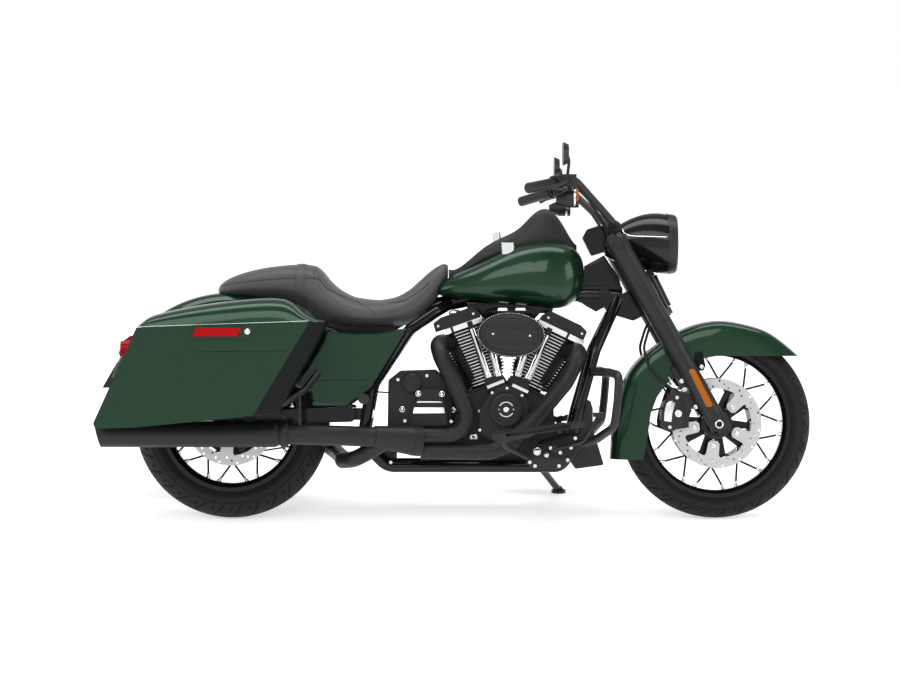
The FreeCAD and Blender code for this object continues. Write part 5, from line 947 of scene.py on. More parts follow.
class Fasteners:
    """Screws and bolts, gathered by kind, body and finish, and laid by one tree for each group."""

    def __init__(self) -> None:
        """Starts with no fastener."""
        self.groups: dict[tuple[Fastener, Body, Finish], list[tuple[Point, Point, float]]] = {}
        self.patterns: dict[Fastener, bpy.types.Object] = {}

    def add(self, kind: Fastener, body: Body, places: Iterable[Point], radius: float, side: int = -1,
            finish: Finish = CHROME) -> None:
        """Notes fasteners that stand at places, with their heads to one side.

        Args:
            kind: The kind of head.
            body: The body that they ride on.
            places: Where the heads' seats are, in upright millimetres.
            radius: The head's radius.
            side: The side that the heads point to.
            finish: Their finish.
        """
        self.groups.setdefault((kind, body, finish), []).extend((place, (0, side, 0), radius) for place in places)

    def pattern(self, kind: Fastener) -> bpy.types.Object:
        """The head of one kind with a radius of 1, along +Z."""
        if kind in self.patterns:
            return self.patterns[kind]
        profiles = {
            Fastener.SOCKET: [(-0.6, 0.0), (-0.6, 0.96), (0.82, 1.0), (0.95, 0.9), (0.95, 0.56), (0.35, 0.52),
                              (0.3, 0.0)],
            Fastener.HEX: [(-0.6, 0.0), (-0.6, 1.18), (0.1, 1.2), (0.16, 1.1)],
            Fastener.DOME: [(-0.6, 0.0), (-0.6, 1.15), (0.12, 1.15), (0.16, 0.95), (0.5, 0.92), (0.85, 0.72),
                            (1.05, 0.38), (1.1, 0.0)],
            Fastener.BUTTON: [(-0.6, 0.0), (-0.6, 1.0), (0.1, 1.0), (0.38, 0.8), (0.5, 0.5), (0.28, 0.44), (0.24, 0.0)],
        }
        shape = Shape()
        shape.lathe(profiles[kind], (0, 0, 0), (0, 0, 1), 12)
        if kind is Fastener.HEX:
            shape.lathe([(0.14, 0.0), (0.14, 0.98), (0.8, 1.0), (0.95, 0.84), (0.95, 0.0)], (0, 0, 0), (0, 0, 1), 6)
        mesh = bpy.data.meshes.new("head_" + kind.value)
        bmesh.ops.recalc_face_normals(shape.bm, faces=shape.bm.faces[:])
        shape.bm.to_mesh(mesh)
        shape.bm.free()
        self.patterns[kind] = bpy.data.objects.new("head_" + kind.value, mesh)
        return self.patterns[kind]

    def build(self) -> None:
        """Lays every group and clears the patterns away."""
        for index, ((kind, body, finish), items) in enumerate(self.groups.items()):
            mesh = bpy.data.meshes.new(f"{kind.value}_{body.value}_{index}")
            mesh.from_pydata([PARKING.point(place) for place, _, _ in items], [], [])
            mesh.attributes.new("axis", "FLOAT_VECTOR", "POINT")
            mesh.attributes.new("width", "FLOAT", "POINT")
            axes = np.array([PARKING.direction(axis) for _, axis, _ in items], np.float32)
            mesh.attributes["axis"].data.foreach_set("vector", axes.ravel())
            mesh.attributes["width"].data.foreach_set("value", np.array([item[2] / 1000 for item in items], np.float32))
            obj = new_object(mesh.name, mesh)
            apply_tree(obj, Repeats.on_points(),
                       {"Part": self.pattern(kind), "Size": 1.0, "Material": finish.material()})
            smooth(obj, 40)
            settle(obj, body, "chrome_trim" if finish.metallic > 0.5 else "black_steel")
        for pattern in self.patterns.values():
            bpy.data.objects.remove(pattern)


FASTENERS = Fasteners()


class Skin:
    """The outer surface of some CAD nodes, so that small parts can sit on it."""

    def __init__(self, *names: str) -> None:
        """Takes the nodes' meshes in upright millimetres.

        Args:
            names: The nodes' names.
        """
        back = PARKING.matrix().inverted()
        verts, faces = [], []
        for name in names:
            mesh = frame["nodes"][name].data
            start = len(verts)
            verts += [back @ v.co for v in mesh.vertices]
            faces += [[start + i for i in polygon.vertices] for polygon in mesh.polygons]
        self.verts = verts
        self.tree = BVHTree.FromPolygons(verts, faces)

    def round_part(self, keep: Callable[[Vector], bool] = lambda v: True) -> tuple[float, Flat, float]:
        """The front, the middle as Y and Z, and the radius of what the kept points outline."""
        kept = [v for v in self.verts if keep(v)]
        (_, low_y, low_z), (front, high_y, high_z) = ([pick(v[i] for v in kept) for i in range(3)] for pick in (min,
                                                                                                                max))
        return front, ((low_y + high_y) / 2, (low_z + high_z) / 2), (high_z - low_z) / 2

    def side(self, x: float, z: float, outward: float = -1.0, default: float = 0.0) -> float:
        """The surface's Y seen from one side, or the default where nothing lies."""
        hit = self.tree.ray_cast(Vector((x, outward * 900, z)), Vector((0, -outward, 0)))[0]
        return default if hit is None else hit.y

    def on_side(self, places: Iterable[Flat], outward: float = -1.0) -> list[Point]:
        """The places' points on the surface seen from one side; those off it are left out."""
        found = [(x, self.side(x, z, outward, 9e9), z) for x, z in places]
        return [place for place in found if abs(place[1]) < 9e8]


@dataclass
class Tyre:
    """A tubeless tyre with slanted tread grooves."""

    name: str
    node: str
    body: Body
    axle: Point
    radius: float
    crown: float
    half_width: float
    bead: float
    half_bead: float
    pitches: int = 30
    steps: int = 26
    groove_depth: float = 4.5
    across: int = 56

    def profile(self) -> list[tuple[float, float, float]]:
        """Points from bead to bead: the place across, the radius and the tread's share, -1 to 1, or 9 off it."""
        centre = self.radius - self.crown
        edge = math.radians(66)
        side_y, side_r = self.crown * math.sin(edge), centre + self.crown * math.cos(edge)
        foot_top = self.bead + 11
        side = [(self.half_bead - 9, self.bead), (self.half_bead, self.bead), (self.half_bead, foot_top),
                (self.half_bead + 3, foot_top + 3), (self.half_bead + 5, foot_top + 6),
                (self.half_bead + 5.6, foot_top + 7.4)]
        waist = (self.half_width, (foot_top + side_r) / 2)
        for t in (k / 9 for k in range(1, 9)):
            side.append(tuple((1 - t) ** 2 * a + 2 * t * (1 - t) * b + t * t * c
                              for a, b, c in zip(side[5], waist, (side_y, side_r))))
        left = [(y, r, 9.0) for y, r in side]
        left.append((side_y + 0.4, side_r + 0.6, 9.0))
        tread = []
        for k in range(self.across + 1):
            share = 1 - 2 * k / self.across
            tread.append((self.crown * math.sin(edge * share), centre + self.crown * math.cos(edge * share), share))
        right = [(-y, r, s) for y, r, s in reversed(left)]
        return left + tread + right

    def groove(self, share: float, turn: float) -> float:
        """How deep the tread is cut at a place across the crown and round the wheel, from 0 to 1.

        Args:
            share: The place across the tread, from -1 to 1.
            turn: The place round the wheel, in pitches.

        Returns:
            The depth as a share of the full depth.
        """
        side, place = (1, turn) if share >= 0 else (-1, turn + 0.5)
        across = abs(share)
        deep = 0.0
        for start, end, offset, slant, half in ((0.30, 0.90, 0.0, 0.62, 0.060), (0.08, 0.36, 0.52, 0.40, 0.055)):
            if start < across < end:
                line = offset + slant * (across - start) / (end - start)
                gap = abs((place - line + 0.5) % 1.0 - 0.5)
                taper = min(1.0, (across - start) / 0.05, (end - across) / 0.05)
                deep = max(deep, taper * min(1.0, max(0.0, (half - gap) / 0.02)))
        if abs(across - 0.72) < 0.045:
            gap = abs((place - 0.02 + 0.5) % 1.0 - 0.5)
            deep = max(deep, 1.0 if gap < 0.045 else 0.0)
        return deep

    def build(self) -> None:
        """Builds the tyre."""
        shape = Shape()
        profile = self.profile()
        count = self.pitches * self.steps
        centre = self.radius - self.crown
        rows = []
        for i in range(count):
            turn = 2 * math.pi * i / count
            pitch = i / self.steps
            row = []
            for y, r, share in profile:
                if share <= 1.0:
                    cut = self.groove(share, pitch) * self.groove_depth
                    reach = (self.crown - cut) / self.crown
                    y, r = y * reach, centre + (r - centre) * reach
                row.append(Vector((self.axle[0] + r * math.cos(turn), y, self.axle[2] + r * math.sin(turn))))
            rows.append(row)
        inner = [(self.half_bead - 9, self.bead), (self.half_width - 14, (self.bead + self.radius) / 2),
                 (self.half_width * 0.55, self.radius - 17), (0.0, self.radius - 13)]
        inner += [(-y, r) for y, r in reversed(inner[:-1])]
        shape.add_grid(rows, closed_rows=True)
        shape.lathe(inner, self.axle, sides=96)
        for side in (-1, 1):
            for radius, height in ((self.bead + 22, 0.8), (self.bead + 27, 0.8), (self.bead + 50, 0.7)):
                y = side * self.wall_at(radius)
                shape.lathe([(y - side * 0.4, radius - 1.6), (y + side * height, radius),
                             (y - side * 0.4, radius + 1.6)],
                            self.axle, sides=160)
        shape.finish(self.name, self.body, [TYRE_RUBBER], "tyre_rubber", [self.node], sharp=28, merge=0.0)

    def wall_at(self, radius: float) -> float:
        """Half the tyre's width at a radius on its side."""
        wall = [(r, y) for y, r, share in self.profile()[:16]]
        wall.sort()
        return float(np.interp(radius, [r for r, _ in wall], [y for _, y in wall]))


@dataclass
class Rotor:
    """A drilled brake disc on five tabs, with its bolts."""

    name: str
    body: Body
    axle: Point
    face: float
    radius: float = 150.0
    inside: float = 116.0
    seat: float = 58.0
    first_tab: float = 46.0
    tabs: int = 5
    thickness: float = 5.0
    hole: float = 3.6

    def ring_edge(self) -> list[Flat]:
        """The inner edge, with its tabs reaching in."""
        points = []
        for k in range(self.tabs):
            middle = math.radians(self.first_tab + k * 360 / self.tabs)
            for offset, radius in ((-13.5, self.inside), (-11.5, self.inside - 8), (-12.5, self.seat + 12),
                                   (-8.5, self.seat + 2), (8.5, self.seat + 2), (12.5, self.seat + 12),
                                   (11.5, self.inside - 8), (13.5, self.inside)):
                turn = middle + math.radians(offset * (1.0 if radius > 90 else 1.25))
                points.append((radius * math.cos(turn), radius * math.sin(turn)))
            for j in range(1, 8):
                turn = middle + math.radians(13.5 + (360 / self.tabs - 27) * j / 8)
                points.append((self.inside * math.cos(turn), self.inside * math.sin(turn)))
        return points

    def holes(self) -> list[list[Flat]]:
        """The drilled holes, in slanted rows of three."""
        made = []
        for k in range(15):
            for j, radius in enumerate((self.inside + 7.5, self.inside + 17, self.radius - 7.5)):
                turn = math.radians(24 * k + 7.2 * j)
                made.append(disc_points((radius * math.cos(turn), radius * math.sin(turn)), self.hole, 10))
        return made

    def build(self) -> None:
        """Builds the disc, its carrier and its bolts."""
        side = math.copysign(1.0, self.face)
        x, _, z = self.axle
        lift = lambda u, v, h: Vector((x + u, self.face + side * h, z + v))
        shape = Shape()
        edge = disc_points((0, 0), self.radius, 120)
        shape.plate(edge, lift, self.thickness, [self.ring_edge()] + self.holes())
        shape.finish(self.name, self.body, [DISC_STEEL], "disc_steel", merge=0.0)
        carrier = Shape()
        hub = superellipse(52, 52, 2.0, 60)
        carrier.plate(hub, lambda u, v, h: Vector((x + u, math.copysign(46, self.face) + side * h, z + v)),
                      abs(self.face) + self.thickness - 46, [disc_points((0, 0), 22, 32)])
        for k in range(self.tabs):
            turn = math.radians(self.first_tab + k * 360 / self.tabs)
            place = (x + (self.seat + 17) * math.cos(turn), self.face + side * self.thickness,
                     z + (self.seat + 17) * math.sin(turn))
            carrier.lathe([(-8, 0), (-8, 8.5), (1.6, 8.5), (3.6, 7.2), (3.6, 3.4), (1.6, 3), (1.6, 0)], place,
                          (0, side, 0), 20, 1)
        carrier.finish(self.name + "_carrier", self.body, [GLOSS_BLACK, CHROME], "black_cast", bevel=0.6)


@dataclass
class Wheels:
    """Both wheels' tyres, discs, spoke tubes and nipples."""

    front: Tyre = field(default_factory=lambda: Tyre("front_tyre_treaded", "front_tyre", Body.FRONT_WHEEL,
                                                     LAYOUT.front_axle, 320.0, 66.0, 65.0, 241.0, 47.0))
    rear: Tyre = field(default_factory=lambda: Tyre("rear_tyre_treaded", "rear_tyre", Body.REAR_WHEEL,
                                                    LAYOUT.rear_axle, 328.0, 92.0, 90.0, 228.0, 67.0))

    def build(self) -> None:
        """Builds everything on both wheels."""
        self.front.build()
        self.rear.build()
        for side in (-1, 1):
            Rotor(sided("front_disc", side), Body.FRONT_WHEEL, LAYOUT.front_axle, side * 72.0).build()
        Rotor("rear_disc_drilled", Body.REAR_WHEEL, LAYOUT.rear_axle, -72.0).build()
        for piece, node in (("front_disc_right", "front_discs"), ("rear_disc_drilled", "rear_disc")):
            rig.replaces(bpy.data.objects[piece], node)
        self.nipples("front_spoke_nipples", Body.FRONT_WHEEL, LAYOUT.front_axle, 226.0, 31.0)
        self.nipples("rear_spoke_nipples", Body.REAR_WHEEL, LAYOUT.rear_axle, 211.0, 0.0)

    def nipples(self, name: str, body: Body, axle: Point, rim_inner: float, first_arm: float) -> None:
        """Builds the tubes round the spokes and the nipples where they meet the rim.

        Args:
            name: The piece's name.
            body: The body that it rides on.
            axle: The wheel's centre.
            rim_inner: The rim's inner radius.
            first_arm: The first pair's angle in degrees.
        """
        shape = Shape()
        step = 36.0
        root = 104.0
        for k in range(10):
            for lean in (-1, 1):
                start = math.radians(k * step + first_arm)
                end = start + lean * math.radians(step * 0.86)
                y = axle[1] + lean * 3.9
                foot = Vector((axle[0] + root * math.cos(start), y, axle[2] + root * math.sin(start)))
                tip = Vector((axle[0] + rim_inner * math.cos(end), y, axle[2] + rim_inner * math.sin(end)))
                way = (tip - foot).normalized()
                shape.lathe([(-17, 0), (-17, 3.9), (-15, 5), (-6, 5.2), (-5, 7), (3, 7.4), (3, 0)], tip, way, 10)
                back = 2.0 - (tip - foot).length
                shape.lathe([(back, 0), (back, 3), (-14, 3), (-14, 0)], tip, way, 10, 1)
        shape.finish(name, body, [CHROME, GLOSS_BLACK], "black_cast", sharp=40)


def eased(stations: Sequence[Sequence[float]], count: int) -> np.ndarray:
    """Rows between stations, without overshoot.

    Args:
        stations: Rows that start with the place along the machine.
        count: How many rows come out.

    Returns:
        The rows, evenly spaced.
    """
    table = np.array(stations, float)
    x = table[:, 0]
    h = np.diff(x)
    slope = np.diff(table[:, 1:], axis=0) / h[:, None]
    rate = np.zeros_like(table[:, 1:])
    same = slope[:-1] * slope[1:] > 0
    w1, w2 = (2 * h[1:] + h[:-1])[:, None], (h[1:] + 2 * h[:-1])[:, None]
    safe = np.where(same, slope[:-1] * slope[1:], 1.0)
    rate[1:-1] = np.where(same, (w1 + w2) * safe / (w1 * slope[1:] + w2 * slope[:-1] + (~same) * 1e9), 0.0)
    rate[0], rate[-1] = slope[0], slope[-1]
    places = np.linspace(x[0], x[-1], count)
    index = np.clip(np.searchsorted(x, places, side="right") - 1, 0, len(h) - 1)
    t = ((places - x[index]) / h[index])[:, None]
    step = h[index][:, None]
    a, b = table[index, 1:], table[index + 1, 1:]
    rows = ((1 + 2 * t) * (1 - t) ** 2 * a + t * (1 - t) ** 2 * step * rate[index]
            + t * t * (3 - 2 * t) * b + t * t * (t - 1) * step * rate[index + 1])
    return np.column_stack([places, rows])


@dataclass
class SaddleCover:
    """The one-piece seat: a rider's dish, a raised passenger pad, sewn seams and a grab strap."""

    half_width: float = 176.0
    rows: int = 210
    around: int = 132
    stations: tuple = (
        (-858, 0.10, 764, 772, 2.2), (-850, 0.40, 752, 785, 2.2), (-832, 0.54, 745, 799, 2.4),
        (-800, 0.64, 741, 814, 2.6),
        (-733, 0.72, 738, 834, 2.8), (-660, 0.76, 734, 846, 3.0), (-600, 0.78, 722, 851, 3.0),
        (-560, 0.79, 698, 852, 3.0),
        (-528, 0.82, 668, 847, 2.9), (-505, 0.85, 653, 827, 2.8), (-480, 0.88, 649, 796, 2.7),
        (-440, 0.95, 648, 763, 2.7),
        (-390, 1.0, 646, 741, 2.8), (-318, 0.99, 645, 733, 2.8), (-270, 0.90, 646, 740, 2.7),
        (-220, 0.72, 651, 764, 2.6),
        (-180, 0.56, 672, 798, 2.5), (-150, 0.46, 706, 825, 2.4), (-120, 0.36, 752, 846, 2.3),
        (-100, 0.27, 790, 854, 2.2),
        (-88, 0.14, 812, 850, 2.2),
    )
    seams: tuple = (
        ((-852, 778), (-815, 787), (-700, 801), (-610, 807), (-540, 806), (-512, 799)),
        ((-521, 815), (-492, 776), (-440, 748), (-380, 722), (-335, 696), (-318, 680)),
        ((-283, 722), (-232, 733), (-180, 765), (-150, 792)),
        ((-536, 852), (-529, 836), (-532, 806)),
    )

    def grid(self) -> np.ndarray:
        """The seat's skin as rows of points, from the bottom's middle round the right side and back."""
        table = eased(self.stations, self.rows)
        turn = np.linspace(-math.pi / 2, 1.5 * math.pi, self.around, endpoint=False)
        c, s = np.cos(turn), np.sin(turn)
        points = np.zeros((self.rows, self.around, 3))
        for i, (x, share, low, high, power) in enumerate(table):
            waist = low + (high - low) * 0.40
            side = np.sign(c) * np.abs(c) ** (2 / power)
            rise = np.sign(s) * np.abs(s) ** (2 / (power * 0.86))
            tuck = 1.0 - 0.10 * np.clip(-s, 0, 1) ** 2
            points[i, :, 0] = x
            points[i, :, 1] = -side * share * self.half_width * tuck
            points[i, :, 2] = np.where(rise > 0, waist + rise * (high - waist), waist + rise * (waist - low))
        return points

    def seam_lines(self, points: np.ndarray) -> list[np.ndarray]:
        """Each seam laid on the skin's right side, and mirrored on its left."""
        lines = []
        half = self.around // 2
        for seam in self.seams:
            line = []
            for x, z in smooth_line(seam, 14):
                row = points[int(np.argmin(np.abs(points[:, 0, 0] - x)))][half // 4:half + 1]
                line.append(row[int(np.argmin(np.abs(row[:, 2] - z)))])
            soft = np.array(line)
            for _ in range(3):
                soft[1:-1] = (soft[:-2] + 2 * soft[1:-1] + soft[2:]) / 4
            lines += [soft, soft * (1, -1, 1)]
        return lines

    def build(self) -> None:
        """Builds the seat, its piping and its strap."""
        points = self.grid()
        lines = self.seam_lines(points)
        ahead = np.gradient(points, axis=0)
        across = np.roll(points, -1, axis=1) - np.roll(points, 1, axis=1)
        normal = np.cross(across, ahead)
        normal /= np.linalg.norm(normal, axis=2, keepdims=True) + 1e-9
        middle = points.mean(axis=1, keepdims=True)
        facing = np.sign(((points - middle) * normal).sum(axis=2, keepdims=True))
        normal *= np.where(facing == 0, 1, facing)
        gap = np.full(points.shape[:2], 1e9)
        for line in lines:
            for place in line[::2]:
                gap = np.minimum(gap, np.linalg.norm(points - place, axis=2))
        fullness = 2.2 * (1 - np.exp(-(gap / 26.0) ** 2)) - 2.6 * np.exp(-(gap / 3.6) ** 2)
        skin = points + normal * fullness[:, :, None] * np.clip((points[:, :, 2:3] - 690) / 40, 0.2, 1)
        shape = Shape()
        shape.add_grid([[Vector(p) for p in row] for row in skin], closed_columns=True, caps=True)
        seat = shape.finish("seat_cover", Body.CHASSIS, [SEAT_VINYL], "seat_vinyl", ["seat"], sharp=60, merge=0.0)
        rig.padded(seat, fill=0.8)
        self.piping(lines)
        self.strap(points, normal)

    def piping(self, lines: Sequence[np.ndarray]) -> None:
        """Builds the thin welt that lies in each seam."""
        shape = Shape()
        for line in lines:
            shape.tube([tuple(p) for p in line[::3]], 1.5, 8, smooth=3)
        shape.finish("seat_seam_welts", Body.CHASSIS, [SEAT_VINYL], "seat_vinyl", sharp=80)

    def strap(self, points: np.ndarray, normal: np.ndarray) -> None:
        """Builds the grab strap across the passenger pad."""
        shape = Shape()
        first = int(np.argmin(np.abs(points[:, 0, 0] + 594)))
        last = int(np.argmin(np.abs(points[:, 0, 0] + 565)))
        low, high = self.around // 8, self.around - self.around // 8
        band = range(low, high + 1)
        profile = [(first, -1.0), (first, 3.4), (first + 1, 4.6)]
        profile += [(i, 4.8) for i in range(first + 2, last - 1)]
        profile += [(last - 1, 4.6), (last, 3.4), (last, -1.0)]
        rows = [[Vector(points[i, j] + normal[i, j] * lift) for j in band] for i, lift in profile]
        shape.add_grid(rows, closed_rows=True)
        shape.finish("seat_strap", Body.CHASSIS, [SEAT_VINYL], "seat_vinyl", sharp=50, merge=0.0)
        lines = [[tuple(points[i, j] + normal[i, j] * 5.0) for j in band[4:-4]] for i in (first + 2, last - 2)]
        stitch_rows("seat_strap_stitches", lines, Body.CHASSIS, SEAT_VINYL, "seat_vinyl")


@dataclass
class BagLids:
    """The bags' domed lids: one smooth skin each, thin-walled and open below."""

    inner: float = 218.0
    outer: float = 470.0
    wall: float = 3.0
    crest: tuple[Flat, ...] = ((-1085, 641), (-1072, 657), (-1036, 681), (-930, 706), (-813, 724), (-700, 735),
                               (-630, 735),
                               (-590, 722), (-548, 686), (-512, 668), (-482, 662))

    def seam(self, x: float) -> float:
        """The height of the seam along the bag."""
        return 640.0 + (x + 1080.0) * 17.0 / 601.0 + 1.2

    def build(self) -> None:
        """Builds both lids."""
        for side, body, node in ((-1, Body.LID_RIGHT, "bag_lid_right"), (1, Body.LID_LEFT, "bag_lid_left")):
            shape = Shape()
            shape.add_grid(self.skin(side, 0.0) + self.skin(side, self.wall)[::-1], closed_rows=True)
            shape.finish(node + "_dome", body, [GREEN_PAINT], "green_paint", [node], sharp=50, merge=0.05)

    def skin(self, side: int, inset: float) -> list[list[Vector]]:
        """Rows of the lid's skin across the bag, each from its outer to its inner foot.

        Args:
            side: The bag's side.
            inset: How far the skin lies inside the outer one.

        Returns:
            The rows from the front to the back.
        """
        line = smooth_line(self.crest, 6)
        rows = []
        low_x, high_x = self.crest[0][0] + inset, self.crest[-1][0] - inset
        for x, top in line:
            x = min(max(x, low_x), high_x)
            foot = self.seam(x)
            rise = max(top - inset - foot, 0.0)
            half = (self.outer - self.inner) / 2 - inset
            middle = (self.outer + self.inner) / 2
            row = [Vector((x, side * (middle + half), foot))]
            for k in range(33):
                t = math.pi * k / 32
                across = math.copysign(abs(math.cos(t)) ** 0.62, math.cos(t))
                height = math.sin(t) ** 0.62
                row.append(Vector((x, side * (middle + half * across * (1 - 0.06 * height)), foot + rise * height)))
            row.append(Vector((x, side * (middle - half), foot)))
            rows.append(row)
        return rows


@dataclass(frozen=True)
class Barrel:
    """One cylinder's place."""

    name: str
    lean: float
    outside: int

    def matrix(self) -> Matrix:
        """Turns out-of-the-vee, left and along-the-axis millimetres into upright ones."""
        turn = math.radians(self.lean)
        out = Vector((math.cos(turn), 0, -math.sin(turn))) * self.outside
        axis = Vector((math.sin(turn), 0, math.cos(turn)))
        spin = Matrix((out, Vector((0, 1, 0)), axis)).transposed().to_4x4()
        return Matrix.Translation((102.0, 0.0, 284.0)) @ spin

    def lift(self, y: float, outward: float = -1.0) -> Lift:
        """Lays a flat point, out of the vee and along the axis, on the cylinder's side."""
        place = self.matrix()
        return lambda out, along, h: place @ Vector((out, y + outward * h, along))


@dataclass
class Engine:
    """The details of the V-twin: fin edges, rocker bands, covers, tubes and bolts."""

    barrels: tuple[Barrel, ...] = (Barrel("rear", -19.5, -1), Barrel("front", 25.5, 1))
    timer: Flat = (106.0, 370.0)
    cleaner: Flat = (121.0, 617.0)
    tilt: float = math.radians(3.0)
    chest_bolts: tuple[Flat, ...] = ((19, 363), (19, 301), (60, 425), (109, 440), (159, 416), (170, 342))
    gear_bolts: tuple[Flat, ...] = ((-185, 422), (-107, 421), (-239, 369), (-66, 366))
    case_bolts: tuple[Flat, ...] = ((-230, 331), (-76, 328), (-253, 468), (-157, 481))
    push_rods: tuple = (((-16, 602), (58, 462)), ((34, 612), (88, 466)), ((202, 600), (136, 466)),
                        ((254, 580), (168, 458)))

    def build(self) -> None:
        """Builds everything on the engine."""
        for barrel in self.barrels:
            self.fin_edges(barrel)
            self.barrel_core(barrel)
            self.rocker_box(barrel)
        self.tubes()
        self.timer_cover()
        self.air_cleaner()
        self.gearbox()
        self.under_tank()
        skin = Skin("engine_crankcase", "gearbox")
        FASTENERS.add(Fastener.SOCKET, Body.CHASSIS, skin.on_side(self.chest_bolts), 5.2)
        nuts = [(x, min(skin.side(x + dx, z + dz) for dx in (-9, 9) for dz in (-9, 9)), z) for x, z in self.gear_bolts]
        FASTENERS.add(Fastener.DOME, Body.CHASSIS, nuts, 8.2)
        FASTENERS.add(Fastener.SOCKET, Body.CHASSIS, skin.on_side(self.case_bolts), 6.0)

    def fin_edges(self, barrel: Barrel) -> None:
        """Lays a machined rim round each fin of one cylinder."""
        obj = new_object(f"fin_edges_{barrel.name}", bpy.data.meshes.new("fin_edges"))
        apply_tree(obj, Repeats.stack(), {"Material": MACHINED.material()})
        obj.data.transform(PARKING.matrix() @ barrel.matrix() @ Matrix.Translation((0, 0, 184.0 + 2.2)))
        if barrel.outside < 0:
            obj.data.flip_normals()
        smooth(obj, 30)
        settle(obj, Body.CHASSIS, "chrome_trim")

    def barrel_core(self, barrel: Barrel) -> None:
        """Fills the dark depth between one cylinder's fins."""
        shape = Shape()
        place = barrel.matrix()
        rows = []
        for along in (184.0, 200.0, 227.0, 300.0, 378.0):
            outer, inner = 55.0 + 0.15 * (along - 184.0), min(along * 0.41421 - 21.0, 73.0)
            rows.append([place @ Vector(((outer - inner) / 2 + x, y, along))
                         for x, y in superellipse((outer + inner) / 2, 72.0, 5.0, 40)])
        shape.add_grid(rows, closed_columns=True, caps=True)
        shape.plate([(45, 187), (82, 187), (104, 376), (60, 376)], barrel.lift(3), 6)
        shape.finish(f"barrel_core_{barrel.name}", Body.CHASSIS, [MATTE_BLACK], "black_cast")

    def rocker_box(self, barrel: Barrel) -> None:
        """Builds the bright lower band of one rocker box, its split and its cap screws."""
        for side in (-1, 1):
            shape = Shape()
            y = side * (106.4 if side < 0 else 80.4)
            for low, high in ((-60.0, 44.0), (52.0, 104.5)):
                shape.plate([(low, 379.5), (high, 379.5), (high, 397), (low, 397)], barrel.lift(y, side), 1.4)
            shape.finish(sided(f"rocker_band_{barrel.name}", side), Body.CHASSIS, [POLISHED],
                         "chrome_trim", bevel=0.5)
            place = barrel.matrix()
            screws = [tuple(place @ Vector((out, side * (101.2 if side < 0 else 74.2), 415.0))) for out in (-36, 88)]
            FASTENERS.add(Fastener.SOCKET, Body.CHASSIS, screws, 4.6, side)

    def tubes(self) -> None:
        """Builds the collars and the bright feet of the pushrod tubes."""
        shape = Shape()
        for top, foot in self.push_rods:
            start, end = Vector((top[0], -102, top[1] + 60)), Vector((foot[0], -102, foot[1] - 16))
            way = (start - end).normalized()
            length = (start - end).length
            shape.lathe([(30, 11.2), (30, 14.5), (44, 14.5), (46, 12.6), (length * 0.40, 12.4), (length * 0.40, 13.6),
                         (length * 0.46, 13.6), (length * 0.46, 11.3), (length - 26, 11.3)], end, way, 28)
        for low, high in (((44, 442), (100, 464)), ((128, 450), (180, 426))):
            y = -118.2
            across = Vector((high[0] - low[0], high[1] - low[1])).normalized()
            up = Vector((-across.y, across.x)) * 5.0
            corners = [(low[0] - up.x, low[1] - up.y), (high[0] - up.x, high[1] - up.y),
                       (high[0] + up.x, high[1] + up.y), (low[0] + up.x, low[1] + up.y)]
            shape.plate(corners, side_lift(y), 3.0)
        shape.finish("pushrod_collars", Body.CHASSIS, [CHROME], "chrome_trim")

    def timer_cover(self) -> None:
        """Builds the round cover over the timing chest: a stepped rim, two plain arcs and a button."""
        x, z = self.timer
        shape = Shape()
        shape.lathe([(0, 53.4), (-5, 53.6), (-8.5, 51.5), (-9.5, 47), (-7, 45), (-7, 31), (-8.6, 30),
                     (-8.6, 0)], (x, -168, z), (0, 1, 0), 96)
        for start in (30, 210):
            arc = [math.radians(start + 5 * k) for k in range(25)]
            edge = [(x + radius * math.cos(turn), z + radius * math.sin(turn))
                    for radius, way in ((25.5, arc), (22.5, arc[::-1])) for turn in way]
            shape.plate(edge, side_lift(-176.4), 1.2, material=1)
        shape.lathe([(0, 9), (-1.6, 9), (-2.4, 7.8), (-2.4, 3), (-1.4, 2.6), (-1.4, 0)], (x, -176.4, z), (0, 1, 0), 32,
                    1)
        for dx in (-24, 24):
            shape.lathe([(0, 2), (-1.2, 2), (-1.4, 0)], (x + dx, -176.4, z), (0, 1, 0), 16, 1)
        shape.finish("timer_cover_face", Body.CHASSIS, [SATIN_BLACK, POLISHED], "black_cast", sharp=24)

    def oval(self, half_x: float, half_z: float, power: float = 2.0, sides: int = 96) -> list[Flat]:
        """The corners of an oval round the air cleaner's centre, turned by its tilt."""
        return [self.on_cleaner(a, b) for a, b in superellipse(half_x, half_z, power, sides)]

    def on_cleaner(self, a: float, b: float) -> Flat:
        """The X and Z of a flat point on the air cleaner, turned by its tilt."""
        cos, sin = math.cos(self.tilt), math.sin(self.tilt)
        return self.cleaner[0] + a * cos + b * sin, self.cleaner[1] - a * sin + b * cos

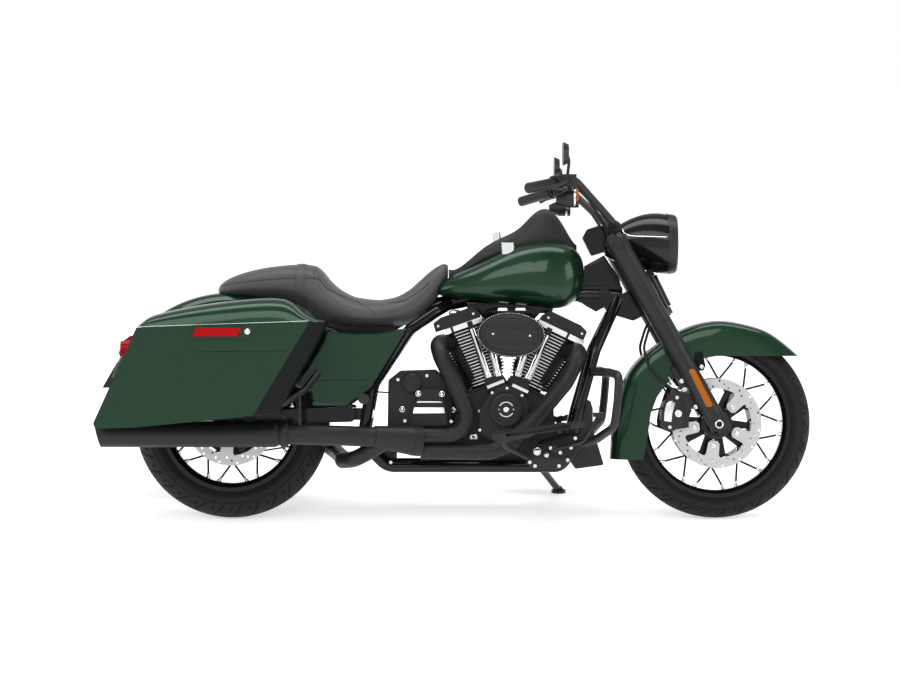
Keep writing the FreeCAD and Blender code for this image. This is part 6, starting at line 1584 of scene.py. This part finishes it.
    def air_cleaner(self) -> None:
        """Builds the air cleaner's face: a beaded edge, a raised racetrack with a rim, two steps and two screws."""
        shape = Shape()
        rows = []
        for half_x, half_z, power, y in ((101.5, 65.0, 2.1, -253), (101.5, 65.0, 2.1, -260), (99.5, 63.0, 2.2, -263),
                                         (97, 61, 2.4, -265.6), (93, 58, 2.5, -266.8), (90, 55.5, 2.5, -265.6),
                                         (88.5, 54, 2.5, -263.4), (87, 52.5, 2.5, -262.6), (60, 30, 2.6, -263.4),
                                         (20, 10, 2.4, -262.8), (0.2, 0.1, 2, -262.8)):
            rows.append([Vector((x, y, z)) for x, z in self.oval(half_x, half_z, power)])
        shape.add_grid(rows, closed_columns=True)
        face = lambda y: (lambda a, b, h: side_lift(y)(*self.on_cleaner(a, b), h))
        for height in (24.0, -25.0):
            half = 87.0 * (1 - (abs(height) / 54.0) ** 2.5) ** 0.4 - 1.0
            shape.plate([(-half, height - 1.6), (half, height - 1.6), (half, height + 1.6), (-half, height + 1.6)],
                        face(-262.2), 3.4)
        shape.plate([(-88, -22), (88, -22), (88, 21), (-88, 21)], face(-262.2), 1.6)
        shape.finish("air_cleaner_face", Body.CHASSIS, [SATIN_BLACK], "black_cast", sharp=24, merge=0.0)
        ring = [(x, -254.6, z) for x, z in self.oval(108.6, 70.8, 2.0, 160)]
        stitch_rows("air_cleaner_beads", [ring + ring[:1]], Body.CHASSIS, POLISHED, "chrome_trim", 6.2, 3.4, 1.4)
        places = [tuple(face(-263.6)(a, 0.0, 0.0)) for a in (-60, 61)]
        FASTENERS.add(Fastener.BUTTON, Body.CHASSIS, places, 4.0)

    def gearbox(self) -> None:
        """Builds the ribs of the gearbox cover and the ring of its round cover."""
        shape = Shape()
        y = Skin("gearbox").side(-150, 366, default=-160.0)
        shape.plate([(-203, 357), (-97, 357), (-100, 376), (-199, 376)],
                    lambda u, v, h: Vector((u, y - h - (376 - v) * 0.25, v)), 1.6)
        shape.plate([(-190, 392), (-107, 392), (-108, 396.5), (-189, 396.5)], side_lift(y), 2.6)
        shape.finish("gearbox_cover_ribs", Body.CHASSIS, [MACHINED], "chrome_trim", bevel=0.8)
        shell = Shape()
        shell.lathe([(0, 31), (-3, 31), (-5, 29), (-5, 22), (-3.4, 20.5), (-3.4, 0)], (-207, -141.6, 457),
                    (0, 1, 0), 56)
        shell.finish("gearbox_round_cover", Body.CHASSIS, [SATIN_BLACK], "black_cast", sharp=24)

    def under_tank(self) -> None:
        """Builds the slotted black strips and the small dome under the tank."""
        shape = Shape()
        slots = [[(80, 698), (115, 698), (112, 708), (83, 708)], [(139, 699), (177, 699), (174, 708), (142, 708)]]
        edge = [(-20, 690), (18, 690), (44, 662), (196, 662), (222, 690), (262, 690), (270, 720), (-24, 726)]
        shape.plate(edge, side_lift(-48), 4.0, slots)
        shape.plate(edge, side_lift(48, 1), 4.0, slots)
        shape.finish("under_tank_strip", Body.CHASSIS, [GLOSS_BLACK], "black_steel", bevel=0.8)
        dome = Shape()
        dome.ellipsoid((-62, -74, 690), (22, 14, 11), 12, 28)
        dome.lathe([(-14, 0), (-14, 9), (14, 9), (14, 0)], (-62, -60, 690), (0, 1, 0), 24)
        dome.finish("horn_dome", Body.CHASSIS, [CHROME], "chrome_trim", sharp=50)


@dataclass
class FrontEnd:
    """What shows on the fork, the lamp, the calipers and the handlebar."""

    fork_angle: float = math.radians(29.25)
    rake: float = math.radians(26.0)
    stem_reach: float = 982.5
    riser_foot: Point = (545.0, 0.0, 822.0)
    caliper: Flat = (690.0, 400.0)
    outline: tuple[Flat, ...] = ((651, 420), (642, 392), (630, 356), (624, 326), (626, 305), (634, 298), (668, 297),
                                 (702, 326),
                                 (706, 347), (700, 370), (690, 409), (679, 438), (663, 442))
    window: tuple[Flat, ...] = ((657, 399), (641, 388), (634, 356), (634, 329), (659, 325), (663, 355), (673, 390))
    bracket_bolts: tuple[Flat, ...] = ((691, 463), (703, 436), (740, 377))

    def build(self) -> None:
        """Builds everything on the steering."""
        for side in (-1, 1):
            self.cover_screws(side)
            self.axle_end(side)
            self.caliper_face(side)
            self.fender_tab(side)
            self.signal_ring(side)
        self.lamp()
        self.clamps()
        self.nacelle_trim()
        self.neck_ribs()
        self.cables()

    def clamps(self) -> None:
        """Builds the slim clamps between the legs, the stem, the risers and the bar's clamp."""
        sin, cos = math.sin(self.rake), math.cos(self.rake)
        axis, ahead = Vector((-sin, 0, cos)), Vector((cos, 0, sin))
        shape = Shape()
        for height, shift in ((705.0, -25.0), (808.0, 1.0)):
            foot = Vector((self.stem_reach - height * math.tan(self.rake), 0, height)) + axis * shift
            leg_x = LAYOUT.front_axle[0] - (foot.z - LAYOUT.front_axle[2]) * math.tan(self.fork_angle)
            set_back = (leg_x - foot.x) * cos
            ring = [(set_back + 30 * math.cos(t), 121 + 30 * math.sin(t)) for t in np.linspace(-0.9, 2.2, 12)]
            half = [(24, 0), (22, 40)] + ring + [(-26, 44)]
            outline = half + [(u, -v) for u, v in reversed(half[1:])]
            shape.plate(outline, lambda u, v, h, f=foot: f + ahead * u + Vector((0, v, 0)) + axis * h, 23.0)
        low = Vector((self.stem_reach - 705 * math.tan(self.rake), 0, 705))
        shape.lathe([(-30, 0), (-30, 16), (132, 16), (132, 13), (140, 12), (140, 0)], low, axis, 32)
        top = Vector(self.riser_foot) + axis * 172.0
        for side in (-1, 1):
            foot = Vector((self.riser_foot[0], side * 50.0, self.riser_foot[2]))
            shape.lathe([(-12, 14.6), (0, 14.6), (8, 13.4), (146, 13.4), (152, 14.8), (160, 14.8), (160, 0)], foot,
                        axis, 32)
            shape.lathe([(-17, 17), (-17, 23), (-15, 24.5), (15, 24.5), (17, 23), (17, 17)], (top.x, side * 50, top.z),
                        (0, 1, 0), 40)
        shape.lathe([(-33, 17), (-33, 19), (33, 19), (33, 17)], top, (0, 1, 0), 32)
        shape.finish("fork_clamps_and_risers", Body.STEERING, [SATIN_BLACK], "black_steel", ["triple_clamp"], bevel=0.8)

    def nacelle_trim(self) -> None:
        """Builds the bright spear along each side of the lamp shell and the seam of its bezel."""
        shape = Shape()
        skin = Skin("headlamp_nacelle")
        for side in (-1, 1):
            line = []
            for x, z in ((498, 972), (504, 957), (527, 948), (560, 946), (600, 945), (644, 943)):
                line.append((x, skin.side(x, z, side, side * 95.0) + side * 0.6, z))
            shape.tube(line, [1.4, 2.2, 2.4, 2.2, 2.0, 1.6], 10, smooth=4)
        _, (_, height), radius = skin.round_part(lambda v: v.x > 600)
        shape.lathe([(-1.2, radius - 3), (-1.2, radius + 0.9), (1.2, radius + 0.9), (1.2, radius - 3)],
                    (650, 0, height), (1, 0, 0), 72, 1)
        shape.finish("nacelle_spear", Body.STEERING, [POLISHED, GLOSS_BLACK], "chrome_trim", sharp=60)

    def cover_screws(self, side: int) -> None:
        """Builds the ringed screw and the lower screw of one fork cover."""
        skin = Skin("fork_legs", "headlamp_nacelle", "triple_clamp")
        shape = Shape()
        y = skin.side(481, 918, side, side * 150.0)
        shape.lathe([(0, 19.5), (2.6, 19), (2.6, 16), (0.4, 15.2), (0.4, 9), (3.6, 8.6), (4.4, 6.6), (4.4, 3.2),
                     (3, 2.8), (3, 0)], (481, y, 918), (0, side, 0), 40)
        shape.finish(sided("fork_cover_ring", side), Body.STEERING, [SATIN_BLACK], "black_steel", sharp=26)
        FASTENERS.add(Fastener.BUTTON, Body.STEERING, [(563, skin.side(563, 770, side, side * 150.0), 770)], 6.0, side,
                      SATIN_BLACK)

    def axle_end(self, side: int) -> None:
        """Builds the chromed ring round the axle's open end, and a black disc in the bore as painted shade."""
        shape = Shape()
        centre = (LAYOUT.front_axle[0], side * 165.0, LAYOUT.front_axle[2])
        shape.lathe([(-3, 9.6), (0.6, 9.8), (1.4, 10.8), (1.4, 12.6), (0.4, 13.8), (-3, 14.2)], centre,
                    (0, side, 0), 40)
        # A black disc inside the bore stands for the shade in the hollow axle: painted shade.
        shape.lathe([(-14, 0), (-14, 9.3), (-13, 9.3), (-13, 0)], centre, (0, side, 0), 32, 1)
        shape.finish(sided("axle_ring", side), Body.STEERING, [CHROME, MATTE_BLACK], "chrome_trim")

    def caliper_face(self, side: int) -> None:
        """Builds one caliper's curved cover, its bright window, its bolts and the hose's end."""
        skin = Skin("front_calipers", "fork_legs")
        y = skin.side(self.caliper[0] - 20, self.caliper[1] - 40, side, side * 130.0)
        shape = Shape()
        shape.plate(self.outline, side_lift(y, side), 6.0, [self.window])
        shape.plate(self.window, side_lift(y, side), 2.0, material=1)
        shape.lathe([(0, 12.5), (3, 12.2), (4.2, 10.4), (4.2, 6), (3.2, 5.6), (3.2, 0)], (682, y + side * 6, 355),
                    (0, side, 0), 32, 1)
        shape.finish(sided("caliper_cover", side), Body.STEERING, [SATIN_BLACK, POLISHED], "black_cast", bevel=1.0)
        places = [(677, y + side * 6.0, 408), (653, y + side * 6.0, 309)]
        FASTENERS.add(Fastener.SOCKET, Body.STEERING, places, 6.6, side)
        bolts = [(x, skin.side(x, z, side, y), z) for x, z in self.bracket_bolts]
        FASTENERS.add(Fastener.SOCKET, Body.STEERING, bolts, 8.4, side)
        hose = Shape()
        hose.tube([(648, y, 477), (661, y, 462), (674, y, 446)], [3.4, 4.4, 4.4], 14, smooth=3)
        hose.finish(sided("hose_ferrule", side), Body.STEERING, [CHROME], "chrome_trim", sharp=50)

    def fender_tab(self, side: int) -> None:
        """Builds the tab and the bolt under one edge of the front fender; the green tab is coloured near-black as
        painted shade under the fender.
        """
        y = Skin("front_fender").side(742, 566, side, side * 78.0)
        shape = Shape()
        shape.plate([(738, 560), (736, 512), (748, 496), (768, 498), (774, 514), (764, 560)], side_lift(y, side), 3)
        # The tab's near-black colour is painted shade under the fender's edge.
        shape.finish(sided("fender_tab", side), Body.STEERING, [PAINTED_SHADE], "green_paint", bevel=0.8)
        FASTENERS.add(Fastener.HEX, Body.STEERING, [(759, y + side * 3.0, 510)], 7.0, side)

    def signal_ring(self, side: int) -> None:
        """Builds the bright ring and the amber lens of one bullet signal."""
        front, middle, radius = Skin("front_turn_signals").round_part(lambda v: v.y * side >= 0)
        shape = Shape()
        shape.lathe([(-13, radius * 0.99), (-12, radius + 1), (-7, radius + 1.2), (-6, radius * 0.98)],
                    (front - 4, *middle), (1, 0, 0), 40)
        shape.lathe([(-8, radius * 0.90), (0, radius * 0.86), (0.8, radius * 0.6), (1, 0)], (front - 1, *middle),
                    (1, 0, 0), 40, 1)
        shape.finish(sided("front_signal_ring", side), Body.STEERING, [CHROME, AMBER_LENS],
                     "chrome_trim")

    def lamp(self) -> None:
        """Builds the lamp's bowl and its bulb shield."""
        front, middle, radius = Skin("headlamp_bezel").round_part()
        shape = Shape()
        shape.lathe([(-26, 0), (-30, radius * 0.25), (-24, radius * 0.55), (-12, radius * 0.78), (-4, radius * 0.84)],
                    (front, *middle), (1, 0, 0), 64)
        shape.lathe([(-16, 0), (-12, 16), (-9, 24), (-8, 26), (-10, 27), (-18, 24)], (front, *middle), (1, 0, 0), 40)
        shape.finish("lamp_bowl", Body.STEERING, [CHROME], "chrome_trim", sharp=40, outward=False)

    def neck_ribs(self) -> None:
        """Builds the neck's cover plates with their level ribs and round bosses."""
        shape = Shape()
        skin = Skin("frame", "triple_clamp")
        for side in (-1, 1):
            for z in (786, 771, 756, 741):
                y = skin.side(420, z, side, side * 20.0)
                shape.plate([(372, z), (458, z + 4), (458, z + 8), (372, z + 4)], side_lift(y, side), 2.6)
            shape.plate([(351, 732), (373, 849), (438, 885), (488, 812), (500, 766), (472, 732), (413, 695),
                         (391, 707)],
                        side_lift(side * 14.0, side), 4.0)
            shape.lathe([(0, 12), (3, 11.6), (4, 10), (4, 8), (2.4, 7.6), (2.4, 0)], (402, side * 17.5, 772),
                        (0, side, 0), 28)
        shape.finish("neck_cover_ribs", Body.CHASSIS, [SATIN_BLACK], "black_steel", bevel=0.6)

    def cables(self) -> None:
        """Builds the throttle and clutch lines that run from the controls down to the neck."""
        shape = Shape()
        for side, height in ((-1, 0.0), (1, 6.0)):
            for spread in (0.0, 9.0):
                shape.tube([(226, side * (330 - spread), 1118 + height), (290, side * (262 - spread), 1126),
                            (372, side * (170 - spread), 1070), (432, side * (112 - spread), 990 - spread),
                            (452, side * (84 - spread), 930 - spread)], 3.4, 10, smooth=6)
        shape.finish("control_lines", Body.STEERING, [BLACK_RUBBER], "rubber", sharp=60)


@dataclass
class Luggage:
    """The bags' latch panels, locks, reflector frames and seam lips, and the smooth skins of the painted parts."""

    face: float = 470.0
    panel: tuple[Flat, ...] = ((-916, 603), (-904, 646), (-694, 646), (-730, 603))
    reflector: tuple[Flat, ...] = ((-908, 612), (-894, 639), (-747, 639), (-762, 612))
    smooth_nodes: tuple = (
        ("fuel_tank", Body.CHASSIS, GREEN_PAINT), ("front_fender", Body.STEERING, GREEN_PAINT),
        ("rear_fender", Body.CHASSIS, GREEN_PAINT), ("tank_console", Body.CHASSIS, BLACK_PLASTIC),
        ("headlamp_nacelle", Body.STEERING, GLOSS_BLACK), ("saddlebag_right", Body.CHASSIS, GREEN_PAINT),
        ("saddlebag_left", Body.CHASSIS, GREEN_PAINT), ("side_covers", Body.CHASSIS, GREEN_PAINT),
    )

    def build(self) -> None:
        """Builds everything on the bags."""
        for side, lid in ((-1, Body.LID_RIGHT), (1, Body.LID_LEFT)):
            self.latch(side)
            self.seam_lip(side, lid)
            self.clamp(side)
            self.front_panel(side)
        for name, body, finish in self.smooth_nodes:
            self.smooth_skin(name, body, finish)

    @staticmethod
    def grown(outline: Sequence[Flat], reach: float) -> list[Flat]:
        """The outline moved away from its own middle by about the reach."""
        x = sum(p[0] for p in outline) / len(outline)
        z = sum(p[1] for p in outline) / len(outline)
        return [(px + math.copysign(reach * 1.3, px - x), pz + math.copysign(reach, pz - z)) for px, pz in outline]

    def latch(self, side: int) -> None:
        """Builds one bag's latch panel: a green plate with a raised border, a black frame and a lock."""
        shape = Shape()
        y = side * (self.face + 5.0)
        shape.plate(self.panel, side_lift(y, side), 1.6)
        shape.plate(self.grown(self.panel, 1.5), side_lift(y, side), 4.2, [self.grown(self.panel, -2.6)])
        shape.plate(self.grown(self.reflector, 2.2), side_lift(y, side), 4.6, [list(self.reflector)], material=1)
        shape.plate(self.reflector, side_lift(y, side), 4.3, material=3)
        shape.lathe([(-4, 9.4), (4, 9.4), (5.2, 8.2), (5.2, 3), (4.2, 2.6), (4.2, 0)], (-729, y, 627), (0, side, 0),
                    32, 2)
        shape.finish(sided("bag_latch_panel", side), Body.CHASSIS, [GREEN_PAINT, GLOSS_BLACK, CHROME, RED_LENS],
                     "green_paint",
                     bevel=0.7)

    def seam_lip(self, side: int, lid: Body) -> None:
        """Builds the lip along the foot of one lid, coloured pale as a painted highlight."""
        shape = Shape()
        y = side * (self.face - 0.6)
        shape.tube([(-1084, y, 642), (-900, y, 648.2), (-700, y, 655), (-534, y, 661)], 1.5, 10, smooth=4)
        # The lip's pale colour is a painted highlight.
        shape.finish(sided("lid_lip", side), lid, [PAINTED_HIGHLIGHT], "green_paint", sharp=60)

    def front_panel(self, side: int) -> None:
        """Builds the crease lines of one bag's face and side cover, coloured near-black as painted shade, and a dark
        block under the seat that stands for the shade in the gap there.
        """
        shape = Shape()
        y = side * self.face
        # The crease lines are coloured near-black as painted shade in the creases.
        shape.tube([(-900, y, 562), (-604, y, 565)], 0.9, 8, smooth=1)
        shape.tube([(-556, side * 211, 467), (-356, side * 211, 467)], 0.9, 8, smooth=1)
        shape.finish(sided("bag_crease", side), Body.CHASSIS, [PAINTED_SHADE], "green_paint", sharp=60)
        # A dark block fills the gap under the seat as painted shade.
        gap_shade = Shape()
        gap_shade.plate([(-528, 640), (-500, 616), (-300, 612), (-262, 640), (-270, 655), (-520, 668)],
                  side_lift(side * 30.0, side), 62.0)
        gap_shade.finish(sided("seat_pan", side), Body.CHASSIS, [MATTE_BLACK], "black_plastic", bevel=2.0)

    def clamp(self, side: int) -> None:
        """Builds the clamp at one muffler's front."""
        _, middle, radius = Skin(sided("muffler", side)).round_part(lambda v: abs(v.x + 640) < 60)
        shape = Shape()
        shape.lathe([(-11, radius - 2), (-11, radius + 1.6), (-9, radius + 2.4), (9, radius + 2.4), (11, radius + 1.6),
                     (11, radius - 2)], (-620, *middle), (1, 0, 0), 64)
        shape.finish(sided("muffler_clamp", side), Body.CHASSIS, [MATTE_BLACK], "black_exhaust")

    def smooth_skin(self, name: str, body: Body, finish: Finish) -> None:
        """Shows one painted node again with its soft turns shaded smoothly; on the bags and side covers its
        forward-turned faces take the near-black painted shade.
        """
        shape = Shape()
        shape.copy_node(name)
        shape.bm.normal_update()
        boxy = name.startswith(("saddlebag", "side_covers"))
        # Forward-turned faces of the bags and side covers get the near-black colour: painted shade and dark reflection,
        # not the paint's own colour.
        for face in shape.bm.faces:
            face.material_index = int(boxy and 0.28 < face.normal.x < 0.97)
        slot = "green_paint" if finish is GREEN_PAINT else "black_plastic"
        shape.finish(name + "_painted", body, [finish, PAINTED_SHADE], slot, [name], sharp=18 if boxy else 44, merge=0.02,
                     outward=False)


@dataclass
class Riding:
    """The boards' rubbers and skirts, the foot brackets, the frame's bolts and the lamp trim."""

    board: Point = (204.0, 366.0, 314.0)
    tilt: float = math.radians(7.3)
    bracket: tuple[Flat, ...] = ((166, 202), (188, 181), (284, 181), (314, 204), (346, 262), (340, 297), (290, 301),
                                 (212, 272))
    bolts: tuple[Flat, ...] = ((248, 248), (279, 233), (288, 251), (314, 249), (303, 209), (275, 190), (180, 202),
                               (197, 190),
                               (328, 280))
    frame_bolts: tuple[Flat, ...] = ((-277, 193), (-254, 524), (335, 417))

    def build(self) -> None:
        """Builds everything that the rider's feet meet, and the small trim near it."""
        for side in (-1, 1):
            self.floor_rubber(side)
            self.foot_bracket(side)
        skin = Skin("frame", "chin_guard", "engine_crankcase")
        FASTENERS.add(Fastener.SOCKET, Body.CHASSIS, skin.on_side(self.frame_bolts), 6.0)
        self.exhaust_clip()
        self.lamp_trim()

    def floor_rubber(self, side: int) -> None:
        """Builds one board's ribbed rubber and its outer skirt."""
        x0, y0, z0 = self.board
        cos, sin = math.cos(self.tilt), math.sin(self.tilt)
        lay = lambda u, v, h: Vector((x0 + u * cos - h * sin, side * (y0 + v), z0 + u * sin + h * cos))
        shape = Shape()
        shape.plate(superellipse(148, 51, 4.5, 56), lay, 4.5)
        for k in range(13):
            u = -126 + 21 * k
            shape.plate([(u - 4, -42), (u + 4, -42), (u + 4, 42), (u - 4, 42)], lambda a, b, h: lay(a, b, h + 4.4), 3)
        shape.finish(sided("board_rubber", side), Body.CHASSIS, [BLACK_RUBBER], "rubber", bevel=0.8)
        skirt = Shape()
        side_on = lambda u, v, h: lay(u, 51.0 + h, v)
        skirt.plate([(-150, 2), (-150, -13), (-136, -29), (-30, -24), (-10, -15), (150, -14), (152, 2)], side_on, 5)
        skirt.finish(sided("board_skirt", side), Body.CHASSIS, [SATIN_BLACK], "black_steel", bevel=1.2)

    def foot_bracket(self, side: int) -> None:
        """Builds one side's bracket plate with its bolts."""
        shape = Shape()
        y = side * 316.0
        shape.plate(self.bracket, side_lift(y, side), 5.0)
        shape.lathe([(0, 17), (4, 16.4), (5.5, 14), (5.5, 12.4), (3.8, 12), (3.8, 0)], (234, y + side * 4.8, 225),
                    (0, side, 0), 32)
        shape.finish(sided("foot_bracket", side), Body.CHASSIS, [GLOSS_BLACK], "black_steel", bevel=1.0)
        places = [(x, y + side * 5.0, z) for x, z in self.bolts]
        FASTENERS.add(Fastener.SOCKET, Body.CHASSIS, places, 6.4, side)
        FASTENERS.add(Fastener.DOME, Body.CHASSIS, [(204, y + side * 5.0, 237)], 11.0, side)
        FASTENERS.add(Fastener.HEX, Body.CHASSIS, [(234, y + side * 8.6, 225)], 6.6, side)

    def exhaust_clip(self) -> None:
        """Builds the small bright clip over the header's bend."""
        shape = Shape()
        y = Skin("exhaust_headers", "engine_crankcase").side(-1, 276, default=-190.0)
        shape.plate([(-15, 268), (13, 268), (13, 280), (9, 284), (-11, 284), (-15, 280)], side_lift(y + 4), 6,
                    [disc_points((-2, 276), 4.2, 20)])
        shape.finish("header_clip", Body.CHASSIS, [POLISHED], "chrome_trim", bevel=0.6)

    def lamp_trim(self) -> None:
        """Builds the bright strip over the tail lamp."""
        shape = Shape()
        shape.plate([(-1174, 588), (-1130, 590), (-1130, 595), (-1170, 594)], side_lift(-44, 1), 88)
        shape.finish("tail_lamp_trim", Body.CHASSIS, [CHROME], "chrome_trim", bevel=0.8)


class SolidsDress:
    """Gives each CAD node that stays in view its finish."""

    nodes: dict[Finish, str] = {
        GLOSS_BLACK: "frame swingarm front_wheel rear_wheel",
        CAST_BLACK: "engine_crankcase cylinders rocker_covers pushrod_tubes gearbox",
        SATIN_BLACK: "air_cleaner primary_cover rear_caliper rear_shocks floorboards foot_controls engine_guard "
                     "bag_guards triple_clamp fork_legs handlebar hand_controls mirrors front_turn_signals "
                     "headlamp_nacelle headlamp_bezel front_calipers rear_pulley side_stand",
        MATTE_BLACK: "exhaust_headers muffler_right muffler_left",
        BLACK_RUBBER: "drive_belt brake_hoses",
        GREEN_PAINT: "fuel_tank rear_fender side_covers saddlebag_right saddlebag_left bag_latches front_fender "
                     "bag_lid_right bag_lid_left",
        BLACK_PLASTIC: "tank_console plate_bracket chin_guard",
        CHROME: "tank_fittings front_axle",
        SEAT_VINYL: "seat",
        RED_LENS: "bag_reflectors rear_lamps",
        LAMP_GLASS: "headlamp_lens",
        AMBER_LENS: "fork_reflectors",
        TYRE_RUBBER: "front_tyre rear_tyre",
        DISC_STEEL: "front_discs rear_disc",
    }

    def build(self) -> None:
        """Puts each finish on its node's slots."""
        for finish, names in self.nodes.items():
            for name in names.split():
                for slot in frame["nodes"][name].material_slots:
                    slot.material = finish.material()


@dataclass
class Studio:
    """The pale floor, the soft lights and the camera."""

    floor_tone: float = 0.90
    floor_size: float = 400.0
    floor_glow: float = 0.55

    def build(self) -> None:
        """Builds the floor, the lights and the camera."""
        self.floor()
        self.light("key_light", (-1.2, -5.5, 5.2), (0.0, 0.0, 0.6), (5.5, 3.2), 210, (1.0, 0.99, 0.97))
        self.light("sky_light", (0.0, 0.6, 5.6), (0.0, 0.0, 0.4), (7.0, 2.2), 260, (0.93, 0.93, 1.0))
        self.light("front_light", (5.6, -2.2, 2.6), (0.2, 0.0, 0.6), (2.6, 2.6), 70, (1.0, 1.0, 1.0))
        self.light("rear_light", (-5.6, -1.8, 2.4), (-0.4, 0.0, 0.6), (2.4, 2.4), 60, (0.97, 0.98, 1.0))
        self.air()
        bpy.context.scene.view_settings.view_transform = "Standard"
        self.camera()

    def air(self) -> None:
        """Lights the air: white all round at eye height, and dimmer overhead so that dark paint keeps its depth."""
        world = bpy.data.worlds.new("studio_air")
        bpy.context.scene.world = world
        world.use_nodes = True
        net = Wiring(world.node_tree)
        split = net.add("ShaderNodeSeparateXYZ", {"Vector": net.add("ShaderNodeTexCoord", {})["Generated"]})
        fade = net.add("ShaderNodeMapRange", {"Value": split["Z"], "From Min": 0.12, "From Max": 0.55, "To Min": 1.05,
                                              "To Max": 0.42}, interpolation_type="SMOOTHSTEP")["Result"]
        net.feed(world.node_tree.nodes["Background"], {"Strength": fade, "Color": (1.0, 1.0, 1.0, 1.0)})

    def floor(self) -> None:
        """Builds the plain pale floor."""
        half = self.floor_size / 2
        mesh = bpy.data.meshes.new("studio_floor")
        mesh.from_pydata([(-half, -half, 0), (half, -half, 0), (half, half, 0), (-half, half, 0)], [], [(0, 1, 2, 3)])
        obj = new_object("studio_floor", mesh)
        tone = self.floor_tone
        paint = Finish("floor_paint", (tone, tone, tone), (tone * 0.98, tone * 0.98, tone * 0.98), roughness=0.8,
                       spread=0.1, bump=0.0).material()
        glow = paint.node_tree.nodes["Principled BSDF"].inputs
        glow["Emission Color"].default_value = (1.0, 1.0, 1.0, 1.0)
        glow["Emission Strength"].default_value = self.floor_glow
        mesh.materials.append(paint)
        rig.stage(obj)

    def light(self, name: str, place: Point, aim: Point, size: Flat, power: float, colour: Colour) -> None:
        """Hangs one soft rectangular light.

        Args:
            name: The light's name.
            place: Where it hangs, in metres.
            aim: The point that it faces.
            size: Its width and height, in metres.
            power: Its power in watts.
            colour: Its colour.
        """
        lamp = bpy.data.lights.new(name, "AREA")
        lamp.shape = "RECTANGLE"
        lamp.size, lamp.size_y = size
        lamp.energy = power
        lamp.color = colour
        obj = new_object(name, lamp)
        obj.location = place
        obj.rotation_mode = "QUATERNION"
        obj.rotation_quaternion = (Vector(aim) - Vector(place)).to_track_quat("-Z", "Y")

    def camera(self) -> None:
        """Places the camera square to the machine's own middle plane."""
        lens = bpy.data.cameras.new("photo_camera")
        lens.lens = LAYOUT.lens
        lens.clip_end = 1000.0
        obj = new_object("photo_camera", lens)
        x, z = LAYOUT.camera_aim
        obj.location = PARKING.point((x, -LAYOUT.camera_distance, z))
        obj.rotation_mode = "QUATERNION"
        turn = Matrix.Rotation(-PARKING.lean, 3, "X") @ Matrix.Rotation(math.radians(90), 3, "X")
        obj.rotation_quaternion = turn.to_quaternion()
        bpy.context.scene.camera = obj


def main() -> None:
    """Builds every sub-assembly in order and reports each piece."""
    logging.basicConfig(level=logging.INFO, format="%(name)s: %(message)s")
    assemblies = [SolidsDress(), Wheels(), SaddleCover(), BagLids(), Engine(), FrontEnd(), Luggage(), Riding(),
                  FASTENERS, Studio()]
    for assembly in assemblies:
        log.info("building %s", type(assembly).__name__)
        assembly.build()
    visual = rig.bounds()
    with open("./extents.json", "w") as report:
        json.dump({"cad": [list(corner) for corner in cad_box], "visual": [list(corner) for corner in visual]}, report)


if __name__ == "__main__":
    main()
